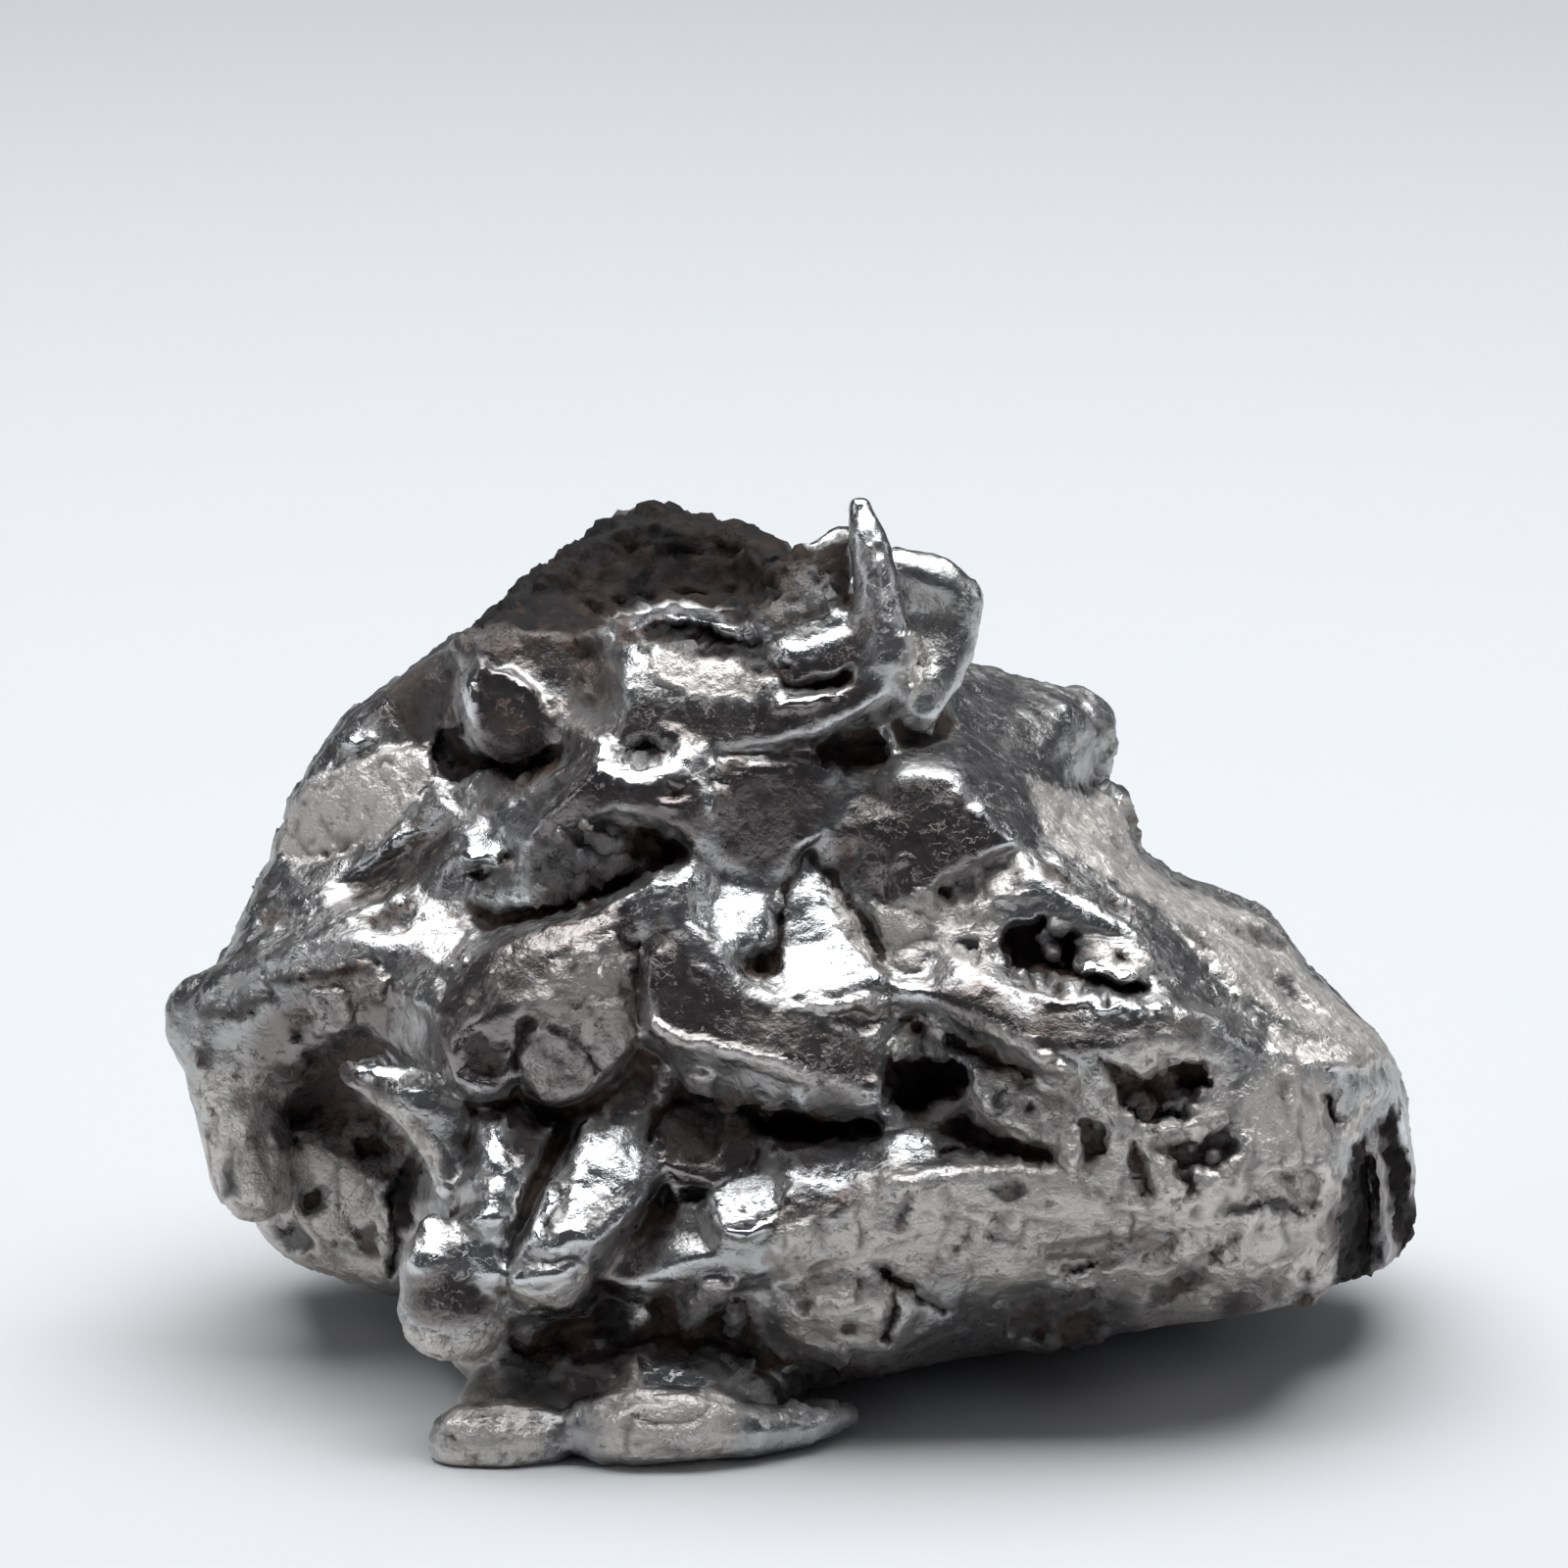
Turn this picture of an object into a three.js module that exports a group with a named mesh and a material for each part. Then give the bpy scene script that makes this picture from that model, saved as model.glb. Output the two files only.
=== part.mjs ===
// An iron meteorite specimen: one lump of nickel-iron, 32 mm wide, with polished ridges, flat
// breaks, cups and pits.
//
// The stone is described from its best side. Every place is [across, up, toward] in millimetres:
// across runs to the right, up runs up the picture and toward runs to the eye, which stands
// eyeDistance away and looks down by eyeTilt. Crease lines along the crests and the valleys make a
// front and a back relief, the outline closes them, and swept balls add knobs, horns and toes or
// carve cups, slots and pits. The whole is then meshed on a lattice.

import * as THREE from 'three'
import { ImprovedNoise } from 'three/addons/math/ImprovedNoise.js'

const latticeStep = 0.5 // millimetres, as everything here
const triangleGoal = 9700
const reliefStep = 0.2
const creaseSpacing = 0.7
const eyeDistance = 300
const eyeTilt = THREE.MathUtils.degToRad(15)
const floorDrop = 11.95 // how far the resting plane lies below the centre of the picture
const edgeRounding = 1.4 // how softly the reliefs meet at the outline
const reliefSoftness = 0.2
const grainHeight = 0.16
const grainLength = 1.7
const farAway = 40

const sinTilt = Math.sin(eyeTilt)
const cosTilt = Math.cos(eyeTilt)

// The outline: [across, up, toward of the front relief, toward of the back relief]
const outline = [
  [-15.6, -1.3, -7.4, -11.6], [-15.2, 0, -7.2, -12.2], [-14.6, 0.6, -7.8, -12.6],
  [-14.3, 1.3, -8.2, -12.8], [-13.9, 2.2, -8.6, -13], [-13.4, 3, -8.8, -13], [-13.1, 4, -9, -13],
  [-13, 4.8, -9, -13], [-12.5, 5.6, -9, -13], [-11.8, 6.6, -9.2, -13], [-11, 7.3, -9.2, -13],
  [-10, 7.9, -8.8, -13], [-9.2, 8.5, -8.4, -13.2], [-8.5, 8.9, -8.2, -13.2],
  [-7.9, 9.5, -8.6, -13.4], [-7.2, 10.2, -8.8, -13.4], [-6.3, 10.8, -9.2, -13.6],
  [-5.5, 11.2, -9.4, -13.6], [-4.9, 11.9, -9.8, -13.6], [-4.4, 12.2, -10, -13.6],
  [-3.5, 12.4, -10.2, -13.6], [-2.4, 12.1, -10.2, -13.6], [-1.2, 11.8, -10, -13.4],
  [-0.5, 11.7, -9.6, -13.6], [0.2, 11.2, -8.8, -13.6], [1, 11, -7.8, -13.6], [1.4, 10.7, -7, -13.6],
  [2.6, 10, -6.6, -13.6], [3.7, 8.8, -6.8, -14], [4.5, 7.9, -8.2, -14.4], [5, 7.7, -8.8, -14.4],
  [6, 7.4, -9.4, -14.4], [7.2, 7.5, -10.6, -14.8], [8, 7.3, -10.8, -14.8], [8.3, 6.7, -11.6, -15],
  [8.35, 6.2, -11.4, -15], [8.2, 5.5, -11.4, -15], [8.1, 4.9, -11.4, -15], [8.7, 4.7, -11.6, -15],
  [9.1, 4, -11.4, -15], [9.3, 3.2, -11.6, -15], [10, 2.6, -11.6, -15], [11.2, 2.2, -11.6, -15],
  [12.6, 1.7, -11.4, -14.8], [13.2, 1.1, -11.2, -14.6], [13.5, 0.3, -10.8, -14.4],
  [14.2, -0.2, -10.6, -14.2], [15, -0.8, -10.4, -14], [15.7, -1.3, -10, -14],
  [16.1, -2.2, -9.6, -13.8], [16.4, -3.5, -9.2, -13.4], [16.6, -5, -9, -13],
  [16.4, -6.2, -8.8, -12.8], [16.4, -7.3, -8.8, -12.4], [15.9, -7.9, -8.4, -12],
  [14.9, -8, -7.6, -12], [14.3, -8.2, -7.2, -12], [13.8, -8.7, -6.2, -10.6], [12.8, -8.9, -6, -9.4],
  [11.8, -9.2, -6, -9], [10, -9.3, -6.2, -8.6], [9, -9.6, -6.2, -8.4], [7.5, -10, -6.2, -8],
  [5.5, -10.2, -6, -7.8], [3.3, -10.6, -4.8, -7], [2, -10.9, -3.6, -6.2], [1, -11.1, -2.8, -5.6],
  [0, -11.2, -2.2, -5.2], [-1.5, -11.3, -2, -4.8], [-3.5, -11.3, -2, -4.8], [-5.6, -11, -2.2, -5],
  [-6.6, -10.6, -2.4, -5.6], [-7.8, -10, -3, -6.8], [-8.4, -9.6, -3.6, -7.6],
  [-9.3, -9.2, -5.2, -9.6], [-9.8, -8.5, -7.8, -11.4], [-10.2, -8.5, -8.6, -12],
  [-12, -7.9, -9.2, -13.6], [-13, -7.7, -9.4, -13.6], [-13.8, -6.8, -9.8, -13.2],
  [-14.2, -6.3, -9.8, -13.2], [-14.5, -5.2, -9.8, -13], [-14.8, -4, -9.4, -12.8],
  [-15, -3, -8.6, -12.4], [-15.4, -2, -7.8, -11.8],
]

// Crests and valleys of the side that faces the eye
const frontCreases = {
  cavernWallFoot: [
    [-4.6, 9.2, -8.2], [-3.0, 9.5, -9.3], [-1.8, 9.4, -9.5], [-0.9, 9.5, -9.2], [-0.4, 10.2, -8.6],
    [0.6, 10.8, -7.6],
  ],
  cavernFloor: [
    [-6.8, 9.5, -7.6], [-5.4, 9.7, -8.2], [-4.6, 10.6, -9.4], [-3.2, 11.0, -10.2], [-1.4, 10.6, -10],
  ],
  cavernLeftWall: [[-7.4, 9.2, -7.0], [-6.4, 10.2, -8.4], [-5.4, 11.0, -9.0]],
  nearRim: [
    [-5.0, 8.8, -4.6], [-4.3, 8.9, -3.7], [-3.7, 9.05, -3.2], [-3.0, 9.3, -3.0], [-2.1, 9.25, -2.8],
    [-1.1, 9.05, -2.5], [-0.5, 9.3, -2.3], [0.0, 9.7, -2.2], [0.8, 10.3, -2.4], [1.5, 11.0, -2.6],
  ],
  bandTop: [
    [-4.0, 8.4, -2.7], [-3.0, 8.25, -2.3], [-2.2, 8.3, -2.2], [-1.0, 8.4, -2.0], [-0.2, 8.5, -1.6],
    [0.8, 8.9, -1.4], [1.9, 9.4, -1.3],
  ],
  bandBreak: [
    [-4.1, 7.4, -1.7], [-2.5, 7.2, -1.2], [-1.2, 7.2, -1.0], [-0.4, 7.0, -0.9], [0.5, 7.1, -0.7],
    [1.9, 7.7, -0.7],
  ],
  bandFoot: [
    [2.7, 7.3, -0.8], [1.9, 6.8, -0.6], [1.0, 6.35, -0.5], [0.0, 6.15, -0.4], [-1.4, 6.05, -0.4],
    [-2.3, 6.05, -0.4], [-2.9, 6.2, -0.7],
  ],
  underBand: [
    [2.6, 6.6, -2.4], [1.8, 6.1, -2.4], [0.8, 5.85, -1.7], [-0.4, 5.75, -1.2], [-1.5, 5.65, -0.9],
  ],
  spikeFoot: [[2.3, 9.6, -1.3], [2.5, 8.8, -1.0], [2.7, 8.0, -0.8]],
  lobeBack: [[3.0, 9.4, -4.4], [3.4, 8.4, -4.0], [3.6, 7.2, -3.6], [3.2, 6.4, -3.0]],
  notch: [[-4.4, 6.0, -1.7], [-3.6, 5.9, -2.0], [-2.9, 6.05, -1.6]],
  notchLip: [
    [-4.9, 6.3, -1.4], [-4.75, 5.5, -0.5], [-4.1, 5.1, -0.2], [-3.5, 5.1, -0.1], [-2.9, 5.5, -0.3],
    [-2.4, 5.8, -0.4],
  ],
  armCrest: [
    [-4.8, 5.4, -0.4], [-5.5, 4.7, -0.7], [-6.1, 4.2, -1.2], [-6.6, 3.4, -1.6], [-6.9, 2.7, -2.0],
    [-7.2, 2.0, -2.4],
  ],
  armLip: [
    [-6.2, 3.2, -1.7], [-5.8, 3.9, -1.1], [-5.1, 4.25, -0.7], [-4.2, 4.4, -0.4], [-3.3, 4.15, -0.3],
    [-2.6, 3.8, -0.3], [-2.25, 3.4, -0.5], [-2.05, 3.1, -0.8],
  ],
  recessTop: [
    [-5.9, 2.9, -3.0], [-5.3, 3.6, -3.3], [-4.2, 3.95, -3.4], [-3.2, 3.7, -3.2], [-2.7, 3.3, -2.8],
  ],
  recessFloor: [[-6.7, 1.8, -3.3], [-5.4, 2.2, -3.7], [-4.4, 2.6, -3.4], [-3.4, 3.0, -3.0]],
  midFaceTop: [[-1.9, 5.2, -0.5], [-0.4, 5.3, -0.9], [0.9, 5.3, -1.5]],
  midFaceLeft: [[-2.1, 4.6, -0.2], [-1.9, 3.7, -0.5], [-1.5, 3.0, -1.0], [-1.0, 2.5, -1.8]],
  midFaceRight: [
    [1.9, 5.2, -2.3], [1.4, 4.6, -2.1], [0.9, 4.0, -2.1], [0.45, 3.6, -2.2], [0.0, 3.0, -2.4],
    [-0.4, 2.6, -2.5],
  ],
  rightFaceTop: [
    [2.7, 5.6, -1.8], [3.5, 5.45, -1.5], [4.2, 5.3, -1.4], [4.6, 5.35, -1.6], [5.0, 4.6, -1.3],
    [5.5, 4.15, -1.4], [5.9, 3.9, -1.8],
  ],
  rightFaceBehind: [[3.2, 6.1, -3.4], [4.6, 5.95, -3.9], [5.8, 5.2, -4.4], [6.6, 4.3, -4.2]],
  rightFaceLeft: [[2.1, 5.0, -1.9], [1.55, 4.3, -1.6], [1.15, 3.6, -1.5], [0.95, 3.1, -1.7]],
  rightFaceFoot: [
    [5.85, 3.5, -1.2], [4.8, 2.9, -0.9], [4.0, 2.5, -0.8], [3.3, 2.1, -0.8], [2.6, 1.75, -1.0],
    [2.1, 1.85, -1.2], [1.6, 2.3, -1.4],
  ],
  rightFaceMiddle: [[2.4, 3.8, -1.1], [4.2, 3.8, -0.9]],
  stripRight: [
    [6.2, 3.2, -2.4], [5.2, 2.45, -2.4], [4.35, 1.6, -2.3], [3.85, 0.8, -2.1], [3.55, 0.2, -1.5],
  ],
  stripLeft: [[2.15, 1.5, -1.5], [2.45, 0.7, -1.5], [2.7, 0.1, -0.8]],
  fangCrest: [[0.5, 3.15, -1.9], [1.0, 2.0, -1.0], [1.6, 0.9, -0.3], [2.55, 0.05, 0.1]],
  fangRight: [[1.0, 2.8, -2.2], [1.7, 2.1, -2.1], [2.1, 1.2, -1.8], [2.4, 0.4, -1.3]],
  fangLeft: [[0.3, 2.6, -2.4], [0.05, 1.6, -2.2], [-0.2, 0.8, -1.7], [-0.6, 0.3, -1.4]],
  fangFoot: [[-0.1, -0.45, 0.3], [0.7, -0.4, 0.4], [1.6, -0.2, 0.35], [2.55, 0.05, 0.1]],
  scoopBack: [
    [-2.1, 3.0, -0.6], [-1.6, 2.7, -1.3], [-1.2, 2.3, -1.7], [-0.6, 2.1, -2.2], [-0.1, 1.7, -2.4],
  ],
  scoopFloor: [[-1.7, 1.8, -0.8], [-1.0, 1.0, -1.2], [-0.8, 0.4, -1.4]],
  scoopEdge: [
    [-2.1, 3.0, -0.6], [-2.5, 2.3, 0.1], [-2.5, 1.7, 0.4], [-2.1, 1.1, 0.5], [-1.5, 0.5, 0.5],
    [-0.9, -0.1, 0.45], [-0.1, -0.45, 0.3],
  ],
  plateTop: [
    [-8.3, 0.2, -1.4], [-7.7, 0.7, -1.1], [-7.0, 1.1, -0.8], [-6.0, 1.45, -0.5], [-5.0, 1.7, -0.3],
    [-4.2, 2.1, -0.2], [-3.4, 2.6, -0.2], [-2.6, 2.9, -0.3], [-2.1, 3.0, -0.6],
  ],
  plateBehind: [
    [-8.1, 0.9, -3.2], [-7.0, 1.5, -3.4], [-5.8, 1.85, -3.4], [-4.8, 2.2, -3.2], [-3.8, 2.75, -2.8],
    [-3.0, 3.05, -2.0],
  ],
  plateMiddle: [[-2.4, 0.6, 0.6], [-1.2, -0.8, 0.7], [0.6, -1.2, 0.6], [2.2, -1.4, 0.2]],
  plateLip: [
    [-3.55, 0.5, 0.4], [-3.5, -0.5, 0.6], [-3.2, -1.2, 0.8], [-2.5, -1.6, 1.0], [-1.3, -1.85, 1.1],
    [0.0, -2.1, 1.1], [1.2, -2.6, 1.0], [2.4, -3.05, 0.8],
  ],
  plateEnd: [[2.7, -0.2, 0.0], [2.75, -1.1, -0.3], [2.55, -2.2, 0.2], [2.5, -2.9, 0.6]],
  plateUnderLip: [
    [-3.2, -1.9, -0.5], [-2.6, -2.3, -0.3], [-2.1, -2.6, -0.1], [-1.3, -2.6, 0.1], [-0.3, -3.0, 0.1],
    [0.8, -3.2, 0.2], [2.3, -3.35, 0.1],
  ],
  plateShadow: [[-2.8, -3.0, -2.0], [-1.2, -3.4, -2.4], [0.5, -3.7, -2.6], [2.3, -3.75, -2.8]],
  seam: [[-3.9, 1.6, -0.1], [-3.75, 0.8, -0.3], [-3.65, 0.0, -0.1], [-3.7, -0.8, 0.0]],
  crustPlateTop: [[-7.4, 0.2, -0.1], [-6.2, 0.7, 0.2], [-5.2, 1.1, 0.3], [-4.3, 1.3, 0.2]],
  crustPlateMiddle: [[-7.8, -1.0, 0.3], [-6.4, -0.6, 0.6], [-5.0, -0.5, 0.7], [-4.2, -0.6, 0.4]],
  crustPlateFoot: [
    [-8.35, 0.0, -1.2], [-8.7, -0.8, -0.9], [-8.65, -1.8, -0.3], [-8.35, -2.6, 0.1],
    [-7.8, -2.85, 0.3], [-7.2, -2.7, 0.3], [-6.9, -2.2, 0.3], [-6.5, -2.5, 0.4], [-6.1, -3.05, 0.5],
    [-5.6, -3.1, 0.6], [-5.0, -2.8, 0.6], [-4.4, -2.3, 0.5], [-4.0, -1.8, 0.3], [-3.65, -1.2, 0.0],
  ],
  crustPlateShadow: [
    [-9.1, -1.2, -2.4], [-9.0, -2.2, -2.2], [-8.6, -3.1, -1.8], [-7.7, -3.3, -1.7], [-6.9, -3.0, -2.1],
    [-6.2, -3.5, -2.4], [-5.2, -3.5, -2.2], [-4.4, -2.8, -2.2], [-3.7, -2.1, -2.0],
  ],
  legsGround: [
    [-8.6, -4.6, -2.6], [-6.4, -4.6, -2.8], [-3.0, -5.6, -2.6], [-6.8, -7.6, -2.4], [-3.4, -7.4, -2.4],
    [-1.6, -4.6, -2.4],
  ],
  eyeOuter: [
    [3.7, 0.0, -0.2], [3.95, 0.6, -0.5], [4.4, 1.3, -0.7], [5.0, 1.9, -0.9], [5.7, 2.4, -1.0],
    [6.3, 2.65, -1.1], [7.0, 2.2, -0.9], [7.8, 1.7, -0.8], [8.6, 1.3, -0.8], [9.3, 0.9, -0.9],
    [9.9, 0.3, -1.0], [10.3, -0.3, -1.1], [11.0, -0.8, -1.3], [11.8, -1.2, -1.6],
  ],
  eyeLower: [
    [4.3, 0.1, 0.3], [5.3, 0.1, 0.5], [5.9, -0.4, 0.8], [6.8, -0.7, 0.9], [8.0, -0.85, 0.9],
    [9.2, -0.85, 0.7], [10.2, -0.75, 0.2], [11.2, -1.0, -0.6],
  ],
  eyePit: [[6.0, 0.4, -1.0], [6.3, 1.2, -1.3], [7.2, 1.0, -1.4], [7.6, 0.2, -0.9], [9.0, 0.0, -0.9]],
  browBehind: [
    [6.4, 3.4, -2.4], [7.2, 3.3, -2.8], [8.2, 2.6, -2.8], [9.4, 1.9, -2.8], [10.4, 0.9, -2.6],
    [11.4, -0.2, -2.4], [12.2, -0.9, -2.4],
  ],
  eyeBand: [
    [3.6, -0.3, 0.4], [5.0, -0.9, 1.0], [6.0, -1.4, 1.3], [7.2, -1.7, 1.4], [8.4, -1.6, 1.2],
    [10.0, -1.4, 0.6], [11.4, -1.4, -0.2], [12.2, -1.8, -0.9],
  ],
  eyeLedge: [
    [3.5, -0.7, -0.1], [4.3, -1.1, 0.3], [5.3, -1.5, 0.7], [6.0, -1.9, 0.9], [6.8, -2.3, 1.0],
    [7.7, -2.3, 1.0],
  ],
  eyeGroove: [
    [3.4, -1.2, -1.2], [4.4, -1.6, -0.8], [5.4, -2.0, -0.4], [6.2, -2.5, -0.2], [6.9, -2.9, 0.0],
  ],
  slab: [[4.9, -2.3, 0.1], [5.0, -3.0, 0.2], [5.6, -3.6, 0.3], [6.3, -4.0, 0.3], [6.9, -4.2, 0.3]],
  slabFoot: [[4.5, -3.7, -1.4], [5.4, -4.2, -1.2], [6.6, -4.5, -0.6]],
  rightWallTop: [
    [-2.8, -7.2, 0.3], [-1.6, -6.95, 0.5], [-0.4, -6.5, 0.7], [0.8, -6.05, 0.8], [2.0, -5.3, 0.8],
    [3.6, -4.9, 0.7], [5.4, -4.8, 0.6], [7.0, -4.7, 0.6], [7.6, -3.6, 0.8], [8.0, -2.6, 1.1],
  ],
  rightWallUpper: [
    [4.0, -6.2, 0.3], [6.0, -6.0, 0.5], [8.0, -5.8, 0.6], [10.4, -5.6, 0.3], [12.0, -4.8, -0.2],
    [13.6, -4.6, -1.3],
  ],
  rightWallShoulder: [[11.6, -2.6, -0.4], [12.8, -2.3, -1.1], [14.2, -2.3, -2.2], [14.9, -3.0, -3.4]],
  rightWallEdge: [
    [14.9, -3.0, -3.4], [14.25, -4.1, -2.5], [14.25, -5.5, -2.5], [13.95, -6.8, -2.9],
    [13.9, -7.8, -3.7], [13.5, -8.5, -5.0],
  ],
  rightWallBreak: [[3.6, -7.6, -0.7], [6.5, -7.6, -1.2], [10.0, -7.3, -1.2], [12.5, -7.5, -1.9]],
  rightWallFoot: [[4.4, -9.2, -3.0], [7.0, -9.3, -4.6], [10.0, -8.9, -4.6], [12.5, -8.8, -4.9]],
  rightEnd: [[15.0, -3.4, -5.6], [14.8, -5.0, -6.4], [14.7, -6.6, -6.8], [14.6, -7.8, -7.0]],
  rightEndOuter: [[15.6, -2.6, -6.4], [15.9, -4.0, -7.2], [16.2, -6.0, -8.0]],
  clinker: [
    [-1.2, -8.0, -0.7], [0.3, -7.45, -0.2], [1.7, -7.3, -0.1], [2.9, -7.8, -0.6], [4.2, -8.7, -1.7],
    [3.1, -9.3, -2.2], [1.8, -9.7, -2.2], [0.2, -9.1, -1.9], [-1.2, -8.0, -0.7],
  ],
  clinkerMiddle: [[0.4, -8.3, 0.0], [1.7, -8.2, 0.3], [2.6, -8.6, -0.4]],
  clinkerShadow: [[-0.6, -10.0, -3.6], [1.0, -10.2, -3.8], [2.3, -10.4, -4.6]],
  cupsCrest: [
    [-2.9, -6.7, -0.2], [-1.6, -6.4, 0.4], [-0.4, -6.0, 0.6], [0.4, -5.6, 0.7], [1.4, -5.2, 0.6],
    [2.2, -4.8, 0.4], [3.4, -4.6, 0.5], [4.6, -4.4, 0.2],
  ],
  cupsBack: [
    [-2.6, -5.3, -1.5], [-0.7, -4.4, -1.5], [0.6, -4.3, -1.5], [1.8, -4.0, -1.7], [3.4, -3.8, -1.9],
    [4.3, -3.8, -1.7],
  ],
  footGround: [[-5.6, -8.8, -2.6], [-3.8, -9.0, -2.2], [-2.0, -9.2, -2.6], [-6.8, -9.6, -3.0]],
  leftCrest: [
    [-15.2, -0.4, -6.8], [-14.6, 0.1, -6.2], [-13.4, 0.3, -5.3], [-12.0, 0.8, -4.5],
    [-10.9, 1.1, -4.0], [-10.3, 0.7, -3.6], [-9.3, 0.8, -3.2], [-8.6, 0.0, -2.5],
  ],
  leftValley: [
    [-13.9, 1.4, -7.6], [-12.9, 1.4, -6.8], [-11.6, 1.7, -5.8], [-10.4, 1.9, -5.2], [-9.4, 2.1, -4.8],
    [-8.2, 2.2, -4.2],
  ],
  shoulderCrest: [
    [-13.0, 2.4, -8.0], [-12.2, 2.4, -7.2], [-11.2, 2.5, -6.5], [-10.4, 3.1, -6.3], [-9.6, 3.8, -6.0],
    [-8.8, 4.3, -5.6],
  ],
  shoulderUnder: [[-11.2, 2.1, -7.0], [-10.0, 2.7, -7.0], [-9.0, 3.4, -6.4]],
  facetLip: [[-8.4, 2.9, -3.8], [-7.7, 3.0, -3.3], [-6.8, 3.35, -2.9]],
  facetTop: [[-8.0, 4.1, -4.9], [-7.2, 4.6, -4.7], [-6.3, 4.7, -4.0]],
  facetUnder: [[-8.5, 2.4, -4.4], [-7.6, 2.6, -3.9]],
  leftUnderCrest: [
    [-15.2, -1.2, -7.0], [-14.0, -1.1, -5.8], [-12.6, -0.8, -4.7], [-11.3, -0.3, -4.0],
    [-10.0, -0.3, -3.4],
  ],
  leftBelly: [
    [-15.0, -2.4, -7.6], [-14.0, -2.5, -6.6], [-12.4, -2.2, -5.6], [-11.3, -1.6, -4.9],
    [-10.2, -1.3, -4.2], [-9.5, -1.8, -3.2],
  ],
  leftBellyFoot: [[-14.7, -3.8, -8.8], [-13.2, -3.7, -8.4], [-11.8, -3.4, -8.2], [-10.4, -3.4, -7.4]],
  leftRearUpper: [[-13.8, -4.8, -8.8], [-12.4, -4.3, -8.0], [-11.2, -5.0, -7.8], [-9.6, -4.9, -6.4]],
  leftRearLower: [[-13.4, -6.4, -9.0], [-12.0, -6.6, -8.4], [-10.8, -7.2, -8.4], [-9.6, -7.2, -6.6]],
  flankFace: [
    [-12.7, 4.4, -8.8], [-12.1, 5.4, -8.9], [-10.8, 5.9, -8.4], [-9.2, 5.9, -7.6], [-8.9, 5.0, -6.5],
    [-9.6, 4.1, -6.3], [-11.0, 3.2, -7.2], [-12.4, 3.0, -8.2], [-12.7, 4.4, -8.8],
  ],
  flankAbove: [[-11.2, 6.7, -8.8], [-10.0, 7.1, -8.2], [-9.0, 7.4, -7.0], [-8.5, 6.5, -6.8]],
  blockFront: [
    [-8.1, 7.2, -4.7], [-7.8, 7.85, -4.8], [-7.0, 7.85, -4.6], [-6.2, 7.2, -4.2], [-6.0, 6.4, -4.3],
    [-7.2, 6.2, -4.2], [-8.0, 6.5, -4.4], [-8.1, 7.2, -4.7],
  ],
  blockShadow: [
    [-8.6, 7.6, -6.8], [-8.6, 6.4, -6.9], [-8.4, 5.5, -6.4], [-7.0, 5.6, -5.6], [-5.9, 5.5, -4.8],
    [-5.4, 6.2, -3.8],
  ],
  browBand: [[-8.4, 8.7, -6.4], [-7.0, 8.6, -5.8], [-5.6, 8.8, -5.6], [-4.7, 8.2, -4.7]],
  browBandFoot: [[-6.4, 7.7, -4.7], [-5.4, 7.3, -4.3], [-4.8, 7.2, -3.8]],
  pillar: [[-4.5, 8.6, -3.9], [-4.4, 7.6, -3.2], [-4.5, 6.7, -2.8], [-5.1, 5.6, -2.4]],
  slopeNear: [
    [6.6, 3.6, -3.0], [7.8, 3.2, -3.6], [9.2, 2.3, -3.8], [10.4, 1.3, -3.6], [11.6, 0.3, -3.4],
    [12.8, -0.8, -3.4], [13.8, -1.6, -3.6], [14.9, -2.1, -4.6],
  ],
  slopeMiddle: [
    [4.4, 6.6, -6.0], [6.5, 5.3, -7.0], [8.2, 3.9, -7.6], [10.0, 2.4, -7.6], [12.0, 1.1, -7.6],
    [13.6, -0.1, -7.6], [15.0, -1.3, -7.4],
  ],
}

// Crests and valleys of the side that faces away
const backCreases = {
  spine: [
    [-9.0, 3.0, -18.5], [-5.0, 4.2, -20.5], [-1.0, 2.6, -21.8], [3.0, 1.4, -21.2], [7.5, -0.6, -20.4],
    [12.0, -3.2, -18.0],
  ],
  crown: [
    [-8.0, 7.2, -15.6], [-5.4, 8.6, -16.8], [-2.0, 8.4, -17.6], [1.4, 7.6, -17.6], [4.6, 5.0, -18.0],
  ],
  saddle: [[-6.6, 6.2, -17.6], [-2.4, 5.6, -18.8], [1.6, 4.6, -18.9], [5.6, 2.8, -18.6]],
  waist: [
    [-11.6, -0.8, -16.6], [-7.4, -1.6, -19.0], [-2.8, -2.0, -20.2], [2.0, -2.8, -20.0],
    [6.8, -4.4, -18.6], [12.2, -5.6, -15.6],
  ],
  hip: [
    [-11.6, -4.0, -16.4], [-8.0, -4.8, -18.2], [-3.6, -5.0, -19.4], [1.2, -5.6, -19.0],
    [5.6, -6.4, -18.2], [10.0, -6.6, -16.2],
  ],
  heel: [
    [-11.4, -6.6, -14.6], [-6.4, -7.3, -15.4], [-1.0, -7.5, -14.4], [3.2, -7.5, -14.6],
    [7.4, -7.4, -15.2], [11.2, -6.8, -14.0],
  ],
  sole: [
    [-10.4, -7.9, -12.6], [-6.0, -8.8, -9.6], [-1.0, -9.7, -6.8], [3.6, -9.9, -6.9], [7.0, -9.2, -8.8],
    [11.0, -8.4, -11.4],
  ],
}

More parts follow.
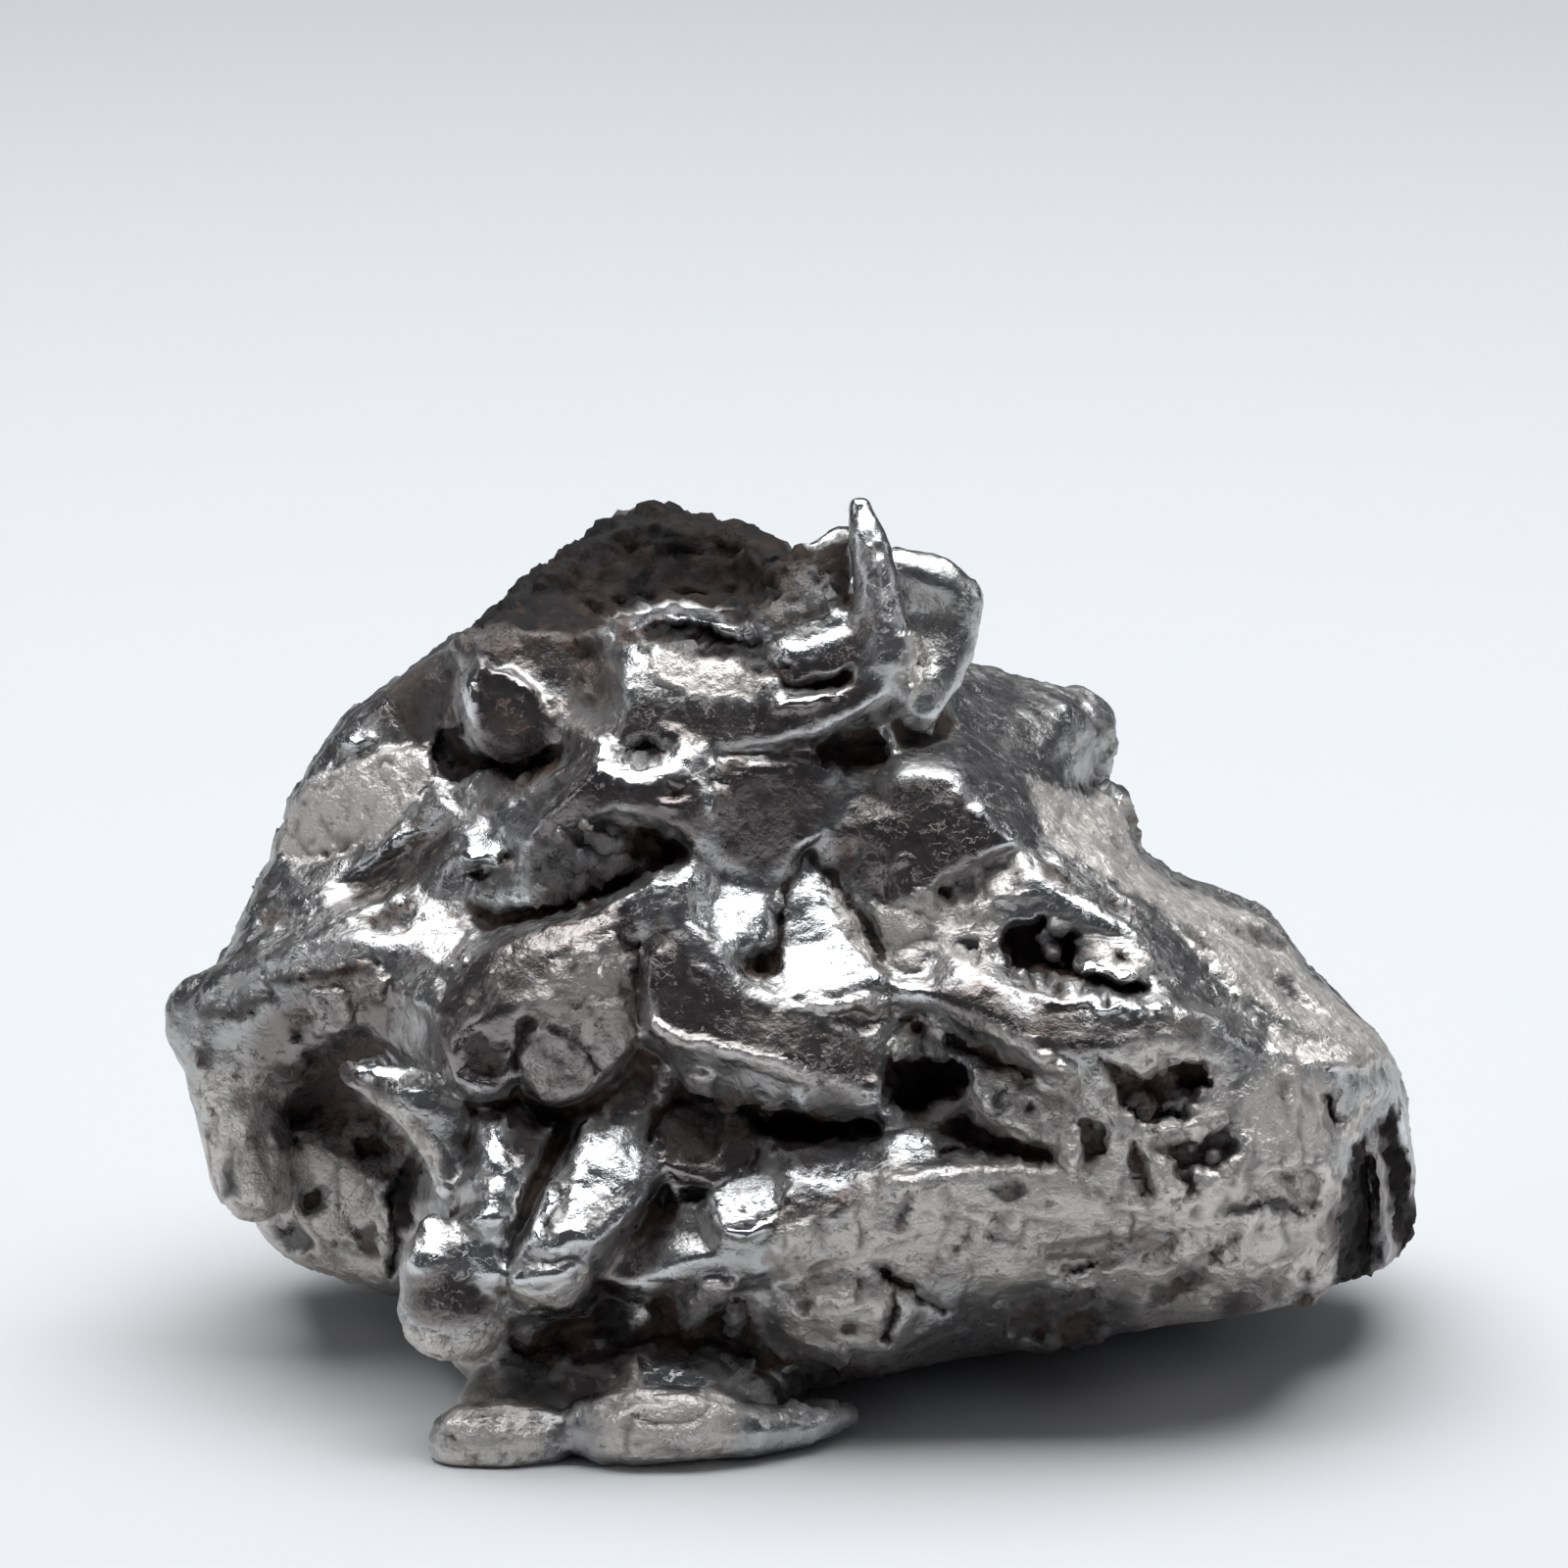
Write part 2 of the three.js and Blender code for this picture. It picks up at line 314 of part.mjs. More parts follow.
// Balls swept along a line and joined to the stone: [across, up, toward, radius]
const raised = {
  spike: {
    line: [
      [2.0, 12.0, -2.4, 0.32], [2.15, 11.2, -2.0, 0.42], [2.25, 10.2, -1.7, 0.5],
      [2.4, 9.2, -1.5, 0.6], [2.6, 8.2, -1.4, 0.7],
    ],
    blend: 0.4,
  },
  blade: { line: [[1.5, 11.2, -3.0, 0.35], [1.2, 10.4, -3.0, 0.6], [0.6, 9.8, -3.0, 0.6]], blend: 0.5 },
  bladeEdge: {
    line: [
      [-0.2, 10.3, -2.8, 0.22], [0.5, 10.5, -2.9, 0.4], [1.2, 11.0, -2.9, 0.35],
    ],
    blend: 0.3,
  },
  lobe: {
    line: [
      [2.9, 10.3, -3.9, 0.7], [3.8, 10.0, -4.1, 0.8], [4.4, 9.6, -4.2, 0.7], [4.3, 8.7, -4.2, 0.65],
      [4.0, 7.8, -3.9, 0.6], [3.4, 6.9, -3.3, 0.6],
    ],
    blend: 0.5,
  },
  lobeCore: { line: [[3.2, 9.4, -5.0, 1.2], [3.3, 8.0, -4.6, 1.1]], blend: 0.5 },
  rearKnob: { line: [[6.6, 6.3, -12.6, 1.15], [7.4, 6.2, -12.6, 1.05]], blend: 0.3 },
  rearKnobNeck: { line: [[5.4, 6.2, -12.0, 1.2], [6.6, 4.6, -12.6, 1.4]], blend: 0.6 },
  leftLedge: {
    line: [
      [-14.9, -0.6, -7.6, 0.65], [-13.6, -0.2, -6.0, 0.7], [-12.0, 0.2, -5.1, 0.7],
      [-10.6, 0.3, -4.3, 0.7],
    ],
    blend: 0.5,
  },
  horn: {
    line: [
      [-11.25, -2.3, -1.7, 0.22], [-10.6, -2.6, -1.5, 0.42], [-9.6, -3.1, -1.5, 0.75],
      [-8.7, -3.6, -2.1, 1.0],
    ],
    blend: 0.4,
  },
  legLeft: {
    line: [
      [-7.5, -3.6, -1.3, 0.7], [-7.7, -4.6, -1.2, 0.85], [-7.6, -5.5, -1.3, 0.8],
      [-8.0, -6.4, -1.0, 0.7],
    ],
    blend: 0.35,
  },
  legLeftFoot: { line: [[-7.2, -5.2, -1.4, 0.6], [-7.4, -6.2, -1.2, 0.6]], blend: 0.3 },
  knob: { line: [[-8.5, -7.4, -0.7, 1.3], [-8.4, -8.3, -0.7, 1.45]], blend: 0.35 },
  legRight: {
    line: [
      [-4.4, -3.9, -1.6, 0.9], [-4.4, -5.0, -1.0, 1.05], [-4.7, -6.0, -0.8, 0.95],
      [-5.3, -7.0, -0.8, 0.9], [-6.0, -7.7, -0.9, 0.7],
    ],
    blend: 0.35,
  },
  legRightHeel: { line: [[-4.6, -8.1, -1.9, 0.8], [-5.6, -8.6, -2.0, 0.7]], blend: 0.3 },
  fold: { line: [[-5.9, -5.2, -2.0, 0.4], [-6.1, -6.3, -1.6, 0.42]], blend: 0.25 },
  domeUpper: { line: [[-3.9, -2.9, -2.4, 1.2]], blend: 0.25 },
  domeLower: { line: [[-2.1, -4.1, -2.4, 1.35]], blend: 0.25 },
  kneeSliver: { line: [[-2.4, -8.9, -0.9, 0.25], [-1.7, -7.9, -0.5, 0.35]], blend: 0.2 },
  toeLeft: {
    line: [
      [-8.45, -11.85, -0.6, 0.75], [-7.4, -11.75, -0.4, 0.8], [-6.2, -11.6, -0.5, 0.75],
    ],
    blend: 0.4,
  },
  toeLeftNeck: { line: [[-7.6, -11.0, -1.8, 0.8], [-6.8, -10.2, -2.6, 1.0]], blend: 0.4 },
  toeRight: {
    line: [
      [-5.2, -11.1, -0.3, 0.55], [-4.4, -11.5, 0.0, 0.65], [-3.0, -11.3, 0.2, 0.8],
      [-1.6, -11.4, 0.1, 0.72], [-0.3, -11.6, -0.3, 0.55], [0.9, -11.5, -1.0, 0.4],
    ],
    blend: 0.35,
  },
  padLeft: { line: [[-6.8, -7.3, -15.2, 1.9]], blend: 0.9 },
  padRight: { line: [[7.2, -7.3, -15.2, 1.9]], blend: 0.9 },
  footRoot: {
    line: [
      [-6.8, -9.2, -4.0, 1.7], [-4.0, -9.5, -3.8, 1.8], [-1.0, -9.9, -3.6, 1.4],
    ],
    blend: 0.8,
  },
  footCore: {
    line: [
      [-6.6, -10.6, -2.4, 1.0], [-3.6, -10.6, -2.0, 1.1], [-1.0, -10.9, -2.0, 0.9],
    ],
    blend: 0.5,
  },
  toePad: { line: [[-4.6, -12.0, 0.0, 0.4]], blend: 0.3 },
  toeBlock: { line: [[-5.0, -10.1, -1.2, 0.85], [-4.6, -10.4, -0.8, 0.6]], blend: 0.3 },
  toeShelf: {
    line: [
      [-3.4, -10.3, -0.8, 0.6], [-2.2, -10.5, -0.7, 0.6], [-1.0, -11.0, -0.9, 0.5],
    ],
    blend: 0.35,
  },
  finInner: {
    line: [
      [15.0, -4.2, -7.2, 0.3], [15.2, -6.0, -7.6, 0.35], [15.3, -7.5, -8.0, 0.4],
    ],
    blend: 0.3,
  },
  eyeBump: { line: [[8.4, 0.65, -1.5, 0.55], [9.0, 0.5, -1.5, 0.5]], blend: 0.3 },
  plateNub: { line: [[-2.2, -2.5, -0.1, 0.35]], blend: 0.25 },
}

// Balls swept along a line and taken out of the stone
const sunk = {
  cavern: {
    line: [
      [-3.8, 10.2, -7.2, 1.3], [-2.4, 10.4, -7.6, 1.4], [-1.2, 10.4, -6.8, 1.2],
    ],
    blend: 0.6,
  },
  rimGroove: {
    line: [
      [-3.6, 8.72, -2.7, 0.22], [-2.5, 8.75, -2.5, 0.25], [-1.3, 8.75, -2.2, 0.25],
    ],
    blend: 0.2,
  },
  underSlot: {
    line: [
      [0.0, 7.75, -1.0, 0.3], [0.8, 7.55, -1.0, 0.36], [1.7, 7.9, -1.0, 0.25],
    ],
    blend: 0.2,
  },
  underBandHollow: { line: [[1.2, 5.6, -1.5, 0.5], [2.0, 5.7, -1.7, 0.6]], blend: 0.3 },
  lobeCup: { line: [[3.7, 9.2, -3.0, 0.65], [3.6, 8.3, -2.9, 0.45]], blend: 0.3 },
  gap: { line: [[3.2, -2.6, -0.9, 0.8], [4.0, -2.6, -0.9, 0.75]], blend: 0.25 },
  gapArch: { line: [[1.7, -1.6, 0.9, 0.6], [2.4, -1.9, 0.6, 0.6]], blend: 0.3 },
  eyeHollow: {
    line: [
      [6.4, 0.8, -1.3, 0.85], [7.1, 0.4, -1.2, 0.7], [8.0, 0.0, -0.9, 0.45], [9.2, -0.15, -0.8, 0.35],
    ],
    blend: 0.3,
  },
  eyeDimple: { line: [[4.7, 0.85, -0.2, 0.28]], blend: 0.2 },
  hatchUpper: { line: [[8.5, -2.5, 0.9, 0.4], [9.2, -3.3, 0.7, 0.5]], blend: 0.2 },
  hatchMiddle: { line: [[9.9, -2.5, 0.5, 0.35], [10.6, -2.7, 0.3, 0.4]], blend: 0.2 },
  hatchLower: { line: [[9.9, -4.2, 0.5, 0.3], [10.9, -4.2, 0.1, 0.4]], blend: 0.2 },
  hatchFoot: { line: [[9.4, -5.2, 0.7, 0.3], [10.4, -5.0, 0.4, 0.3]], blend: 0.2 },
  hatchLeft: { line: [[7.8, -3.9, 0.8, 0.25], [7.9, -4.5, 0.8, 0.28]], blend: 0.2 },
  cupLeft: { line: [[-1.0, -5.5, -0.3, 0.5]], blend: 0.25 },
  cupMiddle: { line: [[0.2, -4.9, -0.2, 0.5], [0.9, -4.7, -0.2, 0.5]], blend: 0.25 },
  cupRight: { line: [[3.1, -4.2, -0.4, 0.4]], blend: 0.25 },
  finSlotInner: {
    line: [
      [14.55, -4.6, -6.0, 0.36], [14.5, -6.2, -6.2, 0.42], [14.5, -7.8, -6.6, 0.45],
    ],
    blend: 0.25,
  },
  finSlotOuter: {
    line: [
      [15.3, -3.6, -6.6, 0.3], [15.7, -5.4, -7.6, 0.34], [15.9, -7.0, -8.2, 0.34],
    ],
    blend: 0.25,
  },
  kneeHollow: {
    line: [
      [-3.2, -8.0, -1.1, 0.8], [-2.0, -9.0, -1.0, 0.8], [-0.6, -9.6, -1.6, 0.7],
    ],
    blend: 0.4,
  },
  hornCup: { line: [[-9.5, -2.45, -0.9, 0.35]], blend: 0.2 },
  heelHollow: { line: [[-6.4, -9.4, -1.4, 0.7], [-5.6, -8.9, -1.3, 0.5]], blend: 0.3 },
  seamPit: { line: [[-3.8, 0.9, 0.2, 0.3]], blend: 0.2 },
  slopePits: { line: [[11.6, 1.2, -6.6, 0.5], [12.6, 1.1, -8.4, 0.6]], blend: 0.3 },
  slopeCup: { line: [[12.7, -0.1, -5.2, 0.6], [13.4, -0.6, -5.4, 0.5]], blend: 0.3 },
  leftDent: { line: [[-14.7, -1.9, -6.6, 0.5]], blend: 0.3 },
  leftNiche: { line: [[-12.4, -1.4, -4.6, 0.5], [-12.2, -1.6, -4.6, 0.4]], blend: 0.3 },
  wallScoop: { line: [[12.8, -5.7, -0.3, 0.5], [13.3, -5.6, -0.7, 0.45]], blend: 0.3 },
  wallFoldUpper: {
    line: [
      [7.2, -6.7, 0.8, 0.35], [9.0, -6.5, 0.6, 0.3], [10.0, -6.9, 0.2, 0.3],
    ],
    blend: 0.3,
  },
  thumbprintBack: { line: [[-4.0, 0.8, -23.4, 3.4], [-2.4, 0.0, -23.6, 3.0]], blend: 1 },
  thumbprintSide: { line: [[3.6, -2.2, -23.3, 2.9]], blend: 1 },
  thumbprintShoulder: { line: [[6.2, 3.2, -21.2, 2.7], [7.2, 2.4, -21.2, 2.4]], blend: 1 },
  thumbprintLeft: { line: [[-8.0, -1.6, -21.8, 2.8]], blend: 1 },
  thumbprintCrown: { line: [[-1.0, 7.4, -20.8, 2.6], [1.0, 7.2, -20.6, 2.2]], blend: 0.8 },
  thumbprintHip: { line: [[9.8, -4.4, -20.0, 2.5]], blend: 1 },
  thumbprintEdge: { line: [[-11.0, 2.8, -18.6, 2.4]], blend: 0.8 },
  thumbprintHeel: { line: [[0.2, -6.0, -21.2, 2.5]], blend: 0.8 },
  backGroove: {
    line: [
      [-9.0, 5.4, -18.6, 0.8], [-6.4, 4.0, -21.0, 0.8], [-4.8, 3.6, -21.6, 0.6],
    ],
    blend: 0.5,
  },
  backCleft: {
    line: [
      [1.4, 1.0, -22.2, 0.7], [3.2, 3.0, -21.4, 0.8], [3.6, 5.0, -19.8, 0.8],
    ],
    blend: 0.5,
  },
  wallHollow: { line: [[6.4, -8.8, -2.2, 0.8], [8.0, -8.9, -2.6, 0.8]], blend: 0.5 },
}

const noise = new ImprovedNoise()

function worldPoint([across, up, toward]) {
  const spread = 1 - toward / eyeDistance
  const rise = up * spread
  const depth = rise * sinTilt - toward * cosTilt
  const height = rise * cosTilt + toward * sinTilt + floorDrop
  return new THREE.Vector3(across * spread, depth, height)
}

function picturePlace(x, y, z) {
  const height = z - floorDrop
  const toward = height * sinTilt - y * cosTilt
  const spread = 1 - toward / eyeDistance
  return [x / spread, (y * sinTilt + height * cosTilt) / spread, toward]
}

function softMin(a, b, blend) {
  const overlap = Math.max(blend - Math.abs(a - b), 0) / blend
  return Math.min(a, b) - overlap * overlap * blend / 4
}

const softMax = (a, b, blend) => -softMin(-a, -b, blend)

function alongCrease(crease) {
  const places = []
  for (let i = 0; i + 1 < crease.length; i++) {
    const [from, to] = [crease[i], crease[i + 1]]
    const parts = Math.max(1, Math.ceil(Math.hypot(to[0] - from[0], to[1] - from[1]) / creaseSpacing))
    for (let k = 0; k < parts; k++) {
      places.push(from.map((value, axis) => value + (to[axis] - value) * k / parts))
    }
  }
  places.push(crease.at(-1))
  return places
}

// Delaunay triangles over places in the picture plane, one place at a time
function triangulate(places) {
  const far = 1000
  const all = [...places, [-far, -far, 0], [far, -far, 0], [0, far, 0]]
  const count = places.length
  const circled = (i, j, k) => {
    const [ax, ay] = all[i]
    const [bx, by] = [all[j][0] - ax, all[j][1] - ay]
    const [cx, cy] = [all[k][0] - ax, all[k][1] - ay]
    const twice = 2 * (bx * cy - by * cx)
    const x = (cy * (bx * bx + by * by) - by * (cx * cx + cy * cy)) / twice
    const y = (bx * (cx * cx + cy * cy) - cx * (bx * bx + by * by)) / twice
    return { corners: [i, j, k], x: ax + x, y: ay + y, reach: x * x + y * y }
  }
  let triangles = [circled(count, count + 1, count + 2)]
  for (let n = 0; n < count; n++) {
    const [x, y] = all[n]
    const edges = new Map()
    triangles = triangles.filter((t) => {
      if ((t.x - x) ** 2 + (t.y - y) ** 2 >= t.reach) return true
      t.corners.forEach((from, c) => {
        const to = t.corners[(c + 1) % 3]
        const key = Math.min(from, to) * 100000 + Math.max(from, to)
        edges.set(key, edges.has(key) ? null : [from, to])
      })
      return false
    })
    for (const edge of edges.values()) {
      if (edge) triangles.push(circled(edge[0], edge[1], n))
    }
  }
  return triangles.map((t) => t.corners).filter((corners) => corners.every((c) => c < count))
}

const sheetLow = [-19, -15]
const sheetSize = [Math.round(38 / reliefStep) + 1, Math.round(30 / reliefStep) + 1]

function readSheet(sheet, across, up) {
  const u = THREE.MathUtils.clamp((across - sheetLow[0]) / reliefStep, 0, sheetSize[0] - 1.001)
  const v = THREE.MathUtils.clamp((up - sheetLow[1]) / reliefStep, 0, sheetSize[1] - 1.001)
  const [i, j] = [Math.floor(u), Math.floor(v)]
  const at = i + j * sheetSize[0]
  const low = THREE.MathUtils.lerp(sheet[at], sheet[at + 1], u - i)
  const high = THREE.MathUtils.lerp(sheet[at + sheetSize[0]], sheet[at + sheetSize[0] + 1], u - i)
  return THREE.MathUtils.lerp(low, high, v - j)
}

// The height toward the eye of a set of creases, on a sheet of samples
function reliefSheet(creases, unset) {
  const places = []
  for (const place of creases.flatMap(alongCrease)) {
    if (!places.some(([x, y]) => Math.hypot(x - place[0], y - place[1]) < 0.12)) places.push(place)
  }
  const nudge = 1e-4
  const jittered = places.map(([x, y, w], n) => [
    x + nudge * Math.sin(n * 12.9), y + nudge * Math.cos(n * 7.3), w,
  ])
  const sheet = new Float32Array(sheetSize[0] * sheetSize[1]).fill(unset)
  for (const corners of triangulate(jittered)) {
    const [[ax, ay, aw], [bx, by, bw], [cx, cy, cw]] = corners.map((c) => jittered[c])
    const area = (bx - ax) * (cy - ay) - (by - ay) * (cx - ax)
    const stepsAt = (values, axis) => [Math.min(...values), Math.max(...values)].map(
      (value) => (value - sheetLow[axis]) / reliefStep)
    const [i0, i1] = stepsAt([ax, bx, cx], 0)
    const [j0, j1] = stepsAt([ay, by, cy], 1)
    for (let j = Math.ceil(j0); j <= j1; j++) {
      for (let i = Math.ceil(i0); i <= i1; i++) {
        const [x, y] = [sheetLow[0] + i * reliefStep, sheetLow[1] + j * reliefStep]
        const towardB = ((x - ax) * (cy - ay) - (y - ay) * (cx - ax)) / area
        const towardC = ((bx - ax) * (y - ay) - (by - ay) * (x - ax)) / area
        if (towardB < 0 || towardC < 0 || towardB + towardC > 1) continue
        sheet[i + j * sheetSize[0]] = aw + (bw - aw) * towardB + (cw - aw) * towardC
      }
    }
  }
  return blurred(sheet, reliefSoftness)
}

function blurred(sheet, radius) {
  const reach = Math.ceil(2 * radius / reliefStep)
  const bell = (steps) => Math.exp(-0.5 * (steps * reliefStep / radius) ** 2)
  const weights = Array.from({ length: 2 * reach + 1 }, (_, n) => bell(n - reach))
  const total = weights.reduce((sum, w) => sum + w)
  const pass = (from, stride, count, index) => from.map((_, at) => {
    const place = index(at)
    return weights.reduce((sum, w, n) => {
      const step = THREE.MathUtils.clamp(place + n - reach, 0, count - 1) - place
      return sum + w * from[at + step * stride]
    }, 0) / total
  })
  const acrossDone = pass(sheet, 1, sheetSize[0], (at) => at % sheetSize[0])
  return pass(acrossDone, sheetSize[0], sheetSize[1], (at) => Math.floor(at / sheetSize[0]))
}

// How much a relief's slope shortens the distance to it
function slopeSheet(sheet) {
  return sheet.map((height, at) => {
    const right = sheet[at + 1] ?? height
    const above = sheet[at + sheetSize[0]] ?? height
    return Math.max(0.3, 1 / Math.hypot(1, (right - height) / reliefStep, (above - height) / reliefStep))
  })
}

// Signed distance to the outline in the picture plane, below zero inside
function outlineSheet() {
  const sheet = new Float32Array(sheetSize[0] * sheetSize[1])
  for (let j = 0; j < sheetSize[1]; j++) {
    for (let i = 0; i < sheetSize[0]; i++) {
      const [x, y] = [sheetLow[0] + i * reliefStep, sheetLow[1] + j * reliefStep]
      let nearest = Infinity
      let inside = false
      outline.forEach(([ax, ay], n) => {
        const [bx, by] = outline[(n + 1) % outline.length]
        const [edgeX, edgeY] = [bx - ax, by - ay]
        const share = ((x - ax) * edgeX + (y - ay) * edgeY) / (edgeX ** 2 + edgeY ** 2)
        const along = THREE.MathUtils.clamp(share, 0, 1)
        nearest = Math.min(nearest, Math.hypot(x - ax - along * edgeX, y - ay - along * edgeY))
        if (ay > y !== by > y && x < edgeX * (y - ay) / edgeY + ax) inside = !inside
      })
      sheet[i + j * sheetSize[0]] = inside ? -nearest : nearest
    }
  }
  return sheet
}

function makeLattice() {
  const low = new THREE.Vector3(-18, -5, -1.5)
  const high = new THREE.Vector3(18.5, 27, 26.5)
  const size = high.clone().sub(low).divideScalar(latticeStep).ceil()
  const [nx, ny, nz] = size.toArray()
  return { low, nx, ny, nz, values: new Float32Array(nx * ny * nz).fill(farAway) }
}

const latticeAt = (lattice, i, j, k) => i + lattice.nx * (j + lattice.ny * k)

const cubeCorners = Array.from({ length: 8 }, (_, c) => [c & 1, c >> 1 & 1, c >> 2])

const stepsTo = (corner, strides) => corner.reduce((sum, on, axis) => sum + on * strides[axis], 0)

function eachPlace(lattice, low, high, visit) {
  const clampTo = (value, count) => THREE.MathUtils.clamp(value, 0, count - 1)
  const span = (axis, count) => [
    clampTo(Math.floor((low[axis] - lattice.low[axis]) / latticeStep), count),
    clampTo(Math.ceil((high[axis] - lattice.low[axis]) / latticeStep), count),
  ]
  const [i0, i1] = span('x', lattice.nx)
  const [j0, j1] = span('y', lattice.ny)
  const [k0, k1] = span('z', lattice.nz)
  for (let k = k0; k <= k1; k++) {
    for (let j = j0; j <= j1; j++) {
      for (let i = i0; i <= i1; i++) {
        const place = [i, j, k].map((steps, axis) => lattice.low.getComponent(axis) + steps * latticeStep)
        visit(latticeAt(lattice, i, j, k), ...place)
      }
    }
  }
}

function stampReliefs(lattice) {
  const rim = (side) => outline.map((place) => [place[0], place[1], place[side]])
  const closed = (line) => [...line, line[0]]
  const front = reliefSheet([closed(rim(2)), ...Object.values(frontCreases)], -farAway)
  const back = reliefSheet([closed(rim(3)), ...Object.values(backCreases)], farAway)
  const [frontSlope, backSlope, border] = [slopeSheet(front), slopeSheet(back), outlineSheet()]
  const high = new THREE.Vector3(farAway, farAway, farAway)
  eachPlace(lattice, high.clone().negate(), high, (at, x, y, z) => {
    const [across, up, toward] = picturePlace(x, y, z)
    const read = (sheet) => readSheet(sheet, across, up)
    const before = (toward - read(front)) * read(frontSlope)
    const behind = (read(back) - toward) * read(backSlope)
    lattice.values[at] = softMax(softMax(before, behind, edgeRounding), read(border), edgeRounding)
  })
}

function stampSweeps(lattice, sweeps, combine) {
  for (const { line, blend } of Object.values(sweeps)) {
    const balls = line.map((place) => ({ centre: worldPoint(place), radius: place[3] }))
    const reach = Math.max(...balls.map((ball) => ball.radius)) + blend + 2 * latticeStep
    const bounds = new THREE.Box3().setFromPoints(balls.map((ball) => ball.centre)).expandByScalar(reach)
    const spans = balls.length > 1
      ? balls.slice(1).map((ball, n) => [balls[n], ball])
      : [[balls[0], balls[0]]]
    eachPlace(lattice, bounds.min, bounds.max, (at, x, y, z) => {
      let nearest = Infinity
      for (const [from, to] of spans) {
        const [ex, ey, ez] = to.centre.clone().sub(from.centre).toArray()
        const [px, py, pz] = [x - from.centre.x, y - from.centre.y, z - from.centre.z]
        const length = ex * ex + ey * ey + ez * ez
        const along = length ? THREE.MathUtils.clamp((px * ex + py * ey + pz * ez) / length, 0, 1) : 0
        const distance = Math.hypot(px - along * ex, py - along * ey, pz - along * ez)
        nearest = Math.min(nearest, distance - from.radius - along * (to.radius - from.radius))
      }
      lattice.values[at] = combine(lattice.values[at], nearest, blend)
    })
  }
}

function roughen(lattice) {
  const high = new THREE.Vector3(farAway, farAway, farAway)
  eachPlace(lattice, high.clone().negate(), high, (at, x, y, z) => {
    if (Math.abs(lattice.values[at]) > 2) return
    const [u, v, w] = [x / grainLength, y / grainLength, z / grainLength]
    const coarse = noise.noise(u, v, w)
    const fine = noise.noise(2 * u + 7, 2 * v, 2 * w)
    lattice.values[at] += grainHeight * (coarse + 0.5 * fine)
  })
}

function cutFloor(lattice) {
  const high = new THREE.Vector3(farAway, farAway, farAway)
  eachPlace(lattice, high.clone().negate(), high, (at, x, y, z) => {
    lattice.values[at] = Math.max(lattice.values[at], -z)
  })
}

// Only what hangs together with the heart of the stone stays, and sealed bubbles are filled
function keepOneBody(lattice) {
  const { nx, ny, nz, values } = lattice
  const flood = (start, belongs) => {
    const seen = new Uint8Array(values.length)
    const waiting = [start]
    seen[start] = 1
    while (waiting.length) {
      const at = waiting.pop()
      const [i, j, k] = [at % nx, Math.floor(at / nx) % ny, Math.floor(at / (nx * ny))]
      const next = [
        [i > 0, at - 1], [i < nx - 1, at + 1],
        [j > 0, at - nx], [j < ny - 1, at + nx],
        [k > 0, at - nx * ny], [k < nz - 1, at + nx * ny],
      ]
      for (const [allowed, beside] of next) {
        if (!allowed || seen[beside] || !belongs(values[beside])) continue
        seen[beside] = 1
        waiting.push(beside)
      }
    }
    return seen
  }
  let heart = 0
  values.forEach((value, at) => {
    if (value < values[heart]) heart = at
  })
  const body = flood(heart, (value) => value < 0)
  values.forEach((value, at) => {
    if (value < 0 && !body[at]) values[at] = 0.2 * latticeStep
  })
  const air = flood(0, (value) => value >= 0)
  values.forEach((value, at) => {
    if (value >= 0 && !air[at]) values[at] = -0.2 * latticeStep
  })
}

// Visits every lattice cube whose steps along each axis are `first` or more
function eachCube(lattice, first, visit) {
  for (let k = first; k < lattice.nz - 1; k++) {
    for (let j = first; j < lattice.ny - 1; j++) {
      for (let i = first; i < lattice.nx - 1; i++) visit(latticeAt(lattice, i, j, k), [i, j, k])
    }
  }
}

// Lattice squares whose corners are in and out by turns would pinch the skin, so the least outer
// corner is filled
function fillPinches(lattice) {
  const { nx, ny, values } = lattice
  const strides = [1, nx, nx * ny]
  let changed = true
  const fill = (corners) => {
    const outer = corners.filter((at) => values[at] >= 0).sort((a, b) => values[a] - values[b])
    values[outer[0]] = -0.05 * latticeStep
    changed = true
  }
  const isOuter = (at) => values[at] >= 0
  const isInner = (at) => values[at] < 0
  for (let round = 0; changed && round < 12; round++) {
    changed = false
    eachCube(lattice, 0, (at) => {
      for (const [a, b] of [[0, 1], [1, 2], [0, 2]]) {
        const corners = [at, at + strides[a], at + strides[a] + strides[b], at + strides[b]]
        const inside = corners.map(isInner)
        const crossed = inside[0] === inside[2] && inside[1] === inside[3] && inside[0] !== inside[1]
        if (crossed) fill(corners)
      }
      const cube = cubeCorners.map((corner) => at + stepsTo(corner, strides))
      for (let c = 0; c < 4; c++) {
        const pair = [cube[c], cube[7 - c]]
        const others = cube.filter((corner) => !pair.includes(corner))
        if (pair.every(isOuter) && others.every(isInner)) fill(pair)
        if (pair.every(isInner) && others.every(isOuter)) fill(others)
      }
    })
  }
}

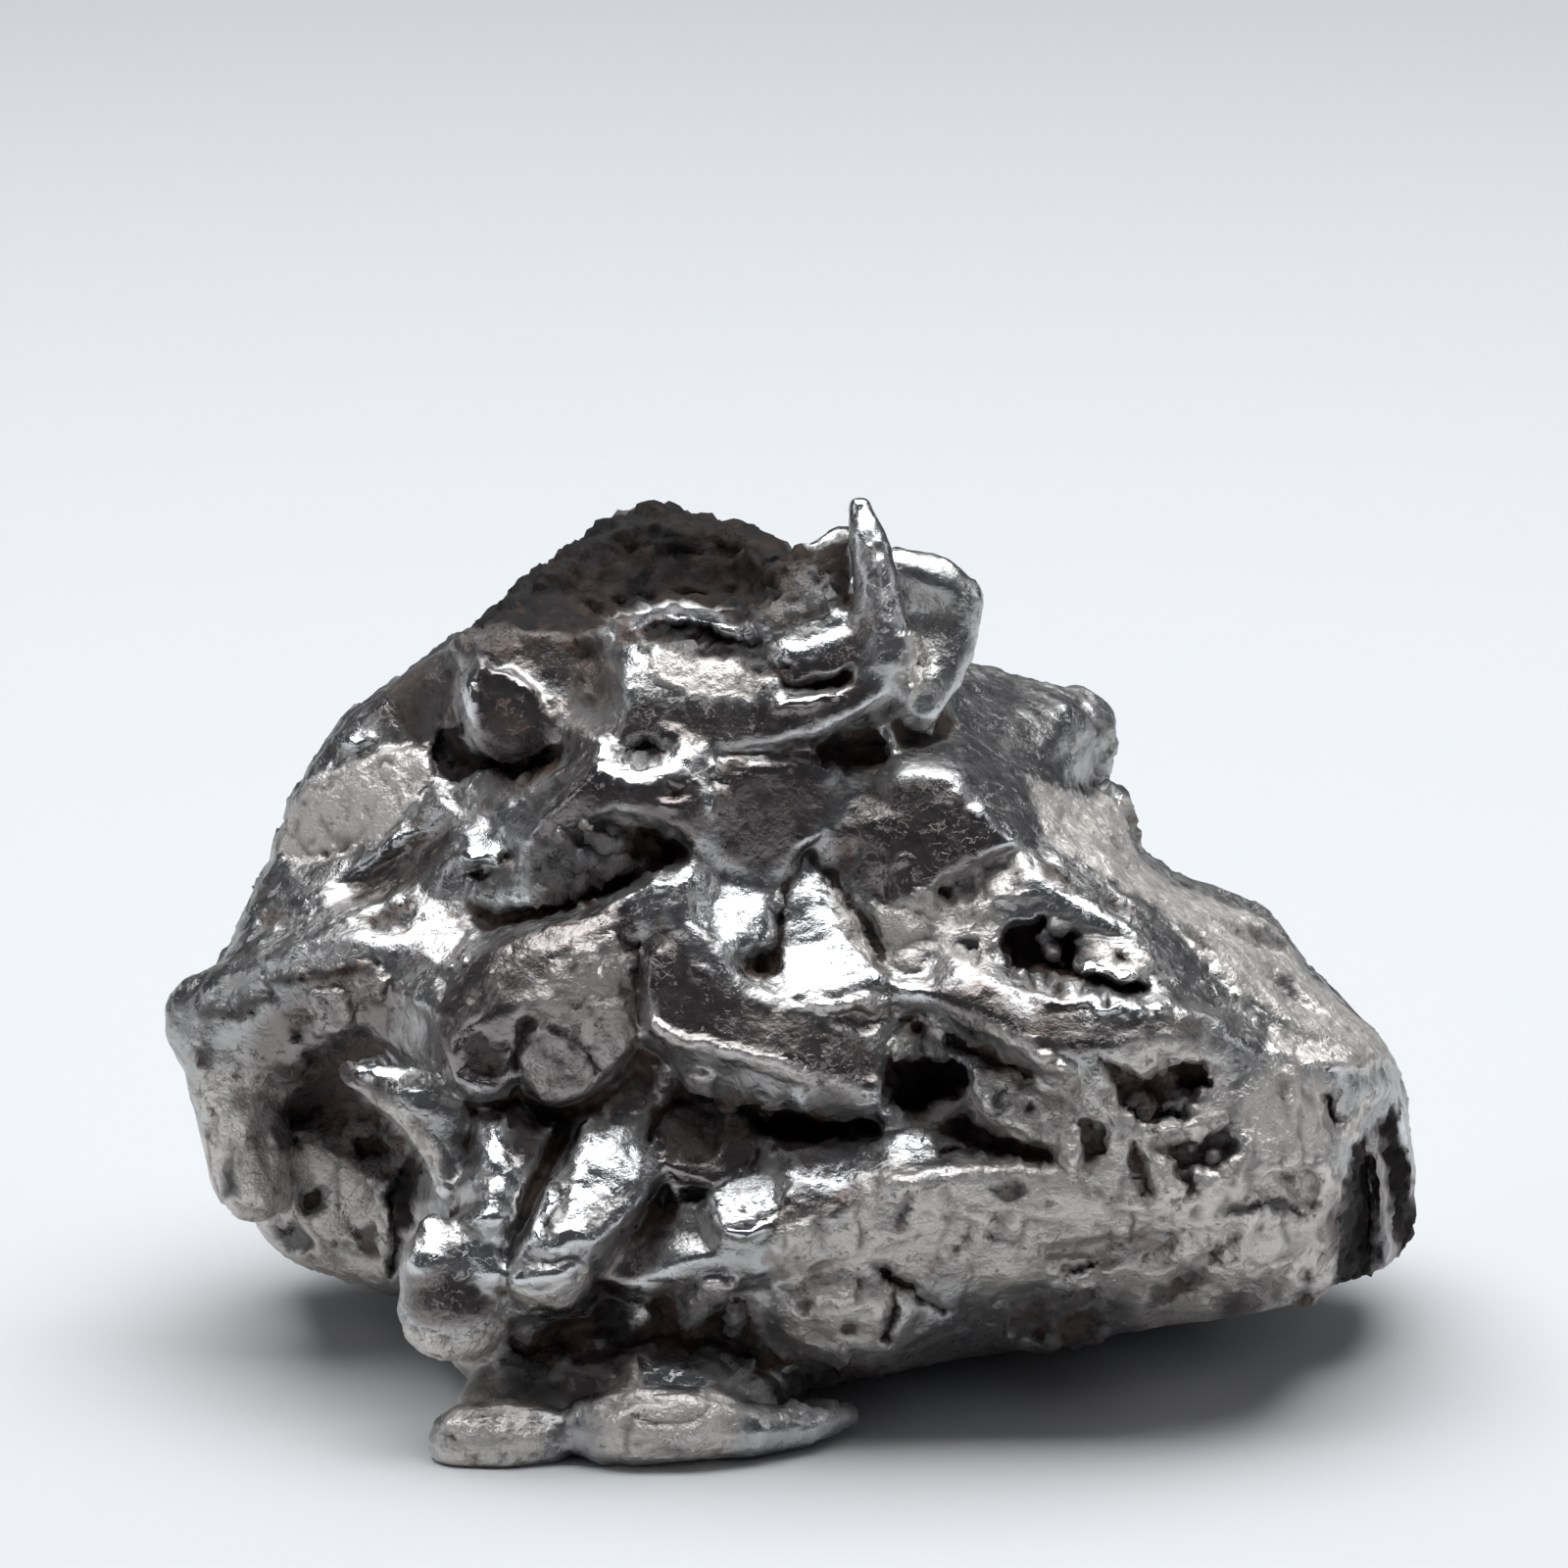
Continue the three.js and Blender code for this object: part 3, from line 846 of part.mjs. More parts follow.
// One vertex in each lattice cube that the skin crosses, and two triangles over each lattice edge
// that it crosses
function skin(lattice) {
  const { nx, ny, values, low } = lattice
  const strides = [1, nx, nx * ny]
  const positions = []
  const vertexOf = new Map()
  const cubeEdges = []
  cubeCorners.forEach((corner, c) => {
    for (let axis = 0; axis < 3; axis++) {
      if (!corner[axis]) cubeEdges.push([c, c | 1 << axis, axis])
    }
  })
  eachCube(lattice, 0, (at, cell) => {
    const corners = cubeCorners.map((corner) => values[at + stepsTo(corner, strides)])
    const sum = [0, 0, 0]
    let crossings = 0
    for (const [from, to, axis] of cubeEdges) {
      const [a, b] = [corners[from], corners[to]]
      if (a < 0 === b < 0) continue
      const place = [...cubeCorners[from]]
      place[axis] += a / (a - b)
      place.forEach((p, n) => {
        sum[n] += p
      })
      crossings++
    }
    if (!crossings) return
    vertexOf.set(at, positions.length / 3)
    sum.forEach((total, n) => {
      positions.push(low.getComponent(n) + (cell[n] + total / crossings) * latticeStep)
    })
  })
  const faces = []
  eachCube(lattice, 1, (at) => {
    for (let axis = 0; axis < 3; axis++) {
      const [a, b] = [values[at] < 0, values[at + strides[axis]] < 0]
      if (a === b) continue
      const [u, v] = [strides[(axis + 1) % 3], strides[(axis + 2) % 3]]
      const ring = [at, at - u, at - u - v, at - v].map((cube) => vertexOf.get(cube))
      if (!a) ring.reverse()
      faces.push(ring[0], ring[1], ring[2], ring[0], ring[2], ring[3])
    }
  })
  return { positions, faces }
}

// Merges edge after edge, where the skin is flattest first, until few enough triangles are left
function thinOut({ positions, faces }, goal) {
  const count = positions.length / 3
  const place = Array.from({ length: count }, (_, v) => new THREE.Vector3().fromArray(positions, 3 * v))
  const corners = Array.from({ length: faces.length / 3 }, (_, f) => faces.slice(3 * f, 3 * f + 3))
  const around = Array.from({ length: count }, () => new Set())
  const flatness = Array.from({ length: count }, () => new Float64Array(10))
  const changes = new Uint32Array(count)
  const normalOf = (a, b, c) => b.clone().sub(a).cross(c.clone().sub(a))
  corners.forEach((trio, f) => {
    const normal = normalOf(...trio.map((v) => place[v]))
    const area = normal.length()
    normal.normalize()
    const plane = [normal.x, normal.y, normal.z, -normal.dot(place[trio[0]])]
    for (const v of trio) {
      around[v].add(f)
      let n = 0
      for (let i = 0; i < 4; i++) {
        for (let j = i; j < 4; j++) {
          flatness[v][n] += area * plane[i] * plane[j]
          n++
        }
      }
    }
  })
  const neighbours = (v) => {
    const touched = [...around[v]].flatMap((f) => corners[f])
    return new Set(touched.filter((other) => other !== v))
  }

  const merged = (u, v) => {
    const q = flatness[u].map((value, n) => value + flatness[v][n])
    const error = (p) => {
      const squares = q[0] * p.x * p.x + q[4] * p.y * p.y + q[7] * p.z * p.z + q[9]
      const products = q[1] * p.x * p.y + q[2] * p.x * p.z + q[5] * p.y * p.z
      return squares + 2 * (products + q[3] * p.x + q[6] * p.y + q[8] * p.z)
    }
    const middle = place[u].clone().lerp(place[v], 0.5)
    const length = place[u].distanceTo(place[v])
    const matrix = new THREE.Matrix3().set(q[0], q[1], q[2], q[1], q[4], q[5], q[2], q[5], q[7])
    const choices = [middle, place[u].clone(), place[v].clone()]
    if (Math.abs(matrix.determinant()) > 1e-6) {
      const best = new THREE.Vector3(-q[3], -q[6], -q[8]).applyMatrix3(matrix.invert())
      if (best.distanceTo(middle) < 1.2 * length) choices.unshift(best)
    }
    const chosen = choices.reduce((a, b) => (error(b) < error(a) ? b : a))
    return { u, v, chosen, cost: error(chosen) + 2e-4 * length * length, stamp: changes[u] + changes[v] }
  }

  const heap = []
  const trade = (a, b) => {
    const kept = heap[a]
    heap[a] = heap[b]
    heap[b] = kept
  }
  const push = (item) => {
    let n = heap.push(item) - 1
    while (n && heap[n - 1 >> 1].cost > heap[n].cost) {
      trade(n, n - 1 >> 1)
      n = n - 1 >> 1
    }
  }
  const pop = () => {
    const top = heap[0]
    const last = heap.pop()
    if (!heap.length) return top
    heap[0] = last
    let n = 0
    while (true) {
      let least = n
      for (const child of [2 * n + 1, 2 * n + 2]) {
        if (child < heap.length && heap[child].cost < heap[least].cost) least = child
      }
      if (least === n) return top
      trade(n, least)
      n = least
    }
  }
  for (const trio of corners) {
    trio.forEach((v, n) => {
      const other = trio[(n + 1) % 3]
      if (v < other) push(merged(v, other))
    })
  }

  const turnsOver = (v, other, chosen) => [...around[v]].some((f) => {
    if (corners[f].includes(other)) return false
    const before = corners[f].map((c) => place[c])
    const after = corners[f].map((c) => (c === v ? chosen : place[c]))
    const [from, to] = [normalOf(...before), normalOf(...after)]
    return from.normalize().dot(to.clone().normalize()) < 0.35 || to.length() < 1e-3
  })
  let left = corners.length
  while (left > goal && heap.length) {
    const { u, v, chosen, stamp } = pop()
    if (!around[u].size || !around[v].size || stamp !== changes[u] + changes[v]) continue
    const [beside, besideOther] = [neighbours(u), neighbours(v)]
    if (!beside.has(v) || [...beside].filter((n) => besideOther.has(n)).length !== 2) continue
    if (turnsOver(u, v, chosen) || turnsOver(v, u, chosen)) continue
    for (const f of around[v]) {
      if (corners[f].includes(u)) {
        for (const c of corners[f]) {
          if (c !== v) around[c].delete(f)
        }
        corners[f] = null
        left--
      } else {
        corners[f] = corners[f].map((c) => (c === v ? u : c))
        around[u].add(f)
      }
    }
    around[v].clear()
    place[u].copy(chosen)
    flatness[v].forEach((value, n) => {
      flatness[u][n] += value
    })
    changes[u] += changes[v] + 1
    for (const n of neighbours(u)) push(merged(u, n))
  }

  const kept = new Map()
  const remaining = corners.filter((trio) => trio).flat()
  for (const v of remaining) {
    if (!kept.has(v)) kept.set(v, kept.size)
  }
  return {
    positions: [...kept.keys()].flatMap((v) => place[v].toArray()),
    faces: remaining.map((v) => kept.get(v)),
  }
}

function stoneGeometry() {
  const lattice = makeLattice()
  stampReliefs(lattice)
  stampSweeps(lattice, raised, softMin)
  stampSweeps(lattice, sunk, (value, ball, blend) => softMax(value, -ball, blend))
  roughen(lattice)
  cutFloor(lattice)
  keepOneBody(lattice)
  fillPinches(lattice)
  const { positions, faces } = thinOut(skin(lattice), triangleGoal)
  const geometry = new THREE.BufferGeometry()
  geometry.setAttribute('position', new THREE.Float32BufferAttribute(positions, 3))
  geometry.setIndex(faces)
  geometry.computeBoundingBox()
  const middle = geometry.boundingBox.getCenter(new THREE.Vector3())
  geometry.translate(-middle.x, -middle.y, -geometry.boundingBox.min.z)
  geometry.computeVertexNormals()
  return geometry
}

const nickelIron = new THREE.MeshStandardMaterial({
  color: 0x8a8784,
  roughness: 0.35,
  metalness: 1,
  flatShading: true,
})
const stone = new THREE.Mesh(stoneGeometry(), nickelIron)
stone.name = 'meteorite'
const specimen = new THREE.Group()
specimen.add(stone)

export default specimen
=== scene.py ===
import math

import bpy
import numpy as np
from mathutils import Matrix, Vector, geometry


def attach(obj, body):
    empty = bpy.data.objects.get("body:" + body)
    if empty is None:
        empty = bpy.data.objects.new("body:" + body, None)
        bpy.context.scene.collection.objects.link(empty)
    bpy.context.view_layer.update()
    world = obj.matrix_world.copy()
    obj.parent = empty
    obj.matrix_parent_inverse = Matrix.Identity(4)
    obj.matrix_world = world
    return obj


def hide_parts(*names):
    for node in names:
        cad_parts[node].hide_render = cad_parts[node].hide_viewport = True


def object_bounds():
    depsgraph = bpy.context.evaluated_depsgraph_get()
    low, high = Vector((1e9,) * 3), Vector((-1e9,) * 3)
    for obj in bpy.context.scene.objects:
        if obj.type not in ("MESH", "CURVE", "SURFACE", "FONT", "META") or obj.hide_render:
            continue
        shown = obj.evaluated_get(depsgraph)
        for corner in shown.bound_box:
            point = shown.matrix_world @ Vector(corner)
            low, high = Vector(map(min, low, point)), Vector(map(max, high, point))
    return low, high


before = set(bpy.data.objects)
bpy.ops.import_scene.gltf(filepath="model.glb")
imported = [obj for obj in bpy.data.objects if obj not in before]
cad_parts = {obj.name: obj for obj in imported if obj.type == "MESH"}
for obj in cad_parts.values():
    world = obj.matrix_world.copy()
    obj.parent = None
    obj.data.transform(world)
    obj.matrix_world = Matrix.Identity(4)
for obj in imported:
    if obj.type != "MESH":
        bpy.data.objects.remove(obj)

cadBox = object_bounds()
eyeDistance = 300.0
eyeTilt = math.radians(15)
sinTilt, cosTilt = math.sin(eyeTilt), math.cos(eyeTilt)
floorDrop = 11.95  # height of the picture's middle over the floor
aimUp = 5.0
farAway = 40.0
triangleGoal = 190000

# The stone is described from its best side, in millimetres:
# across to the right, up the picture, toward the eye.
# The outline: across, up, toward of the front relief, toward of the back relief.
outline = [
    [-15.6, -1.3, -7.4, -11.6], [-15.2, 0, -7.2, -12.2], [-14.6, 0.6, -7.8, -12.6],
    [-14.3, 1.3, -8.2, -12.8], [-13.9, 2.2, -8.6, -13], [-13.4, 3, -8.8, -13], [-13.1, 4, -9, -13],
    [-13, 4.8, -9, -13], [-12.5, 5.6, -9, -13], [-11.8, 6.6, -9.2, -13], [-11, 7.3, -9.2, -13],
    [-10, 7.9, -8.8, -13], [-9.2, 8.5, -8.4, -13.2], [-8.5, 8.9, -8.2, -13.2], [-7.9, 9.5, -8.6, -13.4],
    [-7.2, 10.2, -8.8, -13.4], [-6.3, 10.8, -9.2, -13.6], [-5.5, 11.2, -9.4, -13.6],
    [-4.9, 11.9, -9.8, -13.6], [-4.4, 12.2, -10, -13.6], [-3.5, 12.4, -10.2, -13.6],
    [-2.4, 12.1, -10.2, -13.6], [-1.2, 11.8, -10, -13.4], [-0.5, 11.7, -9.6, -13.6],
    [0.2, 11.2, -8.8, -13.6], [1, 11, -7.8, -13.6], [1.4, 10.7, -7, -13.6], [2.6, 10, -6.6, -13.6],
    [3.7, 8.8, -6.8, -14], [4.5, 7.9, -8.2, -14.4], [5, 7.7, -8.8, -14.4], [6, 7.4, -9.4, -14.4],
    [7.2, 7.5, -10.6, -14.8], [8, 7.3, -10.8, -14.8], [8.3, 6.7, -11.6, -15], [8.35, 6.2, -11.4, -15],
    [8.2, 5.5, -11.4, -15], [8.1, 4.9, -11.4, -15], [8.7, 4.7, -11.6, -15], [9.1, 4, -11.4, -15],
    [9.3, 3.2, -11.6, -15], [10, 2.6, -11.6, -15], [11.2, 2.2, -11.6, -15], [12.6, 1.7, -11.4, -14.8],
    [13.2, 1.1, -11.2, -14.6], [13.5, 0.3, -10.8, -14.4], [14.2, -0.2, -10.6, -14.2],
    [15, -0.8, -10.4, -14], [15.7, -1.3, -10, -14], [16.1, -2.2, -9.6, -13.8], [16.4, -3.5, -9.2, -13.4],
    [16.6, -5, -9, -13], [16.4, -6.2, -8.8, -12.8], [16.4, -7.3, -8.8, -12.4], [15.9, -7.9, -8.4, -12],
    [14.9, -8, -7.6, -12], [14.3, -8.2, -7.2, -12], [13.8, -8.7, -6.2, -10.6], [12.8, -8.9, -6, -9.4],
    [11.8, -9.2, -6, -9], [10, -9.3, -6.2, -8.6], [9, -9.6, -6.2, -8.4], [7.5, -10, -6.2, -8],
    [5.5, -10.2, -6, -7.8], [3.3, -10.6, -4.8, -7], [2, -10.9, -3.6, -6.2], [1, -11.1, -2.8, -5.6],
    [0, -11.2, -2.2, -5.2], [-1.5, -11.3, -2, -4.8], [-3.5, -11.3, -2, -4.8], [-5.6, -11, -2.2, -5],
    [-6.6, -10.6, -2.4, -5.6], [-7.8, -10, -3, -6.8], [-8.4, -9.6, -3.6, -7.6], [-9.3, -9.2, -5.2, -9.6],
    [-9.8, -8.5, -7.8, -11.4], [-10.2, -8.5, -8.6, -12], [-12, -7.9, -9.2, -13.6], [-13, -7.7, -9.4, -13.6],
    [-13.8, -6.8, -9.8, -13.2], [-14.2, -6.3, -9.8, -13.2], [-14.5, -5.2, -9.8, -13],
    [-14.8, -4, -9.4, -12.8], [-15, -3, -8.6, -12.4], [-15.4, -2, -7.8, -11.8],
]

# Lines on the front relief: across, up, toward
frontCreases = {
    "cavernWallFoot": [
        [-4.6, 9.2, -8.2], [-3, 9.5, -9.3], [-1.8, 9.4, -9.5], [-0.9, 9.5, -9.2], [-0.4, 10.2, -8.6],
        [0.6, 10.8, -7.6],
    ],
    "cavernFloor": [
        [-6.8, 9.5, -7.6], [-5.4, 9.7, -8.2], [-4.6, 10.6, -9.4], [-3.2, 11, -10.2], [-1.4, 10.6, -10],
    ],
    "cavernLeftWall": [[-7.4, 9.2, -7], [-6.4, 10.2, -8.4], [-5.4, 11, -9]],
    "nearRim": [
        [-5, 8.8, -4.6], [-4.3, 8.9, -3.7], [-3.7, 9.05, -3.2], [-3, 9.3, -3], [-2.1, 9.25, -2.8],
        [-1.1, 9.05, -2.5], [-0.5, 9.3, -2.3], [0, 9.7, -2.2], [0.8, 10.3, -2.4], [1.5, 11, -2.6],
    ],
    "bandTop": [
        [-4, 8.4, -2.5], [-3, 8.25, -2], [-2.2, 8.3, -1.9], [-1, 8.4, -1.8], [-0.2, 8.5, -1.6],
        [0.8, 8.9, -1.4], [1.9, 9.4, -1.3],
    ],
    "bandBreak": [
        [-4.1, 7.4, -1.8], [-2.5, 7.2, -1.45], [-1.2, 7.2, -1.35], [-0.4, 7, -1.2], [0.5, 7.1, -0.9],
        [1.9, 7.7, -0.8],
    ],
    "bandFoot": [
        [2.7, 7.3, -0.8], [1.9, 6.8, -0.7], [1, 6.35, -0.8], [0, 6.15, -0.95], [-1.4, 6.05, -1.1],
        [-2.3, 6.05, -1.05], [-2.9, 6.2, -1],
    ],
    "underBand": [
        [2.6, 6.6, -2.4], [1.8, 6.1, -2.4], [0.8, 5.85, -1.9], [-0.4, 5.75, -1.5], [-1.5, 5.65, -1.3],
    ],
    "spikeFoot": [[2.3, 9.6, -1.3], [2.5, 8.8, -1], [2.7, 8, -0.8]],
    "lobeBack": [[3, 9.4, -4.4], [3.4, 8.4, -4], [3.6, 7.2, -3.6], [3.2, 6.4, -3]],
    "notchLip": [
        [-4.75, 6.2, -1.3], [-4.75, 5.5, -0.6], [-4.1, 5.1, -0.35], [-3.5, 5.05, -0.3], [-2.9, 5.4, -0.45],
        [-2.4, 5.8, -0.7],
    ],
    "armCrest": [
        [-4.8, 5.4, -0.4], [-5.5, 4.7, -0.7], [-6.1, 4.2, -1.2], [-6.6, 3.4, -1.6], [-6.9, 2.7, -2],
        [-7.2, 2, -2.4],
    ],
    "armLip": [
        [-6.2, 3.2, -1.7], [-5.8, 3.9, -1.1], [-5.1, 4.25, -0.7], [-4.2, 4.4, -0.4], [-3.3, 4.15, -0.3],
        [-2.6, 3.8, -0.3], [-2.25, 3.4, -0.5], [-2.05, 3.1, -0.8],
    ],
    "rightFaceBehind": [[3.2, 6.1, -3.4], [4.6, 5.95, -3.9], [5.8, 5.2, -4.4], [6.6, 4.3, -4.2]],
    "rightFaceLeft": [[2.1, 5, -1.9], [1.55, 4.3, -1.6], [1.15, 3.6, -1.5], [0.95, 3.1, -1.7]],
    "rightFaceFoot": [
        [5.85, 3.5, -1.2], [4.8, 2.9, -0.9], [4, 2.5, -0.8], [3.3, 2.1, -0.8], [2.6, 1.75, -1],
        [2.1, 1.85, -1.2], [1.6, 2.3, -1.4],
    ],
    "rightFaceMiddle": [[2.4, 3.8, -1.1], [4.2, 3.8, -0.9]],
    "fangFoot": [[-0.1, -0.45, 0.3], [0.7, -0.4, 0.4], [1.6, -0.2, 0.35], [2.55, 0.05, 0.1]],
    "plateTop": [
        [-8.3, 0.2, -1.4], [-7.7, 0.7, -1.1], [-7, 1.1, -0.8], [-6, 1.45, -0.5], [-5, 1.7, -0.3],
        [-4.2, 2.1, -0.2], [-3.4, 2.6, -0.2], [-2.6, 2.9, -0.3], [-2.1, 3, -0.6],
    ],
    "plateBehind": [
        [-8.1, 0.9, -3.2], [-7, 1.5, -3.4], [-5.8, 1.85, -3.4], [-4.8, 2.2, -3.2], [-3.8, 2.75, -2.8],
        [-3, 3.05, -2],
    ],
    "plateMiddle": [[-2.4, 0.6, 0.6], [-1.2, -0.8, 0.7], [0.6, -1.2, 0.6], [2.2, -1.4, 0.2]],
    "plateLip": [
        [-3.55, 0.5, 0.4], [-3.5, -0.5, 0.6], [-3.2, -1.2, 0.8], [-2.5, -1.6, 1], [-1.3, -1.85, 1.1],
        [0, -2.1, 1.1], [1.2, -2.6, 1], [2.4, -3.05, 0.8],
    ],
    "plateEnd": [[2.7, -0.2, 0], [2.75, -1.1, -0.3], [2.55, -2.2, 0.2], [2.5, -2.9, 0.6]],
    "plateUnderLip": [
        [-3.2, -1.9, -0.5], [-2.6, -2.3, -0.3], [-2.1, -2.6, -0.1], [-1.3, -2.6, 0.1], [-0.3, -3, 0.1],
        [0.8, -3.2, 0.2], [2.3, -3.35, 0.1],
    ],
    "plateShadow": [[-2.8, -3, -2], [-1.2, -3.4, -2.4], [0.5, -3.7, -2.6], [2.3, -3.75, -2.8]],
    "seam": [[-3.9, 1.6, -0.1], [-3.75, 0.8, -0.3], [-3.65, 0, -0.1], [-3.7, -0.8, 0]],
    "crustPlateTop": [[-7.4, 0.2, -0.1], [-6.2, 0.7, 0.2], [-5.2, 1.1, 0.3], [-4.3, 1.3, 0.2]],
    "crustPlateMiddle": [[-7.8, -1, 0.3], [-6.4, -0.6, 0.6], [-5, -0.5, 0.7], [-4.2, -0.6, 0.4]],
    "crustPlateFoot": [
        [-8.35, 0, -1.2], [-8.7, -0.8, -0.9], [-8.65, -1.8, -0.4], [-8.35, -2.6, -0.1], [-7.8, -2.85, 0],
        [-7.2, -2.7, 0], [-6.9, -2.2, 0], [-6.5, -2.5, -0.1], [-6.1, -3.05, -0.2], [-5.6, -3.1, -0.2],
        [-5, -2.8, -0.1], [-4.4, -2.3, 0], [-4, -1.8, 0], [-3.65, -1.2, -0.1],
    ],
    "crustPlateShadow": [
        [-9.1, -1.2, -2.4], [-9, -2.2, -2.2], [-8.6, -3.1, -1.8], [-7.7, -3.3, -1.6], [-6.9, -3, -1.8],
        [-6.2, -3.4, -1.9], [-5.2, -3.3, -1.6], [-4.4, -2.8, -1.6], [-3.7, -2.1, -1.7],
    ],
    "eyeOuter": [
        [3.7, 0, -0.2], [3.95, 0.6, -0.5], [4.4, 1.3, -0.7], [5, 1.9, -0.9], [5.7, 2.4, -1],
        [6.3, 2.65, -1.1], [7, 2.2, -0.9], [7.8, 1.7, -0.8], [8.6, 1.3, -0.8], [9.3, 0.9, -0.9],
        [9.9, 0.3, -1], [10.3, -0.3, -1.1], [11, -0.8, -1.3], [11.8, -1.2, -1.6],
    ],
    "eyeLower": [
        [4.3, 0.1, 0.3], [5.3, 0.1, 0.5], [5.9, -0.4, 0.8], [6.8, -0.7, 0.9], [8, -0.85, 0.9],
        [9.2, -0.85, 0.7], [10.2, -0.75, 0.2], [11.2, -1, -0.6],
    ],
    "browBehind": [
        [6.4, 3.4, -2.4], [7.2, 3.3, -2.8], [8.2, 2.6, -2.8], [9.4, 1.9, -2.8], [10.4, 0.9, -2.6],
        [11.4, -0.2, -2.4], [12.2, -0.9, -2.4],
    ],
    "eyeBand": [
        [3.6, -0.3, 0.4], [5, -0.9, 1], [6, -1.4, 1.3], [7.2, -1.7, 1.4], [8.4, -1.6, 1.2], [10, -1.4, 0.6],
        [11.4, -1.4, -0.2], [12.2, -1.8, -0.9],
    ],
    "eyeLedge": [
        [3.5, -0.7, -0.1], [4.3, -1.1, 0.3], [5.3, -1.5, 0.7], [6, -1.9, 0.9], [6.8, -2.3, 1],
        [7.7, -2.3, 1],
    ],
    "eyeGroove": [[3.4, -1.2, -1.2], [4.4, -1.6, -0.8], [5.4, -2, -0.4], [6.2, -2.5, -0.2], [6.9, -2.9, 0]],
    "slab": [[4.9, -2.3, 0.1], [5, -3, 0.2], [5.6, -3.6, 0.3], [6.3, -4, 0.3], [6.9, -4.2, 0.3]],
    "slabFoot": [[4.5, -3.7, -1.4], [5.4, -4.2, -1.2], [6.6, -4.5, -0.6]],
    "rightWallTop": [
        [-2.9, -7.3, 0.2], [-2, -7, 0.45], [-0.8, -6.7, 0.65], [0.2, -6.6, 0.75], [0.9, -6.1, 0.8],
        [1.8, -5.65, 0.8], [2.6, -5.25, 0.8], [3.5, -5, 0.75], [5.4, -4.8, 0.6], [7, -4.7, 0.6],
        [7.6, -3.6, 0.8], [8, -2.2, 1.15],
    ],
    "rightWallUpper": [
        [4, -6.2, 0.3], [6, -6, 0.5], [8, -5.8, 0.6], [10.4, -5.6, 0.3], [12, -4.8, -0.2],
        [13.6, -4.6, -1.3],
    ],
    "rightWallShoulder": [[11.6, -2.6, -0.4], [12.8, -2.3, -1.1], [14.2, -2.3, -2.2], [14.9, -3, -3.4]],
    "rightWallEdge": [
        [14.9, -3, -3.4], [14.25, -4.1, -2.5], [14.25, -5.5, -2.5], [13.95, -6.8, -2.9], [13.9, -7.8, -3.7],
        [13.5, -8.5, -5],
    ],
    "rightWallBreak": [[3.6, -7.6, -0.7], [6.5, -7.6, -1.2], [10, -7.3, -1.2], [12.5, -7.5, -1.9]],
    "rightWallFoot": [[4.4, -9.2, -3], [7, -9.3, -4.6], [10, -8.9, -4.6], [12.5, -8.8, -4.9]],
    "rightEnd": [[15, -3.4, -5.6], [14.8, -5, -6.4], [14.7, -6.6, -6.8], [14.6, -7.8, -7]],
    "rightEndOuter": [[15.6, -2.6, -6.4], [15.9, -4, -7.2], [16.2, -6, -8]],
    "clinker": [
        [-1.2, -8, -0.7], [0.3, -7.45, -0.2], [1.7, -7.3, -0.1], [2.9, -7.8, -0.6], [4.2, -8.6, -1.5],
        [3.1, -9.4, -1.9], [1.8, -9.6, -1.3], [0.2, -9.1, -1.1], [-1.2, -8, -0.7],
    ],
    "clinkerMiddle": [[0.4, -8.3, 0], [1.7, -8.2, 0.3], [2.6, -8.6, -0.4]],
    "clinkerShadow": [[-0.6, -10, -3.6], [1, -10.2, -3.8], [2.3, -10.4, -4.6]],
    "footGround": [[-5.6, -8.8, -2.6], [-3.8, -9, -2.2], [-2, -9.2, -2.6], [-6.8, -9.6, -3]],
    "leftCrest": [
        [-15.2, -0.4, -6.8], [-14.6, 0.1, -6.2], [-13.4, 0.3, -5.3], [-12, 0.8, -4.5], [-10.9, 1.1, -4],
        [-10.3, 0.7, -3.6], [-9.3, 0.8, -3.2], [-8.6, 0, -2.5],
    ],
    "leftValley": [
        [-13.9, 1.4, -7.6], [-12.9, 1.4, -6.8], [-11.6, 1.7, -5.8], [-10.4, 1.9, -5.2], [-9.4, 2.1, -4.8],
        [-8.2, 2.2, -4.2],
    ],
    "shoulderCrest": [
        [-13, 2.4, -8], [-12.2, 2.4, -7.2], [-11.2, 2.5, -6.5], [-10.4, 3.1, -6.3], [-9.6, 3.8, -6],
        [-8.8, 4.3, -5.6],
    ],
    "shoulderUnder": [[-11.2, 2.1, -6.6], [-10, 2.7, -6.3], [-9, 3.4, -5.6]],
    "leftUnderCrest": [
        [-15.2, -1.2, -7], [-14, -1.1, -5.8], [-12.6, -0.8, -4.7], [-11.3, -0.3, -4], [-10, -0.3, -3.4],
    ],
    "leftBelly": [
        [-15, -2.4, -7.6], [-14, -2.5, -6.6], [-12.4, -2.2, -5.6], [-11.3, -1.6, -4.9], [-10.2, -1.3, -4.2],
        [-9.5, -1.8, -3.2],
    ],
    "leftBellyFoot": [[-14.7, -3.8, -8.8], [-13.2, -3.7, -8.4], [-11.8, -3.4, -8.2], [-10.4, -3.4, -7.4]],
    "leftRearUpper": [[-13.8, -4.8, -8.8], [-12.4, -4.3, -8], [-11.2, -5, -7.8], [-9.6, -4.9, -6.4]],
    "leftRearLower": [[-13.4, -6.4, -9], [-12, -6.6, -8.4], [-10.8, -7.2, -8.4], [-9.6, -7.2, -6.6]],
    "flankFace": [
        [-12.7, 4.4, -8.8], [-12.1, 5.4, -8.9], [-10.8, 5.9, -8.4], [-9.2, 5.9, -7.6], [-8.9, 5, -6.5],
        [-9.6, 4.1, -6.3], [-11, 3.2, -7.2], [-12.4, 3, -8.2], [-12.7, 4.4, -8.8],
    ],
    "flankAbove": [[-11.2, 6.7, -8.8], [-10, 7.1, -8.2], [-9, 7.4, -7], [-8.5, 6.5, -6.8]],
    "blockFront": [
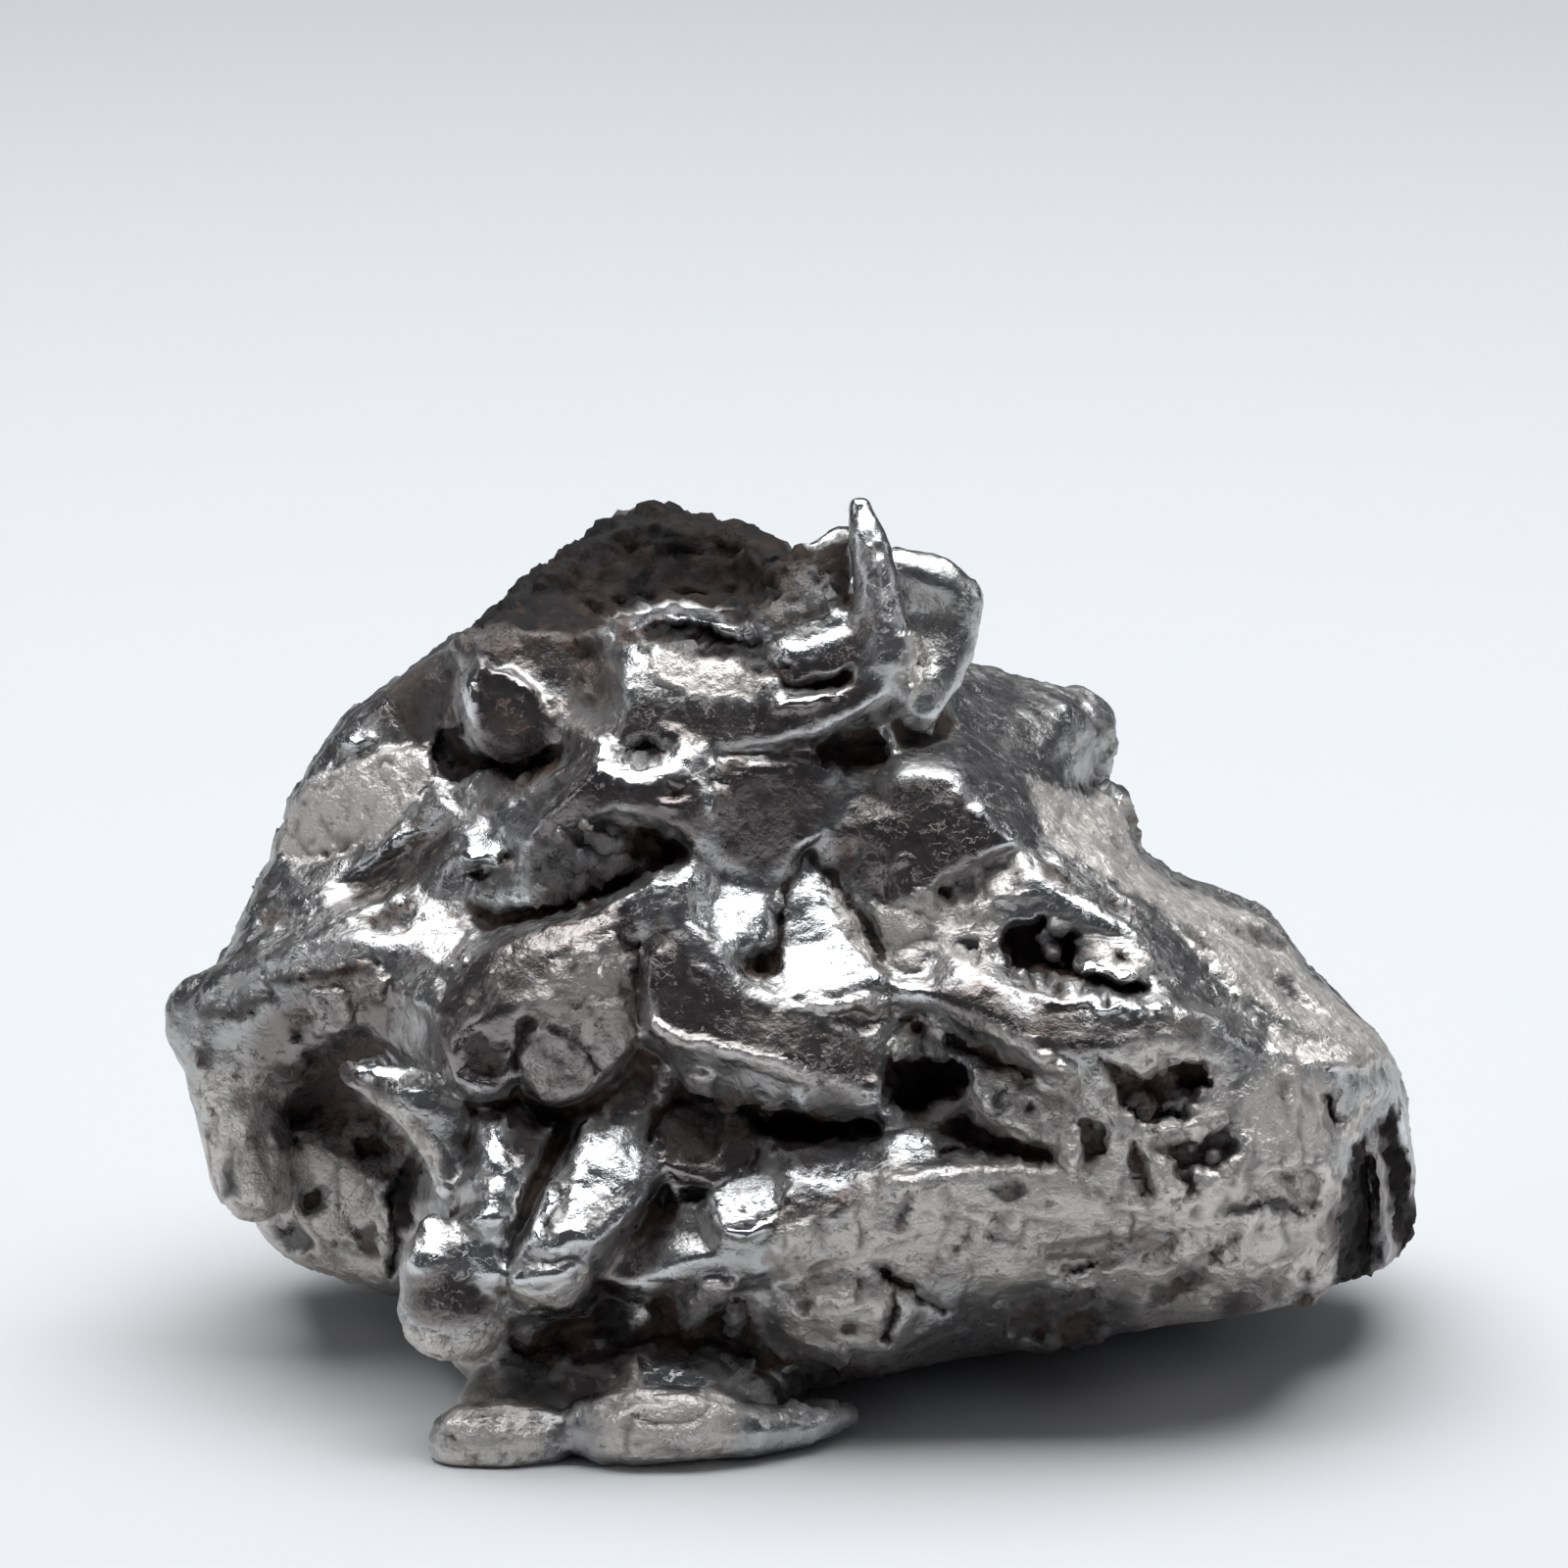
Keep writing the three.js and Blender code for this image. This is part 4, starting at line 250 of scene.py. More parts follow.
        [-8.1, 7.2, -4.9], [-7.8, 7.8, -5.1], [-7, 7.75, -5], [-6.2, 7.1, -4.6], [-5.8, 6.3, -4.4],
        [-6.8, 5.9, -4.3], [-7.6, 6, -4.4], [-8, 6.5, -4.7], [-8.1, 7.2, -4.9],
    ],
    "blockShadow": [
        [-8.6, 7.6, -6.8], [-8.6, 6.4, -6.9], [-8.4, 5.5, -6.4], [-7, 5.6, -5.6], [-5.9, 5.5, -4.8],
        [-5.4, 6.2, -3.8],
    ],
    "browBand": [[-8.4, 8.7, -5.9], [-7, 8.6, -5.5], [-5.6, 8.8, -5.3], [-4.7, 8.2, -4.7]],
    "browBandFoot": [[-6.4, 7.7, -5], [-5.4, 7.3, -4.6], [-4.8, 7.2, -3.9]],
    "pillar": [[-4.5, 8.6, -3.9], [-4.4, 7.6, -3.2], [-4.5, 6.7, -2.8], [-5.1, 5.6, -2.4]],
    "slopeNear": [
        [6.6, 3.6, -3], [7.8, 3.2, -3.6], [9.2, 2.3, -3.8], [10.4, 1.3, -3.6], [11.6, 0.3, -3.4],
        [12.8, -0.8, -3.4], [13.8, -1.6, -3.6], [14.9, -2.1, -4.6],
    ],
    "slopeMiddle": [
        [4.4, 6.6, -6], [6.5, 5.3, -7], [8.2, 3.9, -7.6], [10, 2.4, -7.6], [12, 1.1, -7.6],
        [13.6, -0.1, -7.6], [15, -1.3, -7.4],
    ],
    "notch": [[-4.35, 6, -1.7], [-3.8, 5.75, -1.6], [-3.1, 5.8, -1.25]],
    "bandLeft": [[-4.1, 6.9, -1.75], [-3.4, 6.6, -1.4], [-2.6, 6.5, -1.25]],
    "midFaceTop": [[-1.9, 5.5, -0.8], [-0.4, 5.5, -0.95], [0.7, 5.5, -1.3]],
    "midFaceLeft": [[-2.1, 4.6, -0.35], [-1.9, 3.9, -0.6], [-1.5, 3.1, -0.9], [-0.9, 2.75, -1.05]],
    "midFaceRight": [
        [1.5, 5.3, -1.7], [1.2, 4.7, -1.6], [0.9, 4.1, -1.45], [0.5, 3.6, -1.4], [0.1, 3.1, -1.35],
        [-0.4, 2.8, -1.2],
    ],
    "scoopBack": [
        [-2.1, 3, -0.6], [-1.6, 2.7, -1.1], [-1.2, 2.4, -1.1], [-0.6, 2.1, -1.05], [-0.1, 1.8, -1.1],
    ],
    "scoopMiddle": [[-1.9, 1.8, -0.5], [-1.4, 1.6, -0.5], [-0.9, 1.5, -0.5], [-0.35, 1.45, -0.65]],
    "scoopFloor": [[-1.6, 1.25, -0.15], [-1.2, 0.95, -0.05], [-0.8, 0.85, -0.1], [-0.45, 0.9, -0.3]],
    "scoopPit": [[-1, 0.25, -0.3], [-0.5, 0.05, -0.35]],
    "scoopEdge": [
        [-2.5, 2.3, 0], [-2.55, 1.7, 0.3], [-2.1, 1.05, 0.45], [-1.5, 0.45, 0.5], [-1, -0.1, 0.45],
        [-0.1, -0.5, 0.35],
    ],
    "fangCrest": [[0.65, 3.15, -1.95], [1.05, 2.1, -1.3], [1.6, 0.95, -0.55], [2.6, 0.05, 0.05]],
    "fangLeft": [[0.3, 2.6, -1.7], [0.05, 1.6, -1.25], [-0.2, 0.8, -0.9], [-0.6, 0.3, -0.7]],
    "fangGap": [[-0.05, 2.5, -1.5], [-0.15, 1.6, -1.1], [-0.2, 0.85, -0.7]],
    "fangRight": [[1, 2.8, -1.9], [1.7, 2.1, -1.7], [2.1, 1.2, -1.4], [2.4, 0.4, -0.9]],
    "stripTop": [
        [2.3, 1.75, -1.5], [3, 1.95, -1.5], [3.95, 2.35, -1.45], [4.8, 2.8, -1.6], [5.9, 3.35, -1.85],
    ],
    "stripFoot": [
        [2.75, 0.35, -0.6], [3.3, 0.3, -0.55], [3.6, 0.75, -0.75], [4.1, 1.5, -1.15], [4.8, 2.2, -1.5],
    ],
    "rightFaceTop": [
        [2.8, 5.65, -2], [3.5, 5.55, -1.9], [4.3, 5.45, -1.9], [4.75, 5.2, -1.9], [5.2, 4.6, -1.8],
        [5.6, 4.15, -1.8], [5.95, 3.85, -1.9],
    ],
    "rightFaceBevel": [
        [2.9, 5.3, -1.45], [3.5, 5.2, -1.35], [4.2, 5.1, -1.3], [4.55, 4.8, -1.3], [4.85, 4.3, -1.25],
        [5.3, 3.95, -1.25], [5.7, 3.65, -1.3],
    ],
    "recessTop": [
        [-5.9, 2.9, -1.7], [-5.3, 3.6, -1.5], [-4.2, 3.95, -1.4], [-3.2, 3.7, -1.6], [-2.7, 3.3, -1.7],
    ],
    "recessFloor": [[-6.7, 1.8, -1.8], [-5.4, 2.2, -1.4], [-4.4, 2.6, -1.1], [-3.4, 3, -1.2]],
    "eyePit": [
        [5.3, 0.6, -0.5], [5.6, 1.6, -0.9], [6.6, 2, -1.1], [7.6, 1.3, -1], [8.6, 0.95, -0.9],
        [9.4, 0.3, -0.8],
    ],
    "eyeFloor": [[6, 0.2, -0.5], [7, 0.3, -0.6], [8.2, 0.4, -0.45], [8.9, -0.1, -0.4]],
    "legRightRidge": [
        [-5, -3.1, -0.9], [-5.1, -4, -0.35], [-5.25, -5, 0.3], [-5.5, -6, 0.95], [-5.9, -6.9, 1.5],
    ],
    "legRightRidgeLeft": [
        [-5.05, -3.5, -1], [-5.5, -4.4, -0.45], [-6.05, -5.3, 0.1], [-6.35, -6, 0.55], [-6.6, -6.7, 0.95],
        [-6.95, -7.5, 1.1],
    ],
    "legRightFaceTop": [[-4.9, -4.1, -0.4], [-4.3, -4.1, -0.4], [-3.6, -4.2, -0.5], [-3.2, -4.7, -0.4]],
    "legRightFaceFoot": [
        [-5.2, -6.6, 1.35], [-4.8, -6.6, 1.2], [-4.2, -6.1, 0.8], [-3.6, -5.5, 0.3], [-3.15, -5, -0.2],
    ],
    "legRightShelf": [[-4.7, -3.2, -1.1], [-3.9, -2.9, -1.1], [-3.2, -3.4, -1.2]],
    "legRightSide": [[-3, -5.4, -1.5], [-3.4, -6.2, -1], [-4.2, -7.1, -0.4], [-4.6, -7.6, -0.2]],
    "legRightLip": [
        [-6.95, -7.9, 0.8], [-6.4, -7.6, 1.4], [-5.8, -7.5, 1.5], [-5.3, -7.35, 1.4], [-4.95, -7.1, 1],
    ],
    "legRightLipFoot": [
        [-6.9, -8.1, 0.2], [-6.3, -8.35, 0.2], [-5.6, -8.45, 0.2], [-5.15, -8, 0.1], [-4.85, -7.4, 0],
    ],
    "legRightCup": [[-6.7, -7.2, 0.8], [-6.2, -7.1, 0.95], [-5.6, -7.05, 1.15]],
    "strandValley": [
        [-5.3, -3.3, -1.7], [-5.75, -4.3, -1.2], [-6.45, -5.5, -0.5], [-6.9, -6.6, 0.1], [-7.15, -7.7, 0.3],
    ],
    "legLeftRidge": [
        [-7.3, -3.2, -0.8], [-7.3, -4, -0.25], [-7.35, -4.8, 0.3], [-7.5, -5.5, 0.75], [-7.7, -6.1, 1.1],
    ],
    "legLeftEdge": [[-7.8, -3.3, -1.2], [-7.85, -4, -0.7], [-7.8, -4.8, 0]],
    "legLeftLedge": [[-8.1, -5, 0], [-6.95, -4.95, 0.3], [-6.65, -5.2, 0.15]],
    "legLeftFoot": [[-8, -6.1, 0.9], [-7.4, -6.1, 1.1], [-6.9, -6, 0.8]],
    "legLeftStrand": [[-8.85, -4.7, -1.5], [-8.7, -5.2, -1.2], [-8.3, -5.9, -0.7]],
    "legLeftGap": [[-8.4, -4.4, -2], [-8.35, -5, -1.7]],
    "legLeftOutside": [[-9.4, -5, -5], [-9.7, -6, -5.6]],
    "toeCrotch": [[-7, -8.9, -0.9], [-6.6, -9.2, -1.2], [-6.6, -9.9, -1.6], [-7.4, -10, -1.4]],
    "footShelf": [
        [-5.9, -10.6, -0.5], [-5.4, -9.6, -1.2], [-4.9, -9.2, -1.6], [-4.2, -9.3, -1.6], [-3.9, -10, -1],
        [-4, -10.8, -0.5],
    ],
    "footRidge": [
        [-3.7, -9.5, -1.5], [-3.2, -9.9, -1.1], [-2.4, -10, -0.9], [-1.8, -10.3, -0.8], [-0.9, -10.7, -0.7],
    ],
    "kneeFlat": [[-4.6, -8, -1.4], [-3.9, -8.2, -1.4], [-3.2, -8.2, -1.6], [-3.9, -9, -1.5]],
    "kneeDark": [[-2.2, -9.4, -2.2], [-1.2, -9.4, -2.2], [-0.4, -9.8, -2.4]],
    "caveFacet": [
        [-3.1, -3.1, -1.5], [-2, -3, -1.4], [-1, -3.6, -1.3], [-0.7, -4.2, -1.2], [-1, -4.8, -0.8],
        [-1.8, -4.9, -0.5], [-2.8, -4.8, -0.6], [-3.2, -4, -1.1],
    ],
    "cupsLedge": [[-2.9, -5.05, -0.6], [-2.3, -5.1, -0.5], [-1.8, -5.05, -0.6]],
    "cupsUnder": [[-2.8, -5.5, -0.7], [-2.2, -5.6, -0.5]],
    "cupOneTop": [[-1.6, -5.2, -0.25], [-0.9, -4.9, -0.4], [-0.2, -5.1, -0.25]],
    "cupOneFoot": [
        [-1.75, -5.7, 0.3], [-1.5, -6.25, 0.5], [-1, -6.45, 0.6], [-0.3, -6.1, 0.6], [0, -5.7, 0.5],
    ],
    "cupsGrain": [[-2.8, -6.8, -0.1], [-2.2, -6.3, -0.2], [-1.9, -6.9, 0.1]],
    "cupTwoTop": [
        [-0.5, -4.1, -0.6], [0.1, -4.35, -0.45], [0.6, -4.3, -0.5], [1.1, -4.2, -0.6], [1.9, -4.1, -0.6],
    ],
    "cupTwoFoot": [[0.1, -5, 0.2], [0.5, -5.3, 0.4], [1.4, -5.45, 0.5], [1.9, -5.1, 0.4], [2.6, -4.9, 0.3]],
    "cupThree": [[2.6, -3.9, -0.6], [3.2, -3.7, -0.7], [3.8, -3.9, -0.6]],
    "cupThreeFoot": [[2.8, -4.75, 0.2], [3.4, -4.9, 0.35], [3.9, -4.7, 0.3]],
    "cupsBand": [[-0.6, -6.4, 0.45], [0.5, -6.1, 0.6], [1.4, -5.8, 0.65], [2.3, -5.4, 0.6]],
    "wallTongue": [
        [-4, -7.9, -0.3], [-3, -7.7, -0.1], [-2, -7.45, 0.1], [-1.2, -7.5, 0.2], [-0.6, -7.6, 0.3],
        [0.1, -7.4, 0.3], [1, -7.15, 0.3], [2, -7, 0.3],
    ],
    "facetTop": [[-8.4, 4, -5.2], [-7.6, 4.5, -5], [-6.6, 4.8, -4.4]],
    "facetLip": [[-8.4, 3, -4.2], [-7.6, 2.85, -3.8], [-6.9, 3.1, -3.5]],
    "legLeftShoulder": [[-5.95, -3.6, -0.9], [-6.2, -4.2, -0.5], [-6.75, -5.3, 0.2], [-7.15, -6.3, 0.75]],
    "legLeftDome": [[-6.6, -3.5, -0.8], [-6.6, -4, -0.5], [-6.5, -4.5, -0.3]],
    "hornBehind": [[-11.4, -3, -7.4], [-10.4, -4.2, -7.4], [-9.6, -4.3, -6]],
}

# Steps in the front relief: rise, more rise for each millimetre downward, kind of surface,
# and the outline across and up
# Of the kinds of surface, the crust also paints shade into pits, cracks, grooves and hollows,
# on faces turned to the eye, and the polished one brightens the metal as painted highlights.
# the black one paints shadow into holes, gaps and the cavern, the film also paints shade
steps = {
    "notchTwo": (-0.32, 0, "crustAndShade", [[-3.15, 5.05], [-2.8, 4.85], [-2.35, 5], [-2.5, 4.75], [-2.9, 4.65]]),
    "notchTwoLip": (0.05, 0.8, "", [
        [-3.2, 4.8], [-2.9, 4.6], [-2.3, 4.85], [-2.4, 4.5], [-2.9, 4.3], [-3.2, 4.45],
    ]),
    "notchTwoStreak": (0, 0.8, "", [[-2, 4.7], [-1.8, 5.15], [-1.4, 5.1], [-1.7, 4.6], [-1.9, 4.3]]),
    "notchSlot": (-0.3, 0, "crustAndShade", [[-1.8, 5.45], [-1.4, 5.3], [-0.9, 5.35], [-1.3, 5.5]]),
    # The films below also paint shade on faces that turn to the eye
    "midFilmAndShade": (0, 0, "filmAndShade", [
        [-1.7, 5.3], [-0.5, 5.6], [0.6, 6], [1.1, 5.5], [1.1, 4.2], [0.4, 3.5], [-0.1, 2.9], [-0.6, 2.7],
        [-1.3, 2.9], [-1.8, 3.9],
    ]),
    "rightFilmAndShade": (0, 0, "filmAndShade", [
        [2.1, 4.9], [3.2, 5.1], [4.3, 5], [4.8, 4.3], [5.7, 3.6], [4.8, 3], [4, 2.6], [2.6, 1.9],
        [1.6, 2.6], [1.2, 3.4],
    ]),
    "plateFilmAndShade": (0, 0, "filmAndShade", [
        [-3.3, 1.9], [-2.7, 1], [-1.2, -0.4], [0.2, -0.8], [1.2, -1.1], [2.5, -1.9], [2.3, -2.8], [0, -2],
        [-2.6, -1.5], [-3.3, -0.9], [-3.6, 0.4],
    ]),
    "scoopCrack": (-0.12, 0, "crustAndShade", [
        [-0.1, 2.4], [0.05, 2.3], [0, 1.5], [-0.15, 0.8], [-0.3, 0.9], [-0.2, 1.6],
    ]),
    "scoopHollow": (-0.3, 0, "crustAndShade", [
        [-1.2, 0.75], [-0.6, 0.9], [-0.1, 0.7], [-0.2, 0.2], [-0.6, -0.1], [-1, 0.2],
    ]),
    "rightStep": (0.08, -0.5, "", [[2.2, 2.95], [3.1, 3.1], [3, 2.95], [2.3, 2.8]]),
    "rightLedge": (0.1, 0.5, "", [[1.9, 4.1], [2.4, 4.2], [2.9, 4.1], [2.4, 3.95]]),
    "spurLeft": (0.15, 0.3, "", [[0.3, 3.6], [0.6, 3.8], [1, 4], [0.9, 3.6], [0.5, 3.35], [0.25, 3.3]]),
    "edgeBulge": (0.15, 0.9, "", [[4.8, 4.6], [5.1, 4.6], [5.3, 4.2], [5, 4.15], [4.75, 4.35]]),
    "strip": (0, 0.1, "matte", [
        [2.3, 1.8], [3.6, 2.3], [4.4, 2.7], [5.7, 3.3], [5.6, 2.8], [4.6, 2.1], [3.9, 1.2], [3.5, 0.3],
        [2.8, 0.3], [2.5, 0.9],
    ]),
    "fangSide": (0, 0, "matte", [[1.05, 2.6], [1.6, 2.2], [2.1, 1.4], [2.4, 0.6], [2.1, 0.5], [1.6, 1.2]]),
    "plateStep": (-0.2, 0.1, "filmAndShade", [
        [1.05, -0.9], [1.6, -0.65], [3.2, -0.6], [2.6, -1], [2.3, -1.35], [1.5, -1.2],
    ]),
    "plateStepLip": (0.15, -0.5, "matte", [
        [0.3, -0.7], [1, -0.85], [1.5, -0.8], [1.9, -0.62], [2.3, -0.85], [2.7, -1], [2.8, -0.6],
        [2.2, -0.35], [1.5, -0.5], [0.8, -0.55],
    ]),
    "plateLedge": (0.1, 0.4, "", [[-2.5, 0.45], [-2, 0.5], [-1.7, 0.1], [-2.2, 0.05]]),
    "plateTopSpark": (0.1, 0.7, "", [[-3.5, 2.5], [-3.2, 2.7], [-2.9, 2.75], [-2.9, 2.3], [-3.3, 2.25]]),
    "plateTopGleam": (0.1, 0.7, "", [[-2.7, 2.3], [-2.5, 2.8], [-2.1, 2.95], [-2, 2.7], [-2.4, 2.4]]),
    "islandUpper": (0.14, 0, "matte", [
        [-6, 0.2], [-5.4, 0.65], [-4.8, 1], [-4.2, 1.1], [-4, 0.5], [-3.95, -0.2], [-4.4, -0.45],
        [-4.9, -0.1], [-5.3, 0.1], [-5.7, -0.1],
    ]),
    "islandLower": (0.18, 0, "matte", [
        [-6.4, -0.95], [-5.8, -1], [-5.2, -0.9], [-4.9, -0.6], [-4.3, -0.5], [-3.8, -0.8], [-3.8, -1.5],
        [-4, -1.9], [-4.5, -2.2], [-4.8, -2.7], [-5.2, -3], [-6.1, -3.1], [-6.5, -2.7], [-6.7, -2.1],
        [-6.6, -1.4],
    ]),
    "islandPocket": (-0.2, 0, "filmAndShade", [
        [-5.8, -1.5], [-5.2, -1.6], [-5, -2], [-5.1, -2.5], [-5.6, -2.6], [-5.9, -2.2],
    ]),
    "lobePocket": (-0.25, 0, "crustAndShade", [
        [-8, -1.35], [-7.5, -1.5], [-7.1, -1.6], [-7, -2.2], [-7.3, -2.55], [-7.9, -2.6], [-8.2, -2.2],
        [-8.2, -1.7],
    ]),
    "islandCrack": (-0.3, 0, "crustAndShade", [
        [-6, -1.25], [-5.5, -1.55], [-5.05, -1.9], [-4.85, -2.4], [-4.7, -2.4], [-4.85, -1.8],
        [-5.4, -1.35], [-5.9, -1.1],
    ]),
    "islandNotch": (-0.6, 0, "crustAndShade", [
        [-6.65, -0.95], [-6.3, -0.9], [-6.4, -1.2], [-6.6, -1.9], [-6.85, -2.5], [-6.95, -1.6],
        [-6.75, -1.2],
    ]),
    "seamPit": (-0.3, 0, "crustAndShade", [
        [-4, 1], [-3.6, 0.95], [-3.5, 0.6], [-3.6, 0.2], [-4, 0.1], [-3.95, 0.4], [-4.1, 0.6], [-4.1, 0.8],
    ]),
    "seamCrumb": (0.5, 0.6, "matte", [[-4.05, 0.6], [-3.85, 0.65], [-3.8, 0.45], [-4, 0.35]]),
    "seamLower": (-0.1, 0, "crustAndShade", [
        [-4.05, 0.05], [-3.8, 0], [-3.6, -0.4], [-3.5, -0.9], [-3.3, -1.1], [-3.6, -1.2], [-3.8, -0.9],
        [-3.9, -0.3],
    ]),
    "plateLipPale": (0, -0.2, "matte", [
        [-3.5, -0.9], [-3, -1.2], [-2, -1.5], [-0.5, -1.85], [1, -2.3], [2.3, -2.9], [2.2, -3.1],
        [0.8, -2.75], [-0.8, -2.2], [-2.3, -1.85], [-3.3, -1.4],
    ]),
    "recessBarLeft": (0.3, -0.6, "matte", [
        [-5.9, 3.75], [-5.7, 3.85], [-5.1, 3.4], [-4.6, 3.15], [-4.7, 3], [-5.3, 3.25],
    ]),
    "recessBarRight": (0.3, -0.6, "matte", [
        [-5.3, 3.9], [-5.1, 4], [-4.5, 3.55], [-4, 3.45], [-4.1, 3.3], [-4.7, 3.4],
    ]),
    "recessChip": (0.3, 0.9, "", [[-4.6, 3.15], [-4, 3.2], [-4, 3], [-4.4, 3]]),
    "recessBlock": (0.6, 0.8, "matte", [
        [-5.15, 2.3], [-4.9, 2.4], [-4.45, 2.35], [-4.7, 2], [-5.1, 1.75], [-5.25, 2],
    ]),
    "recessBlack": (-0.35, 0, "crustAndShade", [
        [-3.6, 4], [-3, 3.9], [-2.5, 3.5], [-2.35, 3.1], [-2.8, 3.05], [-3.6, 3], [-4, 3.2], [-3.8, 3.6],
    ]),
    # A pale matte colour that also paints light into the shaded recess floor
    "recessFloorLightened": (0.15, 0, "matte", [
        [-6.2, 2.9], [-5.6, 3.8], [-4.2, 4.1], [-3.2, 3.9], [-2.4, 3.3], [-3.4, 2.8], [-4.4, 2.3],
        [-6.6, 1.5],
    ]),
    "sparkLeft": (0.3, 0.9, "", [
        [-8.35, 0.6], [-8.1, 1.1], [-7.8, 1.65], [-7.5, 1.65], [-7.6, 1.3], [-7.95, 0.95], [-8.2, 0.4],
    ]),
    "plateBeadLeft": (0.35, -0.3, "matte", [
        [-2.5, -2.45], [-2.1, -2.35], [-1.75, -2.6], [-1.9, -3], [-2.4, -2.95],
    ]),
    "plateBeadRight": (0.4, -0.3, "matte", [
        [-1.1, -2.9], [-0.6, -2.85], [-0.15, -3.1], [-0.2, -3.5], [-0.7, -3.6], [-1.1, -3.3],
    ]),
    "plateBeadPit": (-0.3, 0, "crustAndShade", [[-0.8, -3.1], [-0.5, -3.1], [-0.5, -3.35], [-0.75, -3.35]]),
    "plateBeadLast": (0.3, 0.3, "", [[0.15, -2.95], [0.6, -2.9], [0.65, -3.2], [0.25, -3.25]]),
    "cave": (-0.4, 0, "darkCrustAndShadow", [[-0.9, -3.6], [0.5, -3.6], [2, -3.7], [2.3, -3.9], [1, -4.1], [-0.3, -4]]),
    "caveCrack": (-0.25, 0, "crustAndShade", [[-3.2, -3.2], [-3, -3.2], [-3.3, -3.7], [-3.4, -4.2], [-3.55, -4.1]]),
    "cupsPit": (-0.4, 0, "darkCrustAndShadow", [
        [-2.75, -5.25], [-2.2, -5.3], [-1.75, -5.2], [-1.9, -5.6], [-2.5, -5.65],
    ]),
    "cupOneRim": (0.1, 0.9, "", [
        [-1.75, -5.6], [-1.55, -6.2], [-1, -6.3], [-0.4, -6], [-0.05, -5.65], [0.05, -5.8], [-0.3, -6.3],
        [-1, -6.6], [-1.6, -6.45], [-1.9, -5.9],
    ]),
    "cupBandFilm": (0, 0, "filmAndShade", [
        [-0.5, -5.9], [0.3, -5.4], [1.4, -5.5], [2, -5.2], [2.3, -5.3], [1.5, -5.8], [0.4, -6.2],
        [-0.4, -6.5],
    ]),
    "cupSpark": (0.1, 0.9, "", [[2.1, -3.3], [2.4, -3.3], [2.5, -3.6], [2.2, -3.65]]),
    "cupSmall": (0.1, 0.8, "", [[4, -3.9], [4.4, -3.9], [4.4, -4.25], [4.1, -4.3]]),
    "tongueSliver": (0.5, -0.2, "matte", [
        [-2, -7.6], [-1.2, -7.6], [-1.6, -8.2], [-2.3, -8.9], [-2.65, -9.1], [-2.5, -8.5],
    ]),
    "tonguePeg": (0.5, 0.2, "", [[-1.4, -8.3], [-1.15, -8.3], [-1.2, -8.9], [-1.4, -8.9]]),
    "kneeBlack": (-0.3, 0, "crustAndShade", [
        [-3.6, -7.9], [-2.6, -7.7], [-2.7, -8.6], [-2.4, -9.2], [-3.2, -9.4], [-3.4, -8.6],
    ]),
    "kneeBlackRight": (-0.3, 0, "crustAndShade", [
        [-1.4, -8], [-0.9, -8], [-0.4, -9.2], [0.4, -9.9], [-1.2, -9.9], [-1.9, -9.2],
    ]),
    "clinkerCrack": (-0.4, 0, "darkCrustAndShadow", [
        [2.2, -7.2], [3, -7.6], [3.9, -8.2], [4.3, -8.5], [4.1, -8.6], [3.2, -8], [2.5, -7.6],
    ]),
    "clinkerGap": (-0.45, 0, "darkCrustAndShadow", [[2.75, -7.9], [2.95, -8.3], [2.7, -9.3], [2.5, -9.2], [2.6, -8.4]]),
    "clinkerPitLeft": (-0.3, 0, "crustAndShade", [[0.3, -8.1], [0.8, -8.2], [0.7, -8.6], [0.3, -8.5]]),
    "clinkerPitRight": (-0.3, 0, "crustAndShade", [[1.4, -8.7], [1.9, -8.6], [2, -9], [1.5, -9.1]]),
    "gapBlack": (-1.3, 0, "darkCrustAndShadow", [
        [2.6, -1.95], [3.4, -2.05], [4.2, -2], [4.75, -2.25], [4.8, -2.6], [4.4, -3], [3.6, -3.3],
        [2.5, -3.3], [2.5, -2.6],
    ]),
    "gapLump": (0.35, -0.1, "matte", [
        [2.75, -1.95], [2.8, -1.4], [3.3, -0.95], [3.9, -1], [4.1, -1.5], [3.95, -1.95], [3.4, -1.85],
    ]),
    "gapLumpCrack": (-0.32, 0, "crustAndShade", [
        [3.4, -1.1], [3.55, -1.15], [3.5, -1.5], [3.7, -1.8], [3.45, -1.75], [3.35, -1.4],
    ]),
    "ledgeGroove": (-0.35, 0, "crustAndShade", [
        [4, -1.1], [5, -1.5], [6.2, -2], [6.3, -2.15], [5.6, -2], [4.6, -1.6], [4, -1.35],
    ]),
    "ledgeLight": (0.12, 0.5, "matte", [
        [4.8, -0.85], [6.2, -1.4], [6.9, -2], [7.5, -2.2], [7.4, -2.4], [6.6, -2.2], [5.9, -1.7],
        [4.8, -1.15],
    ]),
    "ledgeGrooveTwo": (-0.38, 0, "crustAndShade", [
        [4.2, -1.55], [5.2, -1.95], [6.4, -2.2], [7, -2.55], [6.4, -2.5], [5.1, -2.2], [4.3, -1.85],
    ]),
    "slabPale": (0.1, 0, "matte", [
        [4.8, -2.2], [6.4, -2.5], [6.9, -2.9], [6.9, -3.3], [6.5, -3.7], [6.9, -4.3], [5.4, -3.95],
        [4.7, -3.4],
    ]),
    "slabPocks": (-0.25, 0, "crustAndShade", [[5.2, -2.8], [5.6, -2.7], [5.8, -3], [5.4, -3.2]]),
    "slabPocksTwo": (-0.25, 0, "crustAndShade", [[6, -3.1], [6.4, -3], [6.4, -3.4], [6.1, -3.45]]),
    "chip": (0.25, 0.2, "matte", [
        [6.65, -3.15], [7.5, -3.35], [7.6, -4.2], [7.4, -4.75], [7, -4.2], [6.65, -3.7],
    ]),
